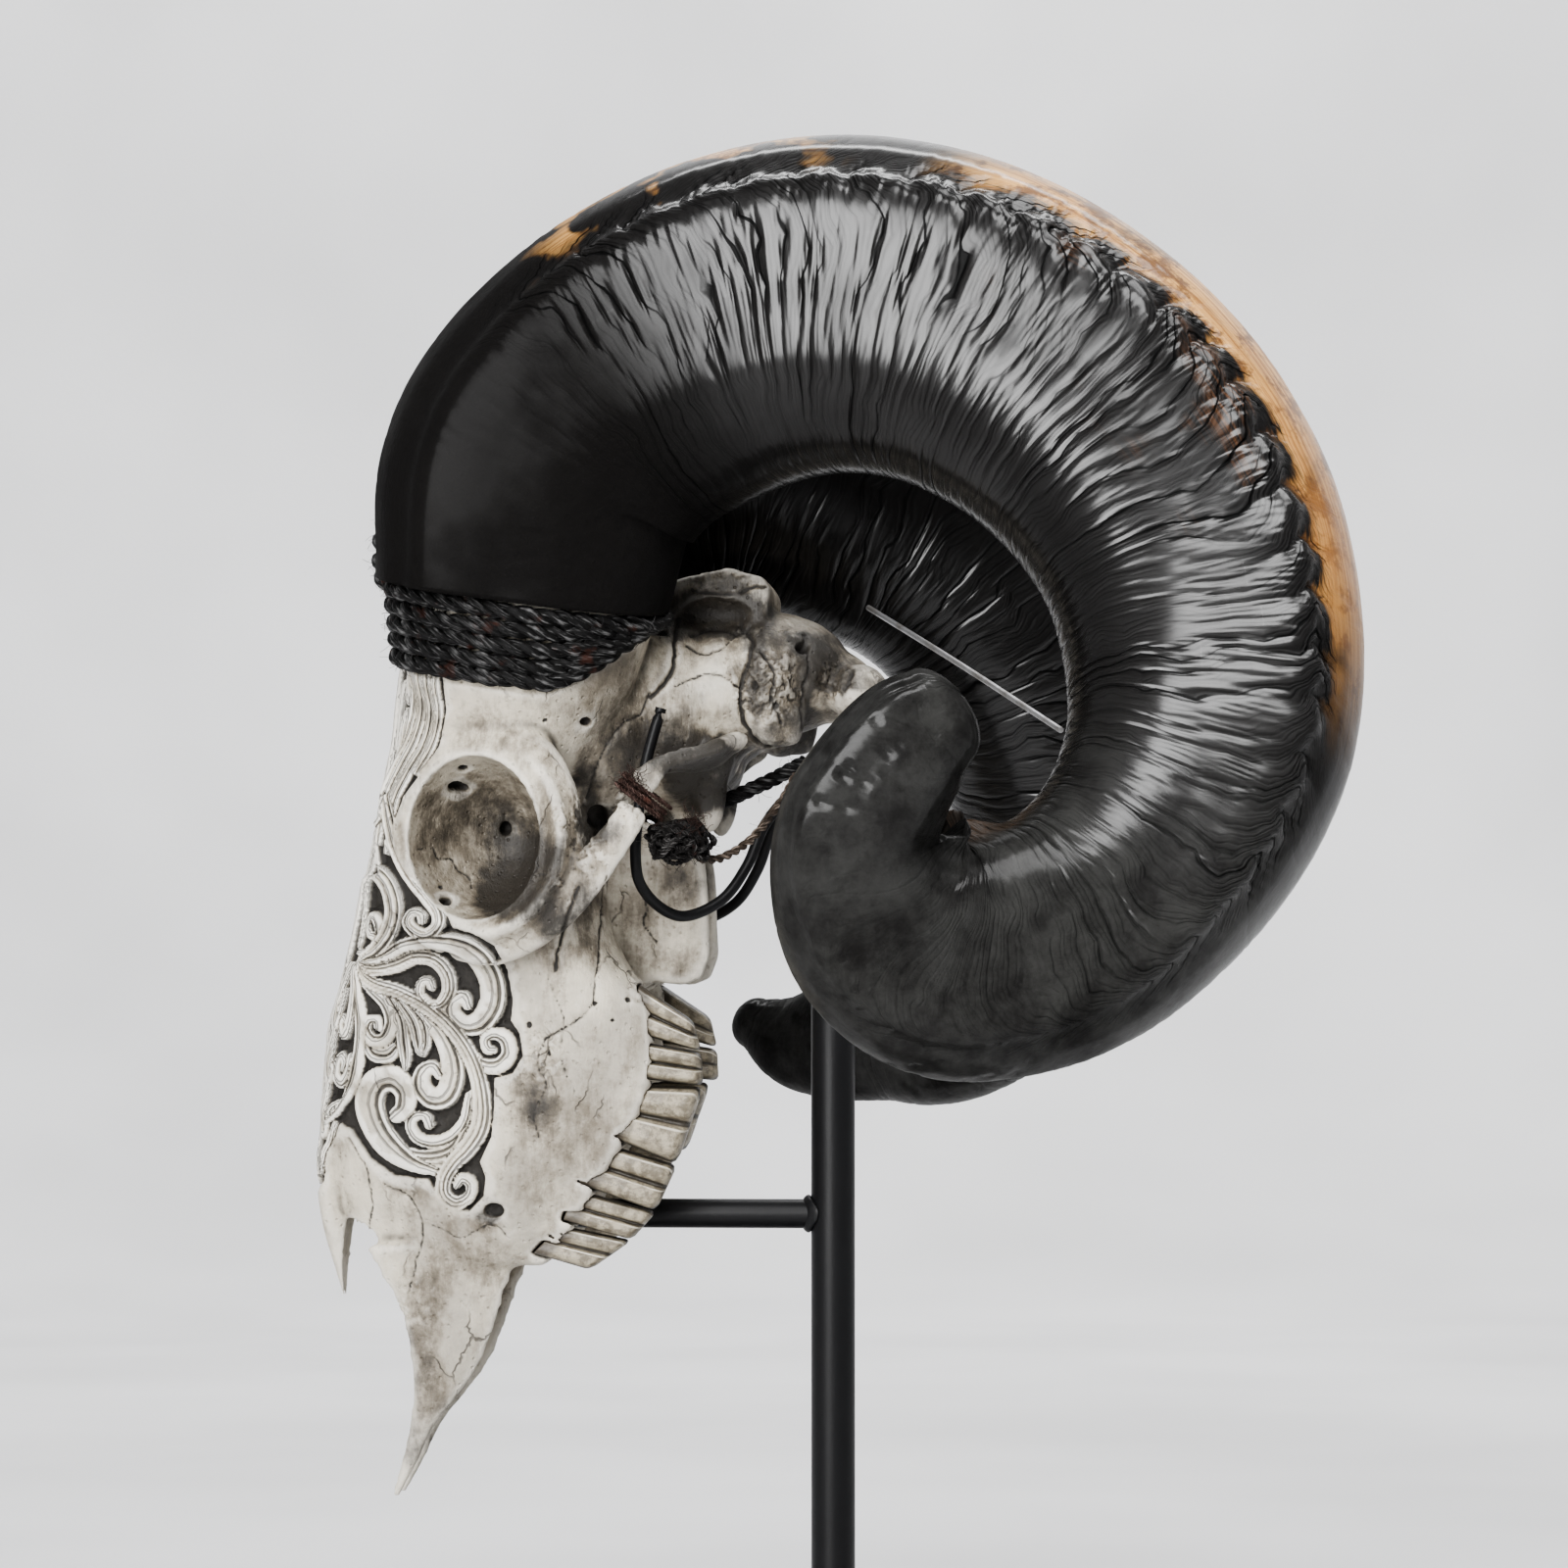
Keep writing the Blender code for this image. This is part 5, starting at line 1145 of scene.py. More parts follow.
def view_axes():
    """Directions to the right, up and back to the camera."""
    level = math.cos(VIEW_RISE)
    back = Vector((math.cos(VIEW_TURN) * level, math.sin(VIEW_TURN) * level, math.sin(VIEW_RISE)))
    right = (-back).cross(Vector((0.0, 0.0, 1.0))).normalized()
    return right, right.cross(-back), back


def plan_of(points):
    """Places of points in the side plan."""
    right, up, back = (np.array(axis) for axis in view_axes())
    view = points - (np.array(VIEW_MIDDLE) + VIEW_DISTANCE * back)
    scale = VIEW_DISTANCE / PLAN_STEP / -(view @ back)
    return np.column_stack([PLAN_MIDDLE + scale * (view @ right), PLAN_MIDDLE - scale * (view @ up)])


def unrolled_plan(points):
    """The side plan of both sides at once, carried on round the front of the face."""
    mirrored = points.copy()
    mirrored[:, 0] = np.abs(mirrored[:, 0])
    plan = plan_of(mirrored)
    levels = np.array(FACE_LEVELS[:-1] + BROW_LEVELS[1:])
    side = np.interp(points[:, 2], levels[:, 0], levels[:, 3])
    front = soft_step(-points[:, 1], 0.082, 0.104)
    plan[:, 0] -= front * np.clip(side - mirrored[:, 0], 0.0, None) / PLAN_STEP
    return plan


def evenly(rows, axes, count_for):
    """Rows at even steps along the path of their first columns, and the path's length."""
    steps = np.linalg.norm(np.diff(rows[:, :axes], axis=0), axis=1)
    length = np.concatenate([[0.0], np.cumsum(steps)])
    even = np.linspace(0.0, length[-1], count_for(length[-1]))
    return np.column_stack([np.interp(even, length, column) for column in rows.T]), length[-1]


def plan_line(points):
    """A smooth line of the plan as even samples: place, width and sideways direction."""
    rows, _ = evenly(smooth_through(points, 8), 2, lambda length: max(3, int(length / LINE_SPACING)))
    ahead = unit(np.gradient(rows[:, :2], axis=0))
    return rows, np.column_stack([-ahead[:, 1], ahead[:, 0]])


def line_distance(plan, points):
    """Distance from each place of the plan to a line, where it is near."""
    rows = plan_line(points)[0][:, :2]
    best = np.full(len(plan), FAR)
    near = ((plan > rows.min(axis=0) - LINE_REACH) & (plan < rows.max(axis=0) + LINE_REACH)).all(axis=1)
    near = np.flatnonzero(near)
    for start in range(0, len(near), POINTS_AT_ONCE):
        part = near[start : start + POINTS_AT_ONCE]
        away = np.hypot(plan[part, None, 0] - rows[None, :, 0], plan[part, None, 1] - rows[None, :, 1])
        best[part] = away.min(axis=1)
    return best


def inside_outline(plan, outline):
    """Signed distance to an outline of the plan, positive inside it."""
    outline = np.array(outline, float)
    inside = np.zeros(len(plan), bool)
    best = np.full(len(plan), FAR)
    for a, b in zip(outline, np.roll(outline, -1, axis=0)):
        edge = b - a
        share = np.clip(((plan - a) @ edge) / (edge @ edge), 0.0, 1.0)
        best = np.minimum(best, np.linalg.norm(plan - a - share[:, None] * edge, axis=1))
        crosses = (a[1] > plan[:, 1]) != (b[1] > plan[:, 1])
        with np.errstate(divide="ignore", invalid="ignore"):
            at = a[0] + (plan[:, 1] - a[1]) * edge[0] / (edge[1] if edge[1] else 1e-9)
        inside ^= crosses & (plan[:, 0] < at)
    return np.where(inside, best, -best)


def forehead_leaves():
    """A rib along the middle of the forehead with pairs of curled leaves."""
    rows, middles, reaches = np.array(FOREHEAD_MIDDLE, float).T
    stems = [(1, 2, [(x, y, 5.0) for y, x, _ in FOREHEAD_MIDDLE])]
    for row in FOREHEAD_PAIRS:
        middle, reach = np.interp(row, rows, middles), np.interp(row, rows, reaches)
        size = reach / max(reaches)
        leaf = [(middle + out * reach, row + down * reach, wide * size) for out, down, wide in FOREHEAD_LEAF]
        stems.append((0, 5, leaf))
    return stems


def carving(plan):
    """Height of the carved leaves, from -1 in the ground to 0 on their tops, and places across each leaf."""
    places, widths, sideways, levels, lines = [], [], [], [], []
    for level, groove_kind, points in CARVED_STEMS + forehead_leaves():
        rows, across = plan_line(points)
        places.append(rows[:, :2])
        widths.append(rows[:, 2] * CARVED_LEAF_SHARE)
        sideways.append(across)
        levels.append(np.full(len(rows), float(level)))
        lines.append(np.full(len(rows), groove_kind))
    places, widths = np.vstack(places), np.concatenate(widths)
    sideways, levels, lines = np.vstack(sideways), np.concatenate(levels), np.concatenate(lines)
    height = np.full(len(plan), -1.0)
    across_leaf = np.full(len(plan), NO_LEAF)
    main_line = np.array([lines_at[0] if lines_at else 0.15 for lines_at in CARVED_GROOVES])
    for start in range(0, len(plan), POINTS_AT_ONCE):
        rows = slice(start, start + POINTS_AT_ONCE)
        part = plan[rows]
        dx = part[:, None, 0] - places[None, :, 0]
        dy = part[:, None, 1] - places[None, :, 1]
        full = 1.0 - (dx * dx + dy * dy) / widths[None, :] ** 2
        score = np.where(full > 0.0, levels[None, :] + full, -9.0)
        best = score.argmax(axis=1)
        row = np.arange(len(part))
        found = full[row, best] > 0.0
        dome = np.sqrt(np.clip(full[row, best], 0.0, 1.0))
        aside = (dx[row, best] * sideways[best, 0] + dy[row, best] * sideways[best, 1]) / widths[best]
        top = -CARVED_EDGE * (1.0 - np.minimum(1.0, dome * 1.5)) ** 1.3
        for kind, places_across in enumerate(CARVED_GROOVES):
            for place in places_across:
                cut = bell(aside, place, CARVED_GROOVE_WIDTH)
                top -= np.where(lines[best] == kind, CARVED_GROOVE_DEPTH * cut, 0.0)
        height[rows] = np.where(found, top, -1.0)
        across_leaf[rows] = np.where(found, aside - main_line[lines[best]], NO_LEAF)
    return height, across_leaf


def oval_distance(plan, x, y, wide, tall):
    """How far places of the plan are from the middle of an oval, as a share of its half widths."""
    return np.hypot((plan[:, 0] - x) / wide, (plan[:, 1] - y) / tall)


def bone_relief(points, outwards):
    """How far each point of the bone is raised, and marks for its look."""
    plan = unrolled_plan(points)
    facing = outwards[:, 0] * np.sign(points[:, 0] + 1e-9)
    outer = soft_step(facing * 0.75 - outwards[:, 1] * 0.75, -0.05, 0.25)
    height = sum(amount * smooth_noise(points, size, seed, 2) for amount, size, seed in RELIEF_FORMS)
    dark = np.zeros(len(points))
    rough = np.zeros(len(points))
    # Carved leaves
    border = inside_outline(plan, CARVED_FIELD)
    front = points[:, 1] < CARVED_BACK
    carved = np.flatnonzero((border > -2.0) & front & (outer > 0.0))
    leaves, across = carving(plan[carved])
    share = soft_step(border[carved], -1.5, 1.5) * outer[carved]
    height[carved] += CARVED_DEPTH * leaves * share
    # The carving's ground is marked dark: soot and painted shade in its depth.
    dark[carved] = np.clip(-leaves * 1.35 - 0.1, 0.0, 1.0) * share
    leaf = np.full(len(points), NO_LEAF)
    leaf[carved] = np.where(share > 0.5, across, NO_LEAF)
    # Seams between the bones, cracks and small holes
    warp = np.column_stack([smooth_noise(points, WARP_SIZE, seed, 2) for seed in (21, 31)])
    wavy = plan + warp * SEAM_WANDER
    outside = facing > 0.15
    for depth, width, line in SEAMS:
        cut = bell(line_distance(wavy, line), 0.0, width) * outside
        height -= depth * cut
        dark += 0.75 * cut
    for x, y, wide, tall, depth in SMALL_HOLES:
        cut = soft_step(-oval_distance(plan, x, y, wide, tall), -1.15, -0.55) * (facing > 0.0)
        height -= depth * cut
        # Holes are marked dark: painted shade in them.
        dark += cut
    for x, y, radius, strength in ROUGH_SPOTS:
        away = np.hypot(plan[:, 0] - x, plan[:, 1] - y) / radius
        rough = np.maximum(rough, strength * soft_step(-away, -1.1, -0.6))
    pitted = smooth_noise(points + 0.0015 * warp[:, :1], ROUGH_SIZE, 51, 2)
    pits = soft_step(np.abs(pitted), 0.16, 0.02)
    height += rough * (ROUGH_HEIGHT * pitted - PIT_DEPTH * pits)
    # Pits are marked dark: painted shade in them.
    dark += 0.5 * rough * pits
    tone = np.zeros(len(points))
    shifted = plan + warp * TONE_WANDER
    for x, y, wide, tall, strength in TONE_PATCHES:
        tone += strength * soft_step(-oval_distance(shifted, x, y, wide, tall), -1.35, -0.45)
    marks = {"dark": np.clip(dark, 0.0, 1.0), "rough": rough, "tone": np.clip(tone, -1.0, 1.0), "leaf": leaf}
    return height, marks


def openness(piece):
    """Share of the directions in front of each point that are free of the piece, for patina and painted shade in
    its hollows.
    """
    mesh = piece.data
    points, outwards = surface_of(mesh)
    tree = BVHTree.FromPolygons(points.tolist(), [face.vertices[:] for face in mesh.polygons])
    spiral = np.arange(OPEN_RAYS) + 0.5
    height = 1.0 - 2.0 * spiral / OPEN_RAYS
    turn = spiral * math.pi * (3.0 - math.sqrt(5.0))
    flat = np.sqrt(1.0 - height**2)
    ball = np.column_stack([flat * np.cos(turn), flat * np.sin(turn), height])
    picked = np.arange(0, len(points), OPEN_EVERY)
    near = KDTree(len(picked))
    found = []
    for place, index in enumerate(picked):
        near.insert(points[index], place)
        ways = outwards[index] * 1.02 + ball
        start = Vector(points[index] + outwards[index] * RAY_START)
        free = sum(tree.ray_cast(start, Vector(way), OPEN_REACH)[0] is None for way in ways)
        found.append(free / OPEN_RAYS)
    near.balance()
    values = np.empty(len(points))
    for index, point in enumerate(points):
        around = near.find_n(point, 4)
        weights = [1.0 / (away + 0.0004) for _, _, away in around]
        values[index] = sum(w * found[i] for w, (_, i, _) in zip(weights, around)) / sum(weights)
    return values


def edge_average(values, edges, count):
    """The mean of each point's neighbours."""
    total = np.empty_like(values)
    for axis in range(values.shape[1]):
        total[:, axis] = np.bincount(edges[:, 0], values[edges[:, 1], axis], count)
        total[:, axis] += np.bincount(edges[:, 1], values[edges[:, 0], axis], count)
    around = np.bincount(edges.ravel(), minlength=count)
    return total / np.maximum(around, 1)[:, None]


def numbers_of(items, name, width, kind=np.float32):
    found = np.empty(len(items) * width, kind)
    items.foreach_get(name, found)
    return found.reshape(-1, width)


def surface_of(mesh):
    """The points of a mesh and the way outwards at each."""
    points = numbers_of(mesh.vertices, "co", 3).astype(float)
    return points, numbers_of(mesh.vertex_normals, "vector", 3).astype(float)


def set_marks(mesh, marks):
    """Stores a number for each point under each name, for the materials to read."""
    for name, values in marks.items():
        mesh.attributes.new(name, "FLOAT", "POINT").data.foreach_set("value", values.astype(np.float32))


def painted(piece, look):
    piece.data.materials.append(look)
    piece.data.shade_smooth()
    return piece


def scratch(name, shape):
    """A helper object from a bmesh."""
    mesh = bpy.data.meshes.new(name)
    shape.to_mesh(mesh)
    shape.free()
    return linked(name, mesh)


def fuse(piece, voxel, smoothing):
    modifier = piece.modifiers.new("fuse", "REMESH")
    modifier.mode = "VOXEL"
    modifier.voxel_size = voxel
    modifier = piece.modifiers.new("soften", "SMOOTH")
    modifier.factor = 0.5
    modifier.iterations = smoothing


def cut_out(piece, cutter):
    modifier = piece.modifiers.new(cutter.name, "BOOLEAN")
    modifier.object = cutter
    modifier.operation = "DIFFERENCE"
    modifier.solver = "EXACT"


def bone_body(grain):
    """The skull's forms fused into one body, with its hollows, horn seats and tooth sockets."""
    body = scratch("carved_skull", skull_masses())
    fuse(body, COARSE_GRAIN, 3)
    cutters = [scratch("hollows", soft_cutters())]
    for side in (1, -1):
        cutters.append(scratch("seat", rope_seat(side)))
    for start in (0, 1):
        sockets = bmesh.new()
        for number in range(start, 6, 2):
            for side in (1, -1):
                tooth = socket_shape(number, side, SOCKET_GAP)
                mesh = bpy.data.meshes.new("socket")
                tooth.to_mesh(mesh)
                tooth.free()
                sockets.from_mesh(mesh)
                bpy.data.meshes.remove(mesh)
        cutters.append(scratch("sockets", sockets))
    for cutter in cutters:
        cut_out(body, cutter)
    hardened(body)
    for cutter in cutters:
        bpy.data.objects.remove(cutter)
    largest_body(body)
    fuse(body, grain, 5)
    hardened(body)
    largest_body(body)
    return body


def make_bone(settings):
    body = bone_body(settings.grain)
    mesh = body.data
    points, outwards = surface_of(mesh)
    height, marks = bone_relief(points, outwards)
    points += outwards * height[:, None]
    edges = numbers_of(mesh.edges, "vertices", 2, np.int32)
    soft = points.copy()
    for _ in range(CAVITY_ROUNDS):
        soft = edge_average(soft, edges, len(points))
    marks["cavity"] = ((soft - points) * outwards).sum(axis=1) / CAVITY_SCALE
    mesh.vertices.foreach_set("co", points.astype(np.float32).ravel())
    set_marks(mesh, marks)
    mesh.update()
    modifier = body.modifiers.new("fewer faces", "DECIMATE")
    modifier.ratio = min(1.0, SKULL_FACES / (2 * len(mesh.polygons)))
    hardened(body)
    set_marks(body.data, {"open": openness(body)})
    body.data.materials.clear()
    finished(painted(body, bone_look(settings)), "bone", "skull")


def bone_look(settings):
    look = Look("carved_bone")
    dark, rough, cavity, tone, free, leaf = look.attributes("dark", "rough", "cavity", "tone", "open", "leaf")
    beside = look.math("ABSOLUTE", leaf)
    line = 1.0 - look.step(beside, 0.05, 0.17)
    line = look.math("MAXIMUM", line, (1.0 - look.step(look.math("ABSOLUTE", beside - 0.48), 0.03, 0.13)) * 0.8)
    clouds = look.clouds(26.0, 5.0, 0.65)
    blotches = look.clouds(110.0, 6.0, 0.75)
    grain = look.clouds(1100.0, 3.0, 0.6)
    fibres = look.noise(look.vector("MULTIPLY", look.place, (1.0, 1.0, 0.22)), 560.0, 4.0, 0.65)
    pores = look.cells(look.place, 420.0)
    base = look.mixed(look.step(clouds, 0.38, 0.62), settings.bone_colour, settings.shade_colour)
    spread = (blotches - 0.5) * 1.5 + (clouds - 0.5) * 0.9 + (fibres - 0.5) * 0.6
    # Towards patina in blotches and stains, and painted shade in enclosed hollows and the darker tone patches.
    closed = 1.0 - look.step(free, 0.1, 0.52)
    shade = look.step(spread * 1.1 + tone * 0.75 + closed * 0.7, -0.12, 0.55)
    base = look.mixed(shade * 0.92, base, settings.patina_and_shade_colour)
    pore = 1.0 - look.step(pores, 0.06, 0.24)
    speck = pore * look.step(look.clouds(60.0, 2.0), 0.46, 0.66)
    base = look.mixed(speck * 0.6, base, settings.patina_and_shade_colour)
    # Lighter on convex edges and in the brighter tone patches: wear and painted highlight.
    worn = look.step(cavity, -0.06, -0.55) * (1.0 - closed)
    worn = look.math("MAXIMUM", worn, look.step(tone * 0.8 + spread * 1.2, -0.1, -0.75))
    base = look.mixed(worn * (0.35 + 0.5 * look.step(leaf, 1.5, 0.9)), base, (0.84, 0.81, 0.74))
    # Near black in concave, enclosed hollows: dirt and painted shade.
    hollow = look.step(cavity + closed * 0.45, 0.05, 0.7)
    base = look.mixed(hollow * 0.88, base, settings.dirt_and_shade_colour)
    # Near black where the bone is deeply enclosed and in the darkest tone patches: soot and painted shadow.
    deep = 1.0 - look.step(free, 0.03, 0.26)
    soot_and_shadow = look.step(deep * 0.9 + tone * 1.2 + spread * 0.9, 0.45, 1.15)
    base = look.mixed(soot_and_shadow * 0.92, base, settings.dirt_and_shade_colour)
    base = look.mixed(rough * look.step(grain, 0.3, 0.7) * 0.35, base, settings.patina_and_shade_colour)
    warped = look.vector("ADD", look.place, look.vector("SCALE", look.other_output(clouds, "Color"), 0.018))
    cracks = look.cells(look.vector("MULTIPLY", warped, (1.0, 1.0, 0.45)), 95.0, "DISTANCE_TO_EDGE")
    crack = (1.0 - look.step(cracks, 0.006, 0.026)) * look.step(look.clouds(48.0, 3.0), 0.56, 0.68)
    base = look.mixed(crack * 0.7, base, settings.dirt_and_shade_colour)
    # The carved grooves along the leaves are near black: painted shade in the grooves.
    base = look.mixed(line * 0.72, base, settings.dirt_and_shade_colour)
    # Near black on the carving's ground, along seams and in holes and pits: soot, dark joints and painted shade.
    base = look.mixed(look.step(dark, 0.05, 0.75) * 0.97, base, settings.dirt_and_shade_colour)
    roughness = 0.42 + 0.22 * blotches + 0.12 * hollow + 0.1 * dark
    bump = grain * 0.22 + blotches * 0.85 + fibres * 0.5 - pore * 0.4 - crack * 0.5 - line * 0.9
    return look.finish(bump, 0.0006, Base_Color=base, Roughness=roughness)


def closed_curve(rows, count):
    """A smooth closed curve through rows of numbers, and the place of each point, counted in rows."""
    rows = np.array(rows)
    places = np.arange(count) * len(rows) / count
    low = np.floor(places).astype(int)
    t = (places - low)[:, None]
    p = [rows[(low + k) % len(rows)] for k in (-1, 0, 1, 2)]
    curve = 0.5 * (
        2 * p[1]
        + (p[2] - p[0]) * t
        + (2 * p[0] - 5 * p[1] + 4 * p[2] - p[3]) * t**2
        + (3 * p[1] - 3 * p[2] + p[3] - p[0]) * t**3
    )
    return places, curve


def horn_rows(side, count):
    """Centre and half widths along a horn, from its foot to its tip, and its length."""
    rows = np.array(HORN_STATIONS, float)
    if side < 0:
        foot = rows[0].copy()
        spread = np.clip(np.arange(len(rows)) / RIGHT_HORN_TURN_STATIONS, 0.0, 1.0)
        turn = RIGHT_HORN_TURN * spread
        size = 1.0 + (RIGHT_HORN_SCALE - 1.0) * spread
        along = rows[:, 1] - foot[1]
        up = rows[:, 2] - foot[2]
        rows[:, 1] = foot[1] + size * (along * np.cos(turn) + up * np.sin(turn))
        rows[:, 2] = foot[2] + size * (up * np.cos(turn) - along * np.sin(turn))
        rows[:, 0] = foot[0] + (rows[:, 0] - foot[0]) * size
        rows[:, 3:] *= size[:, None]
        late = np.interp(np.arange(len(rows)), (RIGHT_HORN_NARROWS_FROM, RIGHT_HORN_KEPT - 1), (0.0, 1.0))
        rows[:, 3:] *= 1.0 - RIGHT_HORN_NARROWING * late[:, None]
        rows[:, 2] += RIGHT_HORN_LIFT * late
        rows = np.vstack([rows[:RIGHT_HORN_KEPT], RIGHT_HORN_END])
    return evenly(smooth_through(rows, 60), 3, lambda length: count)


def softened(rows, rounds):
    """Rows averaged with their neighbours, with both ends kept."""
    for _ in range(rounds):
        rows[1:-1] = (rows[:-2] + rows[1:-1] * 2 + rows[2:]) / 4
    return rows


def horn_body(side, name, rings, sides):
    """The smooth sheath of a horn, with places along and round it for its growth rings."""
    rows, length = horn_rows(side, rings)
    rows = softened(rows, rings // 30)
    _, _, seat_across, seat_along = seat_frame(side)
    ahead = unit(np.gradient(rows[:, :3], axis=0))
    radial = unit(np.cross(np.array((1.0, 0.0, 0.0)), ahead))
    outwards = np.cross(ahead, radial)
    share = np.linspace(0.0, 1.0, rings)
    blend = soft_step(share, 0.0, HORN_FOOT_SHARE)[:, None]
    foot_radial = -np.array(seat_along)
    foot_out = np.array((seat_across[0], seat_across[1] * side, seat_across[2] * side))
    u = unit(foot_radial * (1 - blend) + radial * blend)
    w = unit(foot_out * (1 - blend) + outwards * blend)
    places, section = closed_curve(HORN_SECTION, sides)
    flange = np.zeros((rings, sides))
    if side > 0:
        rise = bell(share, HORN_FLANGE_MIDDLE, HORN_FLANGE_REACH)
        flange = HORN_FLANGE * rise[:, None] * bell(places, FLANGE_MIDDLE, FLANGE_WIDTH)[None, :]
    inwards = ((rows[:, 3:4] + flange) * section[:, 0])[..., None]
    sideways = (rows[:, 4:5] * section[:, 1])[..., None]
    shape = rows[:, None, :3] + u[:, None] * inwards + w[:, None] * sideways
    # The foot lies in the plane of the seat
    centre, axis, _, _ = (np.array(v) for v in seat_frame(side))
    axis = axis * (side, 1.0, 1.0)
    floor = centre * (side, 1.0, 1.0) + axis * (ROPE_HALF_HEIGHT + CONTACT_GAP)
    below = (floor - shape) @ axis
    press = np.where(share[:, None] < HORN_FOOT_SHARE, np.clip(below, 0.0, None), 0.0)
    press[0] = below[0]
    shape += press[..., None] * axis
    tip = rows[-1]
    ends = []
    for k in range(1, HORN_TIP_RINGS + 1):
        angle = k / HORN_TIP_RINGS * math.pi / 2
        swell = math.cos(angle)
        ring = tip[:3] + ahead[-1] * HORN_TIP_REACH * math.sin(angle)
        ring = ring + radial[-1] * tip[3] * swell * section[:, :1]
        ends.append(ring + outwards[-1] * tip[4] * swell * section[:, 1:])
    ends[-1] = ends[-1].mean(axis=0) + (ends[-2] - ends[-2].mean(axis=0)) * 0.05
    shape = np.concatenate([shape, np.array(ends)])
    shape[..., 0] *= side
    total = len(shape)
    points = shape.reshape(-1, 3)
    index = np.arange(total * sides).reshape(total, sides)
    low, high = index[:-1], index[1:]
    faces = np.stack([low, np.roll(low, -1, axis=1), np.roll(high, -1, axis=1), high], axis=-1).reshape(-1, 4)
    faces = [list(face) for face in faces] + [list(index[0][::-1]), list(index[-1])]
    mesh = bpy.data.meshes.new(name)
    mesh.from_pydata(points.tolist(), [], faces)
    run = np.repeat(np.concatenate([share, np.ones(HORN_TIP_RINGS)]), sides)
    turn = np.tile(2 * np.pi * places / len(HORN_SECTION), total)
    half = len(HORN_SECTION) / 2
    signed = (places + half) % (2 * half) - half
    set_marks(mesh, {
        "run": run,
        "keel": bell(np.tile(places, total), KEEL_MIDDLE, KEEL_WIDTH),
        "place": np.tile(places, total),
        "brim": np.tile(np.where(signed > 0, signed, -2.5 * signed), total),
        "length": run * length,
    })
    grain = np.column_stack([np.cos(turn), np.sin(turn), run * length]).astype(np.float32)
    mesh.attributes.new("grain", "FLOAT_VECTOR", "POINT").data.foreach_set("vector", grain.ravel())
    shape = bmesh.new()
    shape.from_mesh(mesh)
    bmesh.ops.recalc_face_normals(shape, faces=shape.faces[:])
    shape.to_mesh(mesh)
    shape.free()
    return linked(name, mesh)


def groove_rings(graph, length, spacing, width):
    """Grooves across a horn, each with its own place and depth within its stretch of the length."""
    at = length / spacing
    number = graph.math("FLOOR", at)
    chance, other = graph.chance(number), graph.chance(number + 0.37)
    away = (at - number - 0.5 - (chance - 0.5) * 0.5) / width
    return 2.718 ** (0.0 - away * away) * (0.25 + 0.75 * other)


def growth_rings(material):
    """Rings that the horn grows in: grooves all round, bumps along the keel, and pits."""
    tree = Growth("growth_rings")
    spacing = tree.setting("Ring Spacing", "Float", 0.005)
    ring_height = tree.setting("Ring Height", "Float", 0.0008)
    bump_spacing = tree.setting("Keel Spacing", "Float", 0.0118)
    keel_height = tree.setting("Keel Height", "Float", 0.003)
    pit_depth = tree.setting("Pit Depth", "Float", 0.0006)
    run, keel, length = tree.named("run"), tree.named("keel"), tree.named("length")
    at, grain = tree.named("place"), tree.named("grain", "FLOAT_VECTOR")
    place = tree.node("GeometryNodeInputPosition")
    sway = tree.noise(place, 30.0, 3.0, 0.6) - 0.5
    wander = tree.noise(place, 120.0, 2.0) - 0.5
    aside = (at - 2.35) / 0.72
    scallop = 2.718 ** (0.0 - aside * aside)
    bent = length + scallop * 0.01 + sway * 0.02 + wander * 0.0018
    ribbed = tree.step(run, 0.07, 0.17) * (1.0 - tree.step(run, 0.74, 0.92) * 0.75)
    # The outer band past the keel is smooth, and the middle of the side has shallower grooves
    outer = 1.0 - tree.step(at, 1.2, 1.8)
    middle = tree.step(at, 3.4, 4.6) * (1.0 - tree.step(at, 6.4, 7.0))
    ribbed = ribbed * (1.0 - outer * 0.9) * (1.0 - middle * 0.35)
    chosen = tree.step(tree.noise(place, 34.0, 3.0), 0.42, 0.62)
    grooves = groove_rings(tree, bent, spacing, 0.13) * (0.4 + 0.6 * chosen)
    fine = groove_rings(tree, bent + 0.0011, spacing * 0.31, 0.26)
    broad = (length + scallop * 0.005 + sway * 0.01) / bump_spacing
    swell = tree.math("ABSOLUTE", tree.math("SINE", broad * math.pi)) ** 0.6
    crinkle = tree.math("ABSOLUTE", tree.math("SINE", (bent + wander * 0.003) / 0.0052 * math.pi))
    late = tree.step(run, 0.28, 0.45)
    keel_part = scallop * tree.step(run, 0.1, 0.22) * (1.0 - tree.step(run, 0.62, 0.76)) * (0.35 + 0.65 * late)
    height = 0.0 - grooves * ring_height * ribbed - fine * ring_height * 0.14 * ribbed
    height = height + (swell - 0.62) * keel_height * keel_part
    height = height + (crinkle - 0.6) * 0.0006 * keel * tree.step(run, 0.1, 0.22) * (1.0 - late * 0.6)
    streaks = tree.streaks(grain, (9.0, 9.0, 18.0), 3.0) - 0.5
    height = height + streaks * 0.0004
    aged = tree.step(run, 0.74, 0.86)
    pits = 1.0 - tree.step(tree.cells(place, 190.0), 0.12, 0.45)
    patch = tree.step(tree.noise(place, 45.0, 2.0), 0.5, 0.62)
    height = height - pits * patch * pit_depth * (0.35 + aged)
    height = height + (tree.noise(place, 22.0, 3.0) - 0.5) * 0.0011
    offset = tree.vector("SCALE", tree.node("GeometryNodeInputNormal"), height * tree.step(run, 0.0, 0.012))
    shape = tree.stored(tree.shape, "relief", (grooves + fine * 0.2) * ribbed)
    shape = tree.stored(shape, "bent", bent)
    shape = tree.stored(shape, "ribbed", ribbed)
    shape = tree.stored(shape, "swell", (swell - 0.5) * keel_part)
    return tree.end(tree.only("SetShadeSmooth", tree.moved(shape, offset)), material)


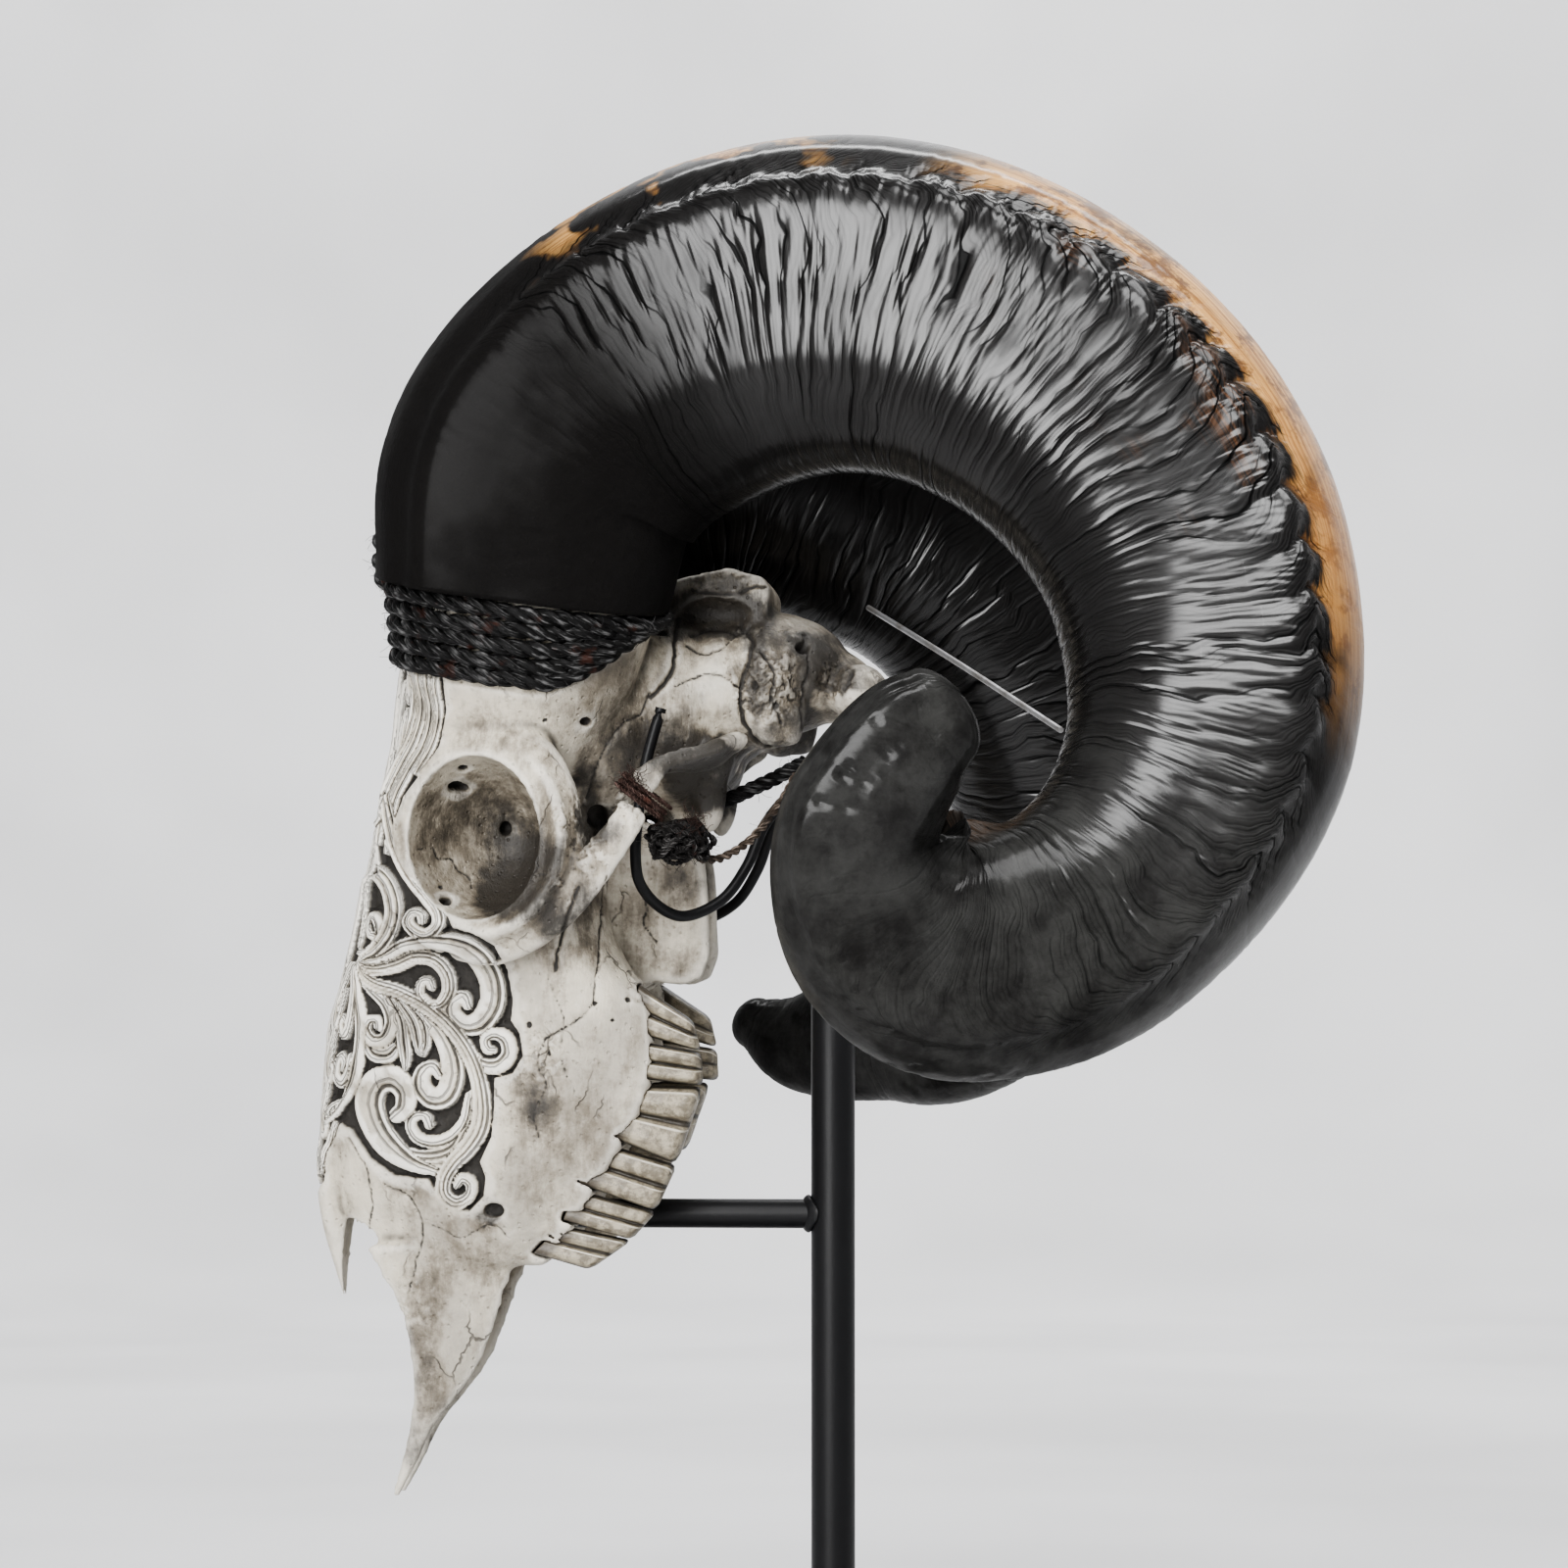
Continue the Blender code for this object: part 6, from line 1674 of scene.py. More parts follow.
def horn_look(settings):
    look = Look("black_horn")
    run, at, brim = look.attributes("run", "place", "brim")
    off_brim = look.step(brim, 0.9, 1.4)
    relief, bent, ribbed, swell = look.attributes("relief", "bent", "ribbed", "swell")
    grain = look.attribute("grain", "Vector")
    streaks = look.streaks(grain, (26.0, 26.0, 30.0), 4.0, 0.7)
    fine = look.streaks(grain, (90.0, 90.0, 60.0), 3.0, 0.6)
    clouds = look.clouds(24.0, 4.0, 0.6)
    base = look.mixed(look.step(clouds, 0.4, 0.7) * 0.6, settings.horn_colour, (0.008, 0.0074, 0.007))
    # Honey coloured, slightly clear horn on the outer edge of the upper curl
    edge = brim + (streaks - 0.5) * 1.1 + (clouds - 0.5) * 2.4 + swell * 0.8
    outer = 1.0 - look.step(edge, 1.6, 2.0)
    patches = look.step(look.clouds(30.0, 4.0, 0.6), 0.38, 0.5)
    band = outer * look.step(run, 0.3, 0.345) * (1.0 - look.step(run, 0.55, 0.64))
    early = (1.0 - look.step(edge, 1.6, 2.4)) * look.step(run, 0.125, 0.165) * (1.0 - look.step(run, 0.23, 0.28))
    honey = band * (0.45 + 0.55 * patches) + early * look.step(look.clouds(52.0, 3.0), 0.5, 0.58) * 0.9
    honey = look.math("MINIMUM", honey, 1.0)
    tone = look.mixed(look.step(streaks, 0.33, 0.6), (0.22, 0.095, 0.03), settings.honey_colour)
    mottles = look.step(look.clouds(75.0, 5.0, 0.7), 0.49, 0.6)
    tone = look.mixed(mottles * 0.85, tone, (0.1, 0.042, 0.016))
    tone = look.mixed(look.step(run, 0.42, 0.56) * 0.55, tone, (0.26, 0.115, 0.036))
    # Darker honey in the troughs between the keel's bumps: painted shade.
    tone = look.mixed(look.step(swell, -0.02, -0.25) * 0.8, tone, (0.03, 0.014, 0.008))
    base = look.mixed(honey, base, tone)
    stain = look.step(look.clouds(34.0, 3.0), 0.54, 0.68) * look.step(at, 2.0, 2.6)
    stain = stain * (1.0 - look.step(at, 3.8, 4.6))
    stain = stain * off_brim * look.step(run, 0.34, 0.4) * (1.0 - look.step(run, 0.5, 0.56))
    base = look.mixed(stain * look.step(streaks, 0.42, 0.6) * 0.85, base, (0.085, 0.037, 0.015))
    # The rubbed inner rim near the tip is brown
    rim = look.step(at, 6.2, 7.0) * (1.0 - look.step(at, 8.4, 9.4))
    rim = rim * look.step(run, 0.6, 0.68) * (1.0 - look.step(run, 0.8, 0.86))
    base = look.mixed(rim * off_brim * look.step(clouds, 0.42, 0.6) * 0.6, base, (0.085, 0.05, 0.028))
    glint = look.step(streaks, 0.6, 0.78)
    chosen = look.step(look.clouds(34.0, 3.0), 0.42, 0.62)
    lines = groove_rings(look, bent, settings.ring_spacing, 0.075) * (0.45 + 0.55 * chosen) * ribbed
    second = groove_rings(look, bent + 0.0011, settings.ring_spacing * 0.31, 0.16) * ribbed
    cut = look.math("MAXIMUM", look.step(relief, 0.3, 0.9) * 0.5, look.step(lines, 0.12, 0.45))
    # Near black along the growth grooves: painted shade in the grooves.
    base = look.mixed(cut * 0.9, base, (0.0012, 0.0012, 0.0012))
    foot, tip = 1.0 - look.step(run, 0.12, 0.25), look.step(run, 0.66, 0.8)
    matte = look.math("MINIMUM", foot + tip, 1.0)
    worn_tip = look.step(run, 0.6, 0.76) * look.step(look.clouds(60.0, 6.0, 0.7), 0.28, 0.68)
    base = look.mixed(worn_tip * 0.85, base, (0.034, 0.034, 0.0322))
    dusty = look.step(look.clouds(16.0, 4.0, 0.6), 0.45, 0.65)
    gloss = (1.0 - foot * (0.92 + 0.06 * dusty)) * (1.0 - tip * (0.62 + 0.2 * dusty))
    gloss = gloss * (1.0 - 0.35 * dusty) * (0.75 + 0.25 * glint)
    gloss = gloss * (1.0 - cut * 0.95) * (1.0 - second * 0.25)
    roughness = 0.5 - 0.16 * gloss + 0.1 * clouds + 0.12 * fine + 0.36 * matte
    hair = groove_rings(look, bent, 0.00095, 0.3)
    bump = streaks * 0.35 + fine * 0.3 + look.clouds(700.0, 2.0) * 0.2 - hair * ribbed * 0.3
    bump = bump - lines * 2.2 - second * 1.3
    pitted = look.clouds(210.0, 4.0, 0.7)
    bump = bump + pitted * matte * 2.6 + clouds * matte * 3.0
    shine = {"Specular_IOR_Level": 0.09, "Coat_Weight": gloss, "Coat_Roughness": 0.2}
    return look.finish(bump, 0.0003, Base_Color=base, Roughness=roughness, **shine)


def make_horns(settings):
    look = horn_look(settings)
    tree = growth_rings(look)
    for side, name, rings, sides in (
        (1, "horn_left", HORN_RINGS, HORN_SIDES),
        (-1, "horn_right", RIGHT_HORN_RINGS, RIGHT_HORN_SIDES),
    ):
        body = horn_body(side, f"ridged_{name}", rings, sides)
        rings = {key: getattr(settings, key) for key in ("ring_spacing", "ring_height", "keel_height")}
        grow(body, tree, **rings)
        finished(hardened(body), "horn", name)


def tooth_body(number, side):
    """One cheek tooth with fluted sides and a worn, rounded crown."""
    _, crown, roots, row, length = tooth_frame(number, side)
    middle_x, half_width = TOOTH_MIDDLE_X[5 - number], TOOTH_HALF_WIDTH[5 - number]
    curve = closed_curve(TOOTH_SECTION, TOOTH_SIDES)[1]
    chance = np.random.default_rng(100 + number * 2 + (side > 0))
    flutes = softened_round(chance.normal(size=TOOTH_SIDES), 2)
    places = curve[:, 0]
    ridge = sum(bell(places, at, 0.04) for at in TOOTH_RIDGES)
    groove = sum(bell(places, at, 0.06) for at in TOOTH_GROOVES)
    lobe = sum(bell(places, at, 0.16) for at in TOOTH_LOBES)
    relief = 0.7 * ridge - groove + 0.45 * lobe + 0.15 * flutes
    full = (roots[0].lerp(crown[0], length) - roots[0]).length
    rings = []
    for k in range(TOOTH_RINGS + 1):
        share = k / TOOTH_RINGS
        width = float(np.interp(share, [s for s, _ in TOOTH_WIDTHS], [v for _, v in TOOTH_WIDTHS]))
        a = roots[0].lerp(crown[0], share * length) + row * TOOTH_SPACING / 2
        b = roots[1].lerp(crown[1], share * length) - row * TOOTH_SPACING / 2
        left = (1.0 - share) * full
        close = math.sqrt(max(0.0, 1.0 - max(0.0, 1.0 - left / TOOTH_TIP) ** 2))
        close = 0.25 + 0.75 * close if k < TOOTH_RINGS else 0.22
        centre = (np.array(a) + np.array(b)) / 2
        ends = np.array(b) - np.array(a)
        along = (curve[:, 0] - 0.5) * (1.0 - 0.35 * (1.0 - close))
        across = curve[:, 1] * (1.0 + TOOTH_FLUTING * relief * min(1.0, share * 3)) * close
        ring = centre + along[:, None] * ends
        ring[:, 0] = middle_x + across * half_width * width
        ring = ring + 0.00012 * flutes[:, None] * np.array((0.0, *ends[1:])) / np.linalg.norm(ends)
        ring[:, 0] *= side
        rings.append(ring)
    return rings, relief


def softened_round(values, rounds):
    for _ in range(rounds):
        values = (np.roll(values, 1) + values * 2 + np.roll(values, -1)) / 4
    return values / np.abs(values).max()


def make_teeth(settings):
    look = tooth_look(settings)
    for side, word in BOTH_SIDES:
        for number in range(6):
            shape = bmesh.new()
            rings, relief = tooth_body(number, side)
            skin_rings(shape, rings)
            name = f"tooth_{word}_{number + 1}"
            tooth = scratch(f"fluted_{name}", shape)
            run = np.repeat(np.linspace(0, 1, len(rings)), len(relief))
            set_marks(tooth.data, {"relief": np.tile(relief, len(rings)), "run": run})
            finished(painted(tooth, look), "teeth", name)


def tooth_look(settings):
    look = Look("worn_teeth")
    relief, run = look.attributes("relief", "run")
    streaks = look.streaks(look.place, (500.0, 130.0, 500.0), 4.0, 0.65)
    clouds = look.clouds(260.0, 5.0, 0.7)
    base = look.mixed(look.step(clouds, 0.4, 0.6), settings.tooth_colour, (0.15, 0.128, 0.092))
    base = look.mixed(look.step(streaks, 0.5, 0.68) * 0.6, base, (0.085, 0.068, 0.048))
    # Lighter on the ridges and near black in the flutes: painted highlight and painted shade of the fluting.
    base = look.mixed(look.step(relief + clouds * 0.5, 0.8, 1.15) * 0.9, base, (0.78, 0.74, 0.64))
    base = look.mixed(look.step(relief + clouds * 0.4, 0.15, -0.45) * 0.92, base, (0.024, 0.02, 0.015))
    base = look.mixed(look.step(run + clouds * 0.2, 0.42, 0.26) * 0.8, base, (0.045, 0.036, 0.028))
    roughness = 0.34 + 0.25 * clouds
    bump = streaks * 0.5 + clouds * 1.0
    return look.finish(bump, 0.0005, Base_Color=base, Roughness=roughness, Coat_Weight=0.15 * clouds)


def path_object(name, paths):
    """A mesh of edges: each path is a list of points, with a thickness share at each."""
    mesh = bpy.data.meshes.new(name)
    points, edges, shares = [], [], []
    for path in paths:
        first = len(points)
        for row in path:
            points.append(tuple(float(v) for v in row[:3]))
            shares.append(float(row[3]) if len(row) > 3 else 1.0)
        edges += [(k, k + 1) for k in range(first, len(points) - 1)]
    mesh.from_pydata(points, edges, [])
    mesh.attributes.new("share", "FLOAT", "POINT").data.foreach_set("value", shares)
    return linked(name, mesh)


def cord_tree():
    """Strands wound round each other along each path, or one plain strand."""
    tree = Growth("wound_strands")
    strands = tree.setting("Strands", "Int", 3)
    radius = tree.setting("Strand Radius", "Float", 0.001)
    winding = tree.setting("Winding Radius", "Float", 0.001)
    pitch = tree.setting("Turn Length", "Float", 0.009)
    step = tree.setting("Step", "Float", 0.0006)
    sides = tree.setting("Sides", "Int", 8)
    material = tree.setting("Finish", "Material")
    curve = tree.only("MeshToCurve", tree.shape)
    curve = tree.node("GeometryNodeResampleCurve", {"mode": "LENGTH"}, {"Curve": curve, "Length": step})
    sockets = {"Geometry": curve, "Amount": strands}
    copies = tree.node("GeometryNodeDuplicateElements", {"domain": "SPLINE"}, sockets)
    number = tree.other_output(copies, "Duplicate Index")
    share = tree.named("share")
    along = tree.other_output(tree.node("GeometryNodeSplineParameter"), "Length")
    angle = along * (2 * math.pi) / pitch + number * (2 * math.pi) / strands
    normal = tree.node("GeometryNodeInputNormal")
    tangent = tree.node("GeometryNodeInputTangent")
    other = tree.vector("CROSS_PRODUCT", tangent, normal)
    offset = tree.vector(
        "ADD",
        tree.vector("SCALE", normal, tree.math("COSINE", angle) * winding * share),
        tree.vector("SCALE", other, tree.math("SINE", angle) * winding * share),
    )
    sway = tree.noise(tree.node("GeometryNodeInputPosition"), 170.0, 2.0)
    sway = tree.vector("SUBTRACT", tree.other_output(sway, "Color"), (0.5, 0.5, 0.5))
    offset = tree.vector("ADD", offset, tree.vector("SCALE", sway, winding * 1.1))
    curve = tree.moved(tree.stored(copies, "run", along), offset)
    curve = tree.node("GeometryNodeSetCurveRadius", None, {"Curve": curve, "Radius": share})
    ring = tree.stored(tree.circle(sides, radius), "turn", tree.node("GeometryNodeSplineParameter"))
    return tree.end(tree.only("SetShadeSmooth", tree.tube(curve, ring)), material)


def fibre_tree():
    """Loose fibres that stand off the surface of a cord."""
    tree = Growth("loose_fibres")
    density = tree.setting("Density", "Float", 50000.0)
    length = tree.setting("Fibre Length", "Float", 0.002)
    thickness = tree.setting("Fibre Radius", "Float", 0.00005)
    seed = tree.setting("Seed", "Int", 1)
    material = tree.setting("Finish", "Material")
    sockets = {"Mesh": tree.shape, "Density": density, "Seed": seed}
    points = tree.node("GeometryNodeDistributePointsOnFaces", None, sockets)
    facing = tree.other_output(points, "Rotation")
    ends = {"Resolution": 4, "Start": (0.0, 0.0, 0.0), "Middle": (0.25, 0.0, 0.55), "End": (0.9, 0.25, 0.7)}
    fibre = tree.node("GeometryNodeCurveQuadraticBezier", None, ends)
    fibre = tree.tube(fibre, tree.circle(3, thickness / length))
    spin = {"Min": (-0.9, -0.9, -math.pi), "Max": (0.9, 0.9, math.pi), "Seed": seed}
    spin = tree.node("FunctionNodeRandomValue", {"data_type": "FLOAT_VECTOR"}, spin)
    turned = {"Rotation": facing, "Rotate By": spin}
    facing = tree.node("FunctionNodeRotateRotation", {"rotation_space": "LOCAL"}, turned)
    size = {2: 0.35, 3: 1.3, "Seed": seed}
    size = tree.node("FunctionNodeRandomValue", {"data_type": "FLOAT"}, size, 1)
    sockets = {"Points": points, "Instance": fibre, "Rotation": facing, "Scale": size * length}
    fibres = tree.node("GeometryNodeInstanceOnPoints", None, sockets)
    join = tree.tree.nodes.new("GeometryNodeJoinGeometry")
    tree.tree.links.new(fibres.socket, join.inputs[0])
    tree.tree.links.new(tree.shape.socket, join.inputs[0])
    return tree.end(Value(tree, join.outputs[0]), material)


def fibre_look(name, colour, other_colour, share):
    look = Look(name)
    run, twist = look.attributes("run", "turn")
    place = look.node("ShaderNodeCombineXYZ", None, {0: run * 300.0, 1: twist * 9.0, 2: run * 40.0})
    threads = look.noise(place, 1.0, 3.0, 0.6)
    clouds = look.clouds(160.0, 3.0)
    # Lighter along the threads: the fibres' own grey and painted highlights on them.
    base = look.mixed(look.step(threads, 0.5, 0.7), colour, tuple(min(1.0, c * 6.0 + 0.095) for c in colour))
    base = look.mixed(look.step(clouds, 0.6, 0.72) * share, base, other_colour)
    return look.finish(threads, 0.0008, Specular_IOR_Level=0.22, Base_Color=base, Roughness=0.55 + 0.25 * clouds)


def turn_paths(side):
    """The turns of rope round a pedicle, from the lowest up, kept between the band's edges."""
    centre, axis, across, along = (np.array(v) for v in seat_frame(side))
    radius = ROPE_TURN_HEIGHT / 2
    paths = []
    for turn in range(ROPE_TURNS):
        path = []
        wobble = np.random.default_rng(40 + turn + 10 * (side > 0)).normal(size=2)
        for k in range(ROPE_POINTS + 1):
            angle = math.pi / 2 + 2 * math.pi * k / ROPE_POINTS * ROPE_TURN_SHARE
            low, high = rope_low(angle) + 0.0002, ROPE_HALF_HEIGHT - 0.0002
            step = (high - low) / ROPE_TURNS
            share = min(1.0, max(0.55, (high - low) / (2.2 * radius)))
            height = low + step * (turn + 0.5)
            height = min(max(height, low + radius * share), high - radius * share)
            height += 0.00025 * math.sin(3 * angle + wobble[0] * 3) * (1.0 if step > radius else 0.0)
            out = ROPE_THICKNESS - radius * share * 0.92 + 0.0002 * math.sin(5 * angle + wobble[1] * 3)
            radii = pedicle_radii(height, out)
            point = centre + axis * height
            point = point + across * radii[0] * math.cos(angle) + along * radii[1] * math.sin(angle)
            path.append((*point, share))
        paths.append(path)
    return paths


def crossing_paths():
    """The same rope where it passes over the forehead between the horns."""
    route = np.array(ROPE_CROSSING_ROUTE)
    paths = []
    half_height, half_depth = ROPE_CROSSING_RADII
    for turn in range(CROSSING_STRANDS):
        lift = (turn - 1.5) / 1.5 * (half_height - ROPE_TURN_HEIGHT / 2)
        rows = smooth_through(route, 10)
        rows[:, 2] += lift
        rows[:, 1] -= (half_depth - ROPE_TURN_HEIGHT / 2) * (1.0 - 0.25 * abs(turn - 1.5))
        paths.append([(*row, 1.0) for row in rows])
    return paths


def make_cord(name, paths, look, trees, twist, fuzz):
    """A cord along each path: its twist, then the density, length, radius and seed of its loose fibres."""
    piece = path_object(name, paths)
    keys = ("strands", "strand_radius", "winding_radius", "turn_length", "step", "sides")
    grow(piece, trees[0], finish=look, **dict(zip(keys, twist)))
    if fuzz:
        keys = ("density", "fibre_length", "fibre_radius", "seed")
        grow(piece, trees[1], finish=look, **dict(zip(keys, fuzz)))
    return hardened(piece)


def make_ropes(settings):
    look = fibre_look("black_rope", settings.rope_colour, (0.075, 0.022, 0.012), 0.35)
    trees = cord_tree(), fibre_tree()
    strand = ROPE_TURN_HEIGHT * 0.25
    twist = (settings.rope_strands, strand * 1.04, strand * 1.12, settings.rope_pitch, 0.0007, 8)
    ropes = {"rope_left": turn_paths(1), "rope_right": turn_paths(-1), "rope_crossing": crossing_paths()}
    for number, (name, paths) in enumerate(ropes.items()):
        fuzz = (settings.rope_fuzz, 0.0024, 0.000045, 5 + number)
        finished(make_cord(f"twisted_{name}", paths, look, trees, twist, fuzz), "rope", name)


def knot_loops(seed):
    """Tilted loops of string round an oval clump."""
    chance = np.random.default_rng(seed)
    paths = []
    for _ in range(KNOT_LOOPS):
        normal = chance.normal(size=3)
        normal /= np.linalg.norm(normal)
        u = np.cross(normal, (0.3, 0.5, 0.8))
        u /= np.linalg.norm(u)
        v = np.cross(normal, u)
        shift = chance.normal(size=3) * 0.12
        size = chance.uniform(0.72, 1.0)
        path = []
        for k in range(LOOP_POINTS + 1):
            angle = 2 * math.pi * k / LOOP_POINTS * LOOP_SHARE
            wave = 1.0 + 0.08 * math.sin(4 * angle + size * 9)
            point = (u * math.cos(angle) + v * math.sin(angle)) * size * wave + shift
            path.append((*(np.array(KNOT_CENTRE) + point * np.array(KNOT_RADII)), 1.0))
        paths.append(path)
    return paths


def string_turns(side):
    """Turns of string round the cheek arch beside its break."""
    centre = np.array((ARCH_STRING_CENTRE[0] * side, *ARCH_STRING_CENTRE[1:]))
    axis = np.array(Vector(ARCH_STRING_DIRECTION).normalized())
    across = np.array((1.0, 0.0, 0.0))
    other = np.cross(axis, across)
    path = []
    for k in range(STRING_POINTS + 1):
        angle = 2 * math.pi * STRING_TURNS * k / STRING_POINTS
        height = ARCH_STRING_WIDTH * (k / STRING_POINTS - 0.5) * 1.25 + 0.0006 * math.sin(angle * 0.5 + 1)
        out = 0.0006 + 0.0003 * math.sin(angle * 1.7)
        point = centre + axis * height
        point = point + across * (ARCH_STRING_RADIUS[0] + out) * math.cos(angle)
        point = point + other * (ARCH_STRING_RADIUS[1] + out) * math.sin(angle)
        path.append((*point, 1.0))
    return [path]


def curly_fibres(centre, count, length, seed, away):
    """Frayed ends that curl away from a tie."""
    chance = np.random.default_rng(seed)
    paths = []
    for _ in range(count):
        heading = chance.normal(size=3) + np.array(away)
        heading /= np.linalg.norm(heading)
        point = np.array(centre) + chance.normal(size=3) * length * 0.12
        path = []
        for k in range(FIBRE_POINTS):
            path.append((*point, 1.0 - 0.06 * k))
            heading = heading + chance.normal(size=3) * 0.45
            heading /= np.linalg.norm(heading)
            point = point + heading * length / FIBRE_POINTS * chance.uniform(0.6, 1.2)
        paths.append(path)
    return paths


def cord_path(route):
    return [[(*row, 1.0) for row in smooth_through(route, 8)]]


def make_strings(settings):
    brown = fibre_look("brown_string", settings.string_colour, (0.105, 0.036, 0.024), 0.5)
    tan = fibre_look("tan_cord", (0.04, 0.029, 0.021), (0.012, 0.009, 0.008), 0.6)
    dark = fibre_look("dark_string", (0.006, 0.005, 0.0045), (0.06, 0.016, 0.011), 0.45)
    black = fibre_look("black_cord", settings.rope_colour, (0.02, 0.012, 0.01), 0.2)
    trees = cord_tree(), fibre_tree()
    for side, word in BOTH_SIDES:
        name = f"arch_string_{word}"
        hair = (120000.0, 0.0022, 0.00004, 21)
        piece = make_cord(f"wound_{name}", string_turns(side), brown, trees, THIN_TWIST, hair)
        finished(piece, "string", name)
    frayed = [path for ends in FRAYED_ENDS for path in curly_fibres(*ends)]
    finished(make_cord("frayed_tuft", frayed, brown, trees, SINGLE_HAIR, None), "string")
    hair = (90000.0, 0.003, 0.00005, 23)
    finished(make_cord("tangled_knot", knot_loops(51), dark, trees, KNOT_TWIST, hair), "string", "string_knot")
    hair = (60000.0, 0.002, 0.00004, 25)
    piece = make_cord("twisted_brown_cord", cord_path(BROWN_CORD_ROUTE), tan, trees, BROWN_TWIST, hair)
    finished(piece, "string", "brown_cord")
    hair = (60000.0, 0.0024, 0.00005, 27)
    piece = make_cord("twisted_black_cord", cord_path(BLACK_CORD_ROUTE), black, trees, BLACK_TWIST, hair)
    finished(piece, "rope", "black_cord")


def rod_path(route, radius, steps, round_start, round_end):
    """A route whose ends may be rounded: thickness shares that follow a quarter circle."""
    rows = smooth_through(route, steps)
    ahead = rows[1] - rows[0], rows[-1] - rows[-2]
    start_way, end_way = (way / np.linalg.norm(way) for way in ahead)
    path = []
    turns = [(math.sin(a), math.cos(a)) for a in np.linspace(0.0, math.pi / 2 * 0.97, ROD_END_RINGS)]
    if round_start:
        path += [(*(rows[0] + start_way * radius * (1 - s)), c) for s, c in reversed(turns)]
    else:
        path.append((*rows[0], 1.0))
    path += [(*row, 1.0) for row in rows[1:-1]]
    if round_end:
        path += [(*(rows[-1] - end_way * radius * (1 - s)), c) for s, c in turns]
    else:
        path.append((*rows[-1], 1.0))
    return path


def rod_tree():
    """A round rod along each path, as thick as the path's share says."""
    tree = Growth("round_rod")
    radius = tree.setting("Rod Radius", "Float", 0.0015)
    sides = tree.setting("Sides", "Int", 24)
    material = tree.setting("Finish", "Material")
    curve = tree.only("MeshToCurve", tree.shape)
    curve = tree.node("GeometryNodeSetCurveRadius", None, {"Curve": curve, "Radius": tree.named("share")})
    shape = tree.tube(curve, tree.circle(sides, radius))
    return tree.end(tree.only("SetShadeSmooth", shape), material)


def make_rod(name, route, radius, look, tree, sides, steps, ends=(True, True)):
    piece = path_object(name, [rod_path(route, radius, steps, *ends)])
    grow(piece, tree, rod_radius=radius, sides=sides, finish=look)
    return hardened(piece)


def stand_look(settings):
    look = Look("black_steel")
    clouds = look.clouds(40.0, 4.0, 0.6)
    grain = look.clouds(1400.0, 2.0, 0.6)
    scuffs = look.step(look.streaks(look.place, (220.0, 220.0, 18.0), 4.0, 0.7), 0.66, 0.78)
    base = look.mixed(clouds * 0.5, settings.stand_colour, (0.012, 0.012, 0.013))
    base = look.mixed(scuffs * 0.25, base, (0.1, 0.1, 0.1))
    roughness = 0.34 + 0.14 * clouds + 0.12 * scuffs
    bump = grain * 0.5 + clouds * 0.5
    return look.finish(bump, 0.0001, Specular_IOR_Level=0.2, Base_Color=base, Roughness=roughness)


def wire_look():
    look = Look("grey_wire")
    clouds = look.clouds(120.0, 4.0, 0.6)
    grain = look.clouds(1600.0, 2.0, 0.6)
    base = look.mixed(look.step(clouds, 0.4, 0.7), (0.42, 0.42, 0.43), (0.22, 0.21, 0.2))
    return look.finish(grain, 0.00005, Base_Color=base, Roughness=0.32 + 0.3 * clouds, Metallic=0.9 - 0.3 * clouds)


def make_stand(settings):
    look, tree = stand_look(settings), rod_tree()
    shape = bmesh.new()
    place = Matrix.Translation((0.0, 0.0, BASE_SIZE[2] / 2)) @ Matrix.Diagonal((*BASE_SIZE, 1.0))
    bmesh.ops.create_cube(shape, size=1.0, matrix=place)
    for upright, offset, segments in ((True, BASE_CORNER, 12), (False, BASE_EDGE, 4)):
        edges = [e for e in shape.edges if (abs((e.verts[0].co - e.verts[1].co).z) > BASE_SIZE[2] / 2) == upright]
        bmesh.ops.bevel(shape, geom=edges, offset=offset, segments=segments, affect="EDGES", profile=0.5)
    base = painted(scratch("steel_base", shape), look)
    base.data.set_sharp_from_angle(angle=math.radians(40))
    finished(base, "stand", "stand_base")
    flat_foot = (False, True)
    route = [(0.0, 0.0, z) for z in (BASE_SIZE[2] + CONTACT_GAP, 0.15, POLE_TOP)]
    pole = make_rod("steel_pole", route, POLE_RADIUS, look, tree, 64, 6, flat_foot)
    finished(pole, "stand", "stand_pole")
    route = [(0.0, y, ARM_HEIGHT) for y in (-POLE_RADIUS - CONTACT_GAP, -0.04, ARM_TIP_Y)]
    finished(make_rod("steel_arm", route, ARM_RADIUS, look, tree, 48, 6, flat_foot), "stand", "stand_arm")
    finished(weld_bead(look), "stand")
    for side, word in BOTH_SIDES:
        route = [(x * side, y, z) for x, y, z in HOOK_ROUTE]
        hook = make_rod(f"steel_hook_{word}", route, HOOK_RADIUS, look, tree, 20, 12)
        finished(hook, "stand", f"hook_{word}")
    middle = tuple(np.add(*WIRE_ENDS) / 2 + np.array((0.0, 0.0, WIRE_BOW)))
    route = [WIRE_ENDS[0], middle, WIRE_ENDS[1]]
    finished(make_rod("thin_wire", route, WIRE_RADIUS, wire_look(), tree, 16, 12), "wire", "horn_wire")


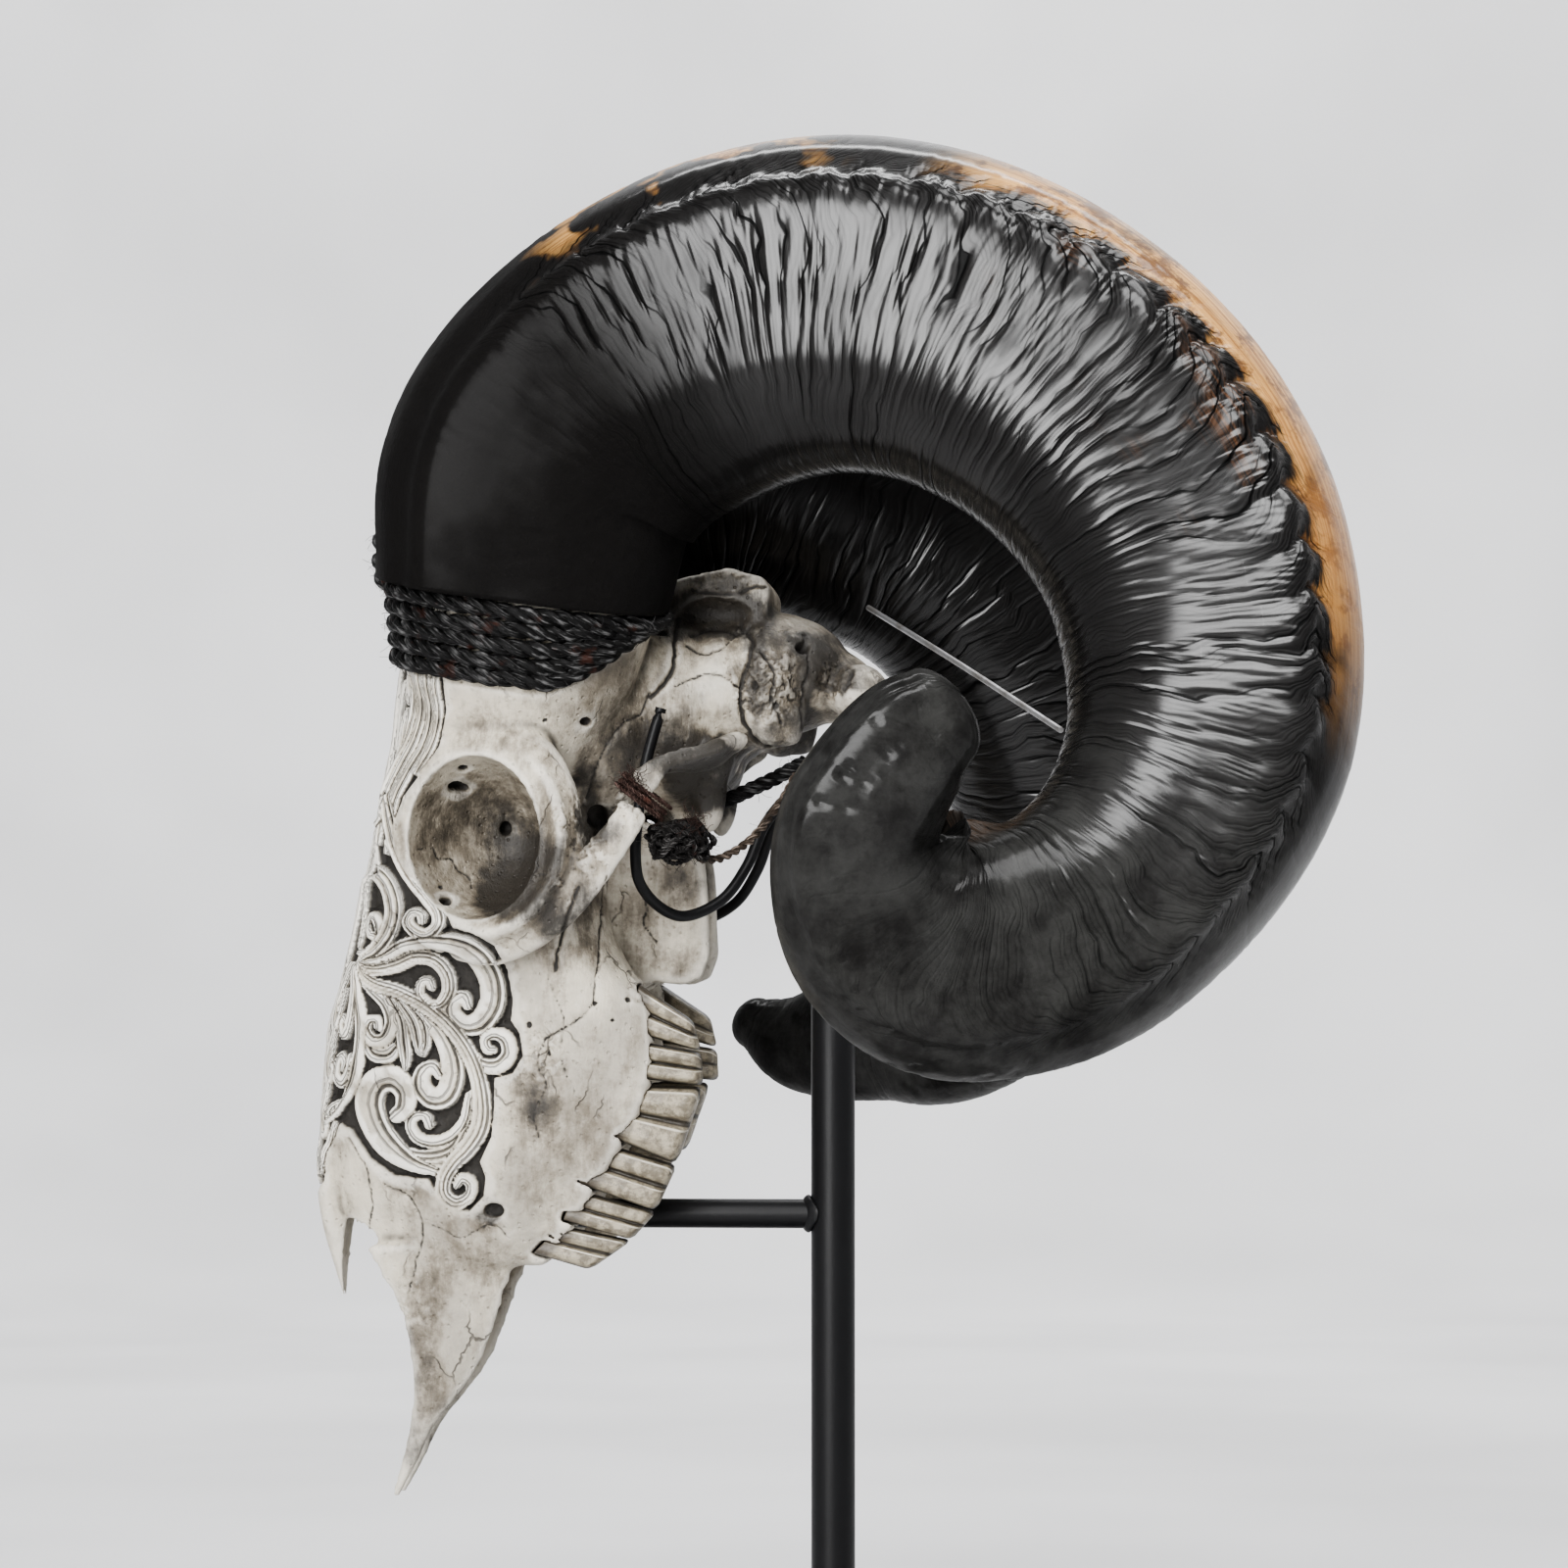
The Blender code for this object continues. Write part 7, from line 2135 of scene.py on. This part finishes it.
def weld_bead(look):
    """The rough bead of weld where the arm meets the pole."""
    chance = np.random.default_rng(77)
    rings = []
    lumps = softened_round(chance.normal(size=WELD_SIDES), 1)
    for k in range(WELD_RINGS + 1):
        share = k / WELD_RINGS
        swell = math.sin(math.pi * share) ** 0.6
        ring = []
        for turn, lump in zip(angles(WELD_SIDES), lumps):
            reach = ARM_RADIUS * (0.96 + 0.42 * swell * (1 - 0.5 * share)) + 0.00018 * lump * swell
            x, z = reach * math.cos(turn), reach * math.sin(turn)
            y = -math.sqrt(max(0.0, POLE_RADIUS**2 - min(abs(x), POLE_RADIUS * 0.999) ** 2))
            ring.append((x, y - WELD_LENGTH * share + CONTACT_GAP, ARM_HEIGHT + z))
        rings.append(ring)
    shape = bmesh.new()
    skin_rings(shape, rings)
    return painted(scratch("arm_weld", shape), look)


def make_studio(settings):
    """Pale round floor that curves up into a wall all round, soft lights and the camera."""
    profile = [(SWEEP_FLOOR * k / SWEEP_FLOOR_RINGS, 0.0) for k in range(1, SWEEP_FLOOR_RINGS + 1)]
    for k in range(1, SWEEP_CURVE_RINGS + 1):
        angle = math.pi / 2 * k / SWEEP_CURVE_RINGS
        profile.append((SWEEP_FLOOR + SWEEP_RADIUS * math.sin(angle), SWEEP_RADIUS * (1 - math.cos(angle))))
    profile.append((SWEEP_FLOOR + SWEEP_RADIUS, SWEEP_TOP))
    mesh = bpy.data.meshes.new("studio_sweep")
    points = [
        (reach * math.cos(turn), reach * math.sin(turn), z) for reach, z in profile for turn in angles(SWEEP_SIDES)
    ]
    faces = [tuple(range(SWEEP_SIDES))]
    for row in range(len(profile) - 1):
        for k in range(SWEEP_SIDES):
            a, b = row * SWEEP_SIDES + k, row * SWEEP_SIDES + (k + 1) % SWEEP_SIDES
            faces.append((a, a + SWEEP_SIDES, b + SWEEP_SIDES, b))
    mesh.from_pydata(points, [], faces)
    mesh.shade_smooth()
    sweep = linked("studio_sweep", mesh)
    look = Look("pale_paper")
    clouds = look.clouds(2.2, 3.0, 0.5)
    fine = look.clouds(260.0, 2.0)
    base = look.mixed(look.step(clouds, 0.3, 0.75), settings.paper_colour, (0.6, 0.6, 0.605))
    mesh.materials.append(look.finish(fine, 0.0001, Base_Color=base, Roughness=0.85 + 0.1 * clouds))
    world = bpy.data.worlds.new("studio")
    bpy.context.scene.world = world
    world.use_nodes = True
    sky = world.node_tree.nodes["Background"]
    sky.inputs["Color"].default_value = (0.93, 0.95, 1.0, 1.0)
    sky.inputs["Strength"].default_value = settings.sky_strength
    for name, place, size, power, aim in STUDIO_LIGHTS:
        lamp = bpy.data.lights.new(name, "AREA")
        lamp.shape = "RECTANGLE"
        lamp.size, lamp.size_y = size
        lamp.energy = power
        if name != "backdrop_light":
            lamp.spread = LIGHT_SPREAD
        made = linked(name, lamp)
        made.location = place
        made.visible_camera = False
        heading = Vector(aim) - Vector(place)
        made.rotation_euler = heading.to_track_quat("-Z", "Y").to_euler()
    right, up, back = view_axes()
    camera = bpy.data.cameras.new("side_camera")
    camera.sensor_width = 36.0
    camera.lens = 36.0 * VIEW_DISTANCE / PLAN_STEP / (2 * PLAN_MIDDLE)
    camera.clip_start = 0.01
    made = linked("side_camera", camera)
    place = Matrix((right, up, back)).transposed().to_4x4()
    place.translation = Vector(VIEW_MIDDLE) + VIEW_DISTANCE * back
    made.matrix_world = place
    bpy.context.scene.camera = made
    bpy.context.scene.view_settings.look = "AgX - Medium High Contrast"


def length_setting(name, words, default):
    return FloatProperty(name=name, description=words, default=default, min=0.0, unit="LENGTH", precision=5)


def colour_setting(name, words, default):
    limits = {"subtype": "COLOR", "size": 3, "min": 0.0, "max": 1.0}
    return FloatVectorProperty(name=name, description=words, default=default, **limits)


class RamSkullBone(bpy.types.PropertyGroup):
    """Sizes and colours of the bone and teeth."""

    grain: length_setting("Grain", "Size of the smallest form that the bone is fused from", 0.00058)
    bone_colour: colour_setting("Bone", "Clean bone", (0.56, 0.51, 0.415))
    shade_colour: colour_setting("Shade", "Greyer bone in broad clouds", (0.37, 0.34, 0.285))
    # The patina colour is also the painted shade in enclosed hollows and the darker tone patches.
    patina_and_shade_colour: colour_setting("Patina", "Brown patina in pores and blotches", (0.165, 0.138, 0.102))
    # The dirt colour is also the painted shade in the carving's ground, grooves, holes and hollows.
    dirt_and_shade_colour: colour_setting("Dirt", "Soot in the carving and in hollows", (0.016, 0.0135, 0.011))
    tooth_colour: colour_setting("Teeth", "Main colour of the teeth", (0.34, 0.3, 0.225))


class RamSkullHorns(bpy.types.PropertyGroup):
    """Sizes and colours of the horns."""

    ring_spacing: length_setting("Ring spacing", "Distance between growth grooves", 0.005)
    ring_height: length_setting("Ring depth", "Depth of a growth groove", 0.0008)
    keel_height: length_setting("Keel bump height", "Height of the bumps along the keel", 0.003)
    horn_colour: colour_setting("Horn", "Main colour of the horns", (0.0055, 0.005, 0.0048))
    honey_colour: colour_setting("Honey", "Clear horn near the outer edge", (0.56, 0.32, 0.115))


class RamSkullTies(bpy.types.PropertyGroup):
    """Make of the rope and strings."""

    rope_strands: IntProperty(name="Strands", description="Strands of the rope", default=3, min=1, max=6)
    rope_pitch: length_setting("Rope turn", "Length of one turn of the strands", 0.015)
    rope_fuzz: FloatProperty(name="Fuzz", description="Loose fibres on a square metre", default=70000.0, min=0.0)
    rope_colour: colour_setting("Rope", "Main colour of the rope", (0.003, 0.0028, 0.0027))
    string_colour: colour_setting("String", "Main colour of the thin string", (0.03, 0.014, 0.01))


class RamSkullStudio(bpy.types.PropertyGroup):
    """Colours of the stand and of the studio round it."""

    stand_colour: colour_setting("Stand", "Painted steel of the stand", (0.008, 0.008, 0.0085))
    paper_colour: colour_setting("Paper", "Floor and backdrop", (0.72, 0.72, 0.725))
    sky_strength: FloatProperty(name="Ambient", description="Light from all round", default=0.12, min=0.0)


class RAMSKULL_OT_bone(bpy.types.Operator):
    """Make the carved skull from its fused forms."""

    bl_idname = "ramskull.bone"
    bl_label = "Carved Bone"

    def execute(self, context):
        make_bone(context.scene.ramskull_bone)
        return {"FINISHED"}


class RAMSKULL_OT_teeth(bpy.types.Operator):
    """Make the twelve cheek teeth."""

    bl_idname = "ramskull.teeth"
    bl_label = "Teeth"

    def execute(self, context):
        make_teeth(context.scene.ramskull_bone)
        return {"FINISHED"}


class RAMSKULL_OT_horns(bpy.types.Operator):
    """Make both horns with their growth rings."""

    bl_idname = "ramskull.horns"
    bl_label = "Horns"

    def execute(self, context):
        make_horns(context.scene.ramskull_horns)
        return {"FINISHED"}


class RAMSKULL_OT_ropes(bpy.types.Operator):
    """Wind the black rope round the feet of the horns."""

    bl_idname = "ramskull.ropes"
    bl_label = "Ropes"

    def execute(self, context):
        make_ropes(context.scene.ramskull_ties)
        return {"FINISHED"}


class RAMSKULL_OT_strings(bpy.types.Operator):
    """Make the strings, their knot and the two short cords."""

    bl_idname = "ramskull.strings"
    bl_label = "Strings"

    def execute(self, context):
        make_strings(context.scene.ramskull_ties)
        return {"FINISHED"}


class RAMSKULL_OT_stand(bpy.types.Operator):
    """Make the steel stand and the wire between the horns."""

    bl_idname = "ramskull.stand"
    bl_label = "Stand"

    def execute(self, context):
        make_stand(context.scene.ramskull_studio)
        return {"FINISHED"}


class RAMSKULL_OT_studio(bpy.types.Operator):
    """Make the floor, the lights and the camera."""

    bl_idname = "ramskull.studio"
    bl_label = "Studio"

    def execute(self, context):
        make_studio(context.scene.ramskull_studio)
        return {"FINISHED"}


GROUPS = {
    "ramskull_bone": RamSkullBone,
    "ramskull_horns": RamSkullHorns,
    "ramskull_ties": RamSkullTies,
    "ramskull_studio": RamSkullStudio,
}
OPERATORS = (
    RAMSKULL_OT_bone,
    RAMSKULL_OT_teeth,
    RAMSKULL_OT_horns,
    RAMSKULL_OT_ropes,
    RAMSKULL_OT_strings,
    RAMSKULL_OT_stand,
    RAMSKULL_OT_studio,
)


class RAMSKULL_PT_panel(bpy.types.Panel):
    """Lists the settings and what makes each piece."""

    bl_label = "Carved Ram Skull"
    bl_space_type = "VIEW_3D"
    bl_region_type = "UI"
    bl_category = "Ram Skull"

    def draw(self, context):
        for name in GROUPS:
            group = getattr(context.scene, name)
            for key in group.bl_rna.properties.keys():
                if key not in ("rna_type", "name"):
                    self.layout.prop(group, key)
        for operator in OPERATORS:
            self.layout.operator(operator.bl_idname)


def register():
    for kind in (*GROUPS.values(), *OPERATORS, RAMSKULL_PT_panel):
        bpy.utils.register_class(kind)
    for name, kind in GROUPS.items():
        setattr(bpy.types.Scene, name, PointerProperty(type=kind))


def unregister():
    for name in GROUPS:
        delattr(bpy.types.Scene, name)
    for kind in (RAMSKULL_PT_panel, *reversed(OPERATORS), *reversed(GROUPS.values())):
        bpy.utils.unregister_class(kind)


def main():
    register()
    for operator in OPERATORS:
        group, name = operator.bl_idname.split(".")
        getattr(getattr(bpy.ops, group), name)()


if __name__ == "__main__":
    main()
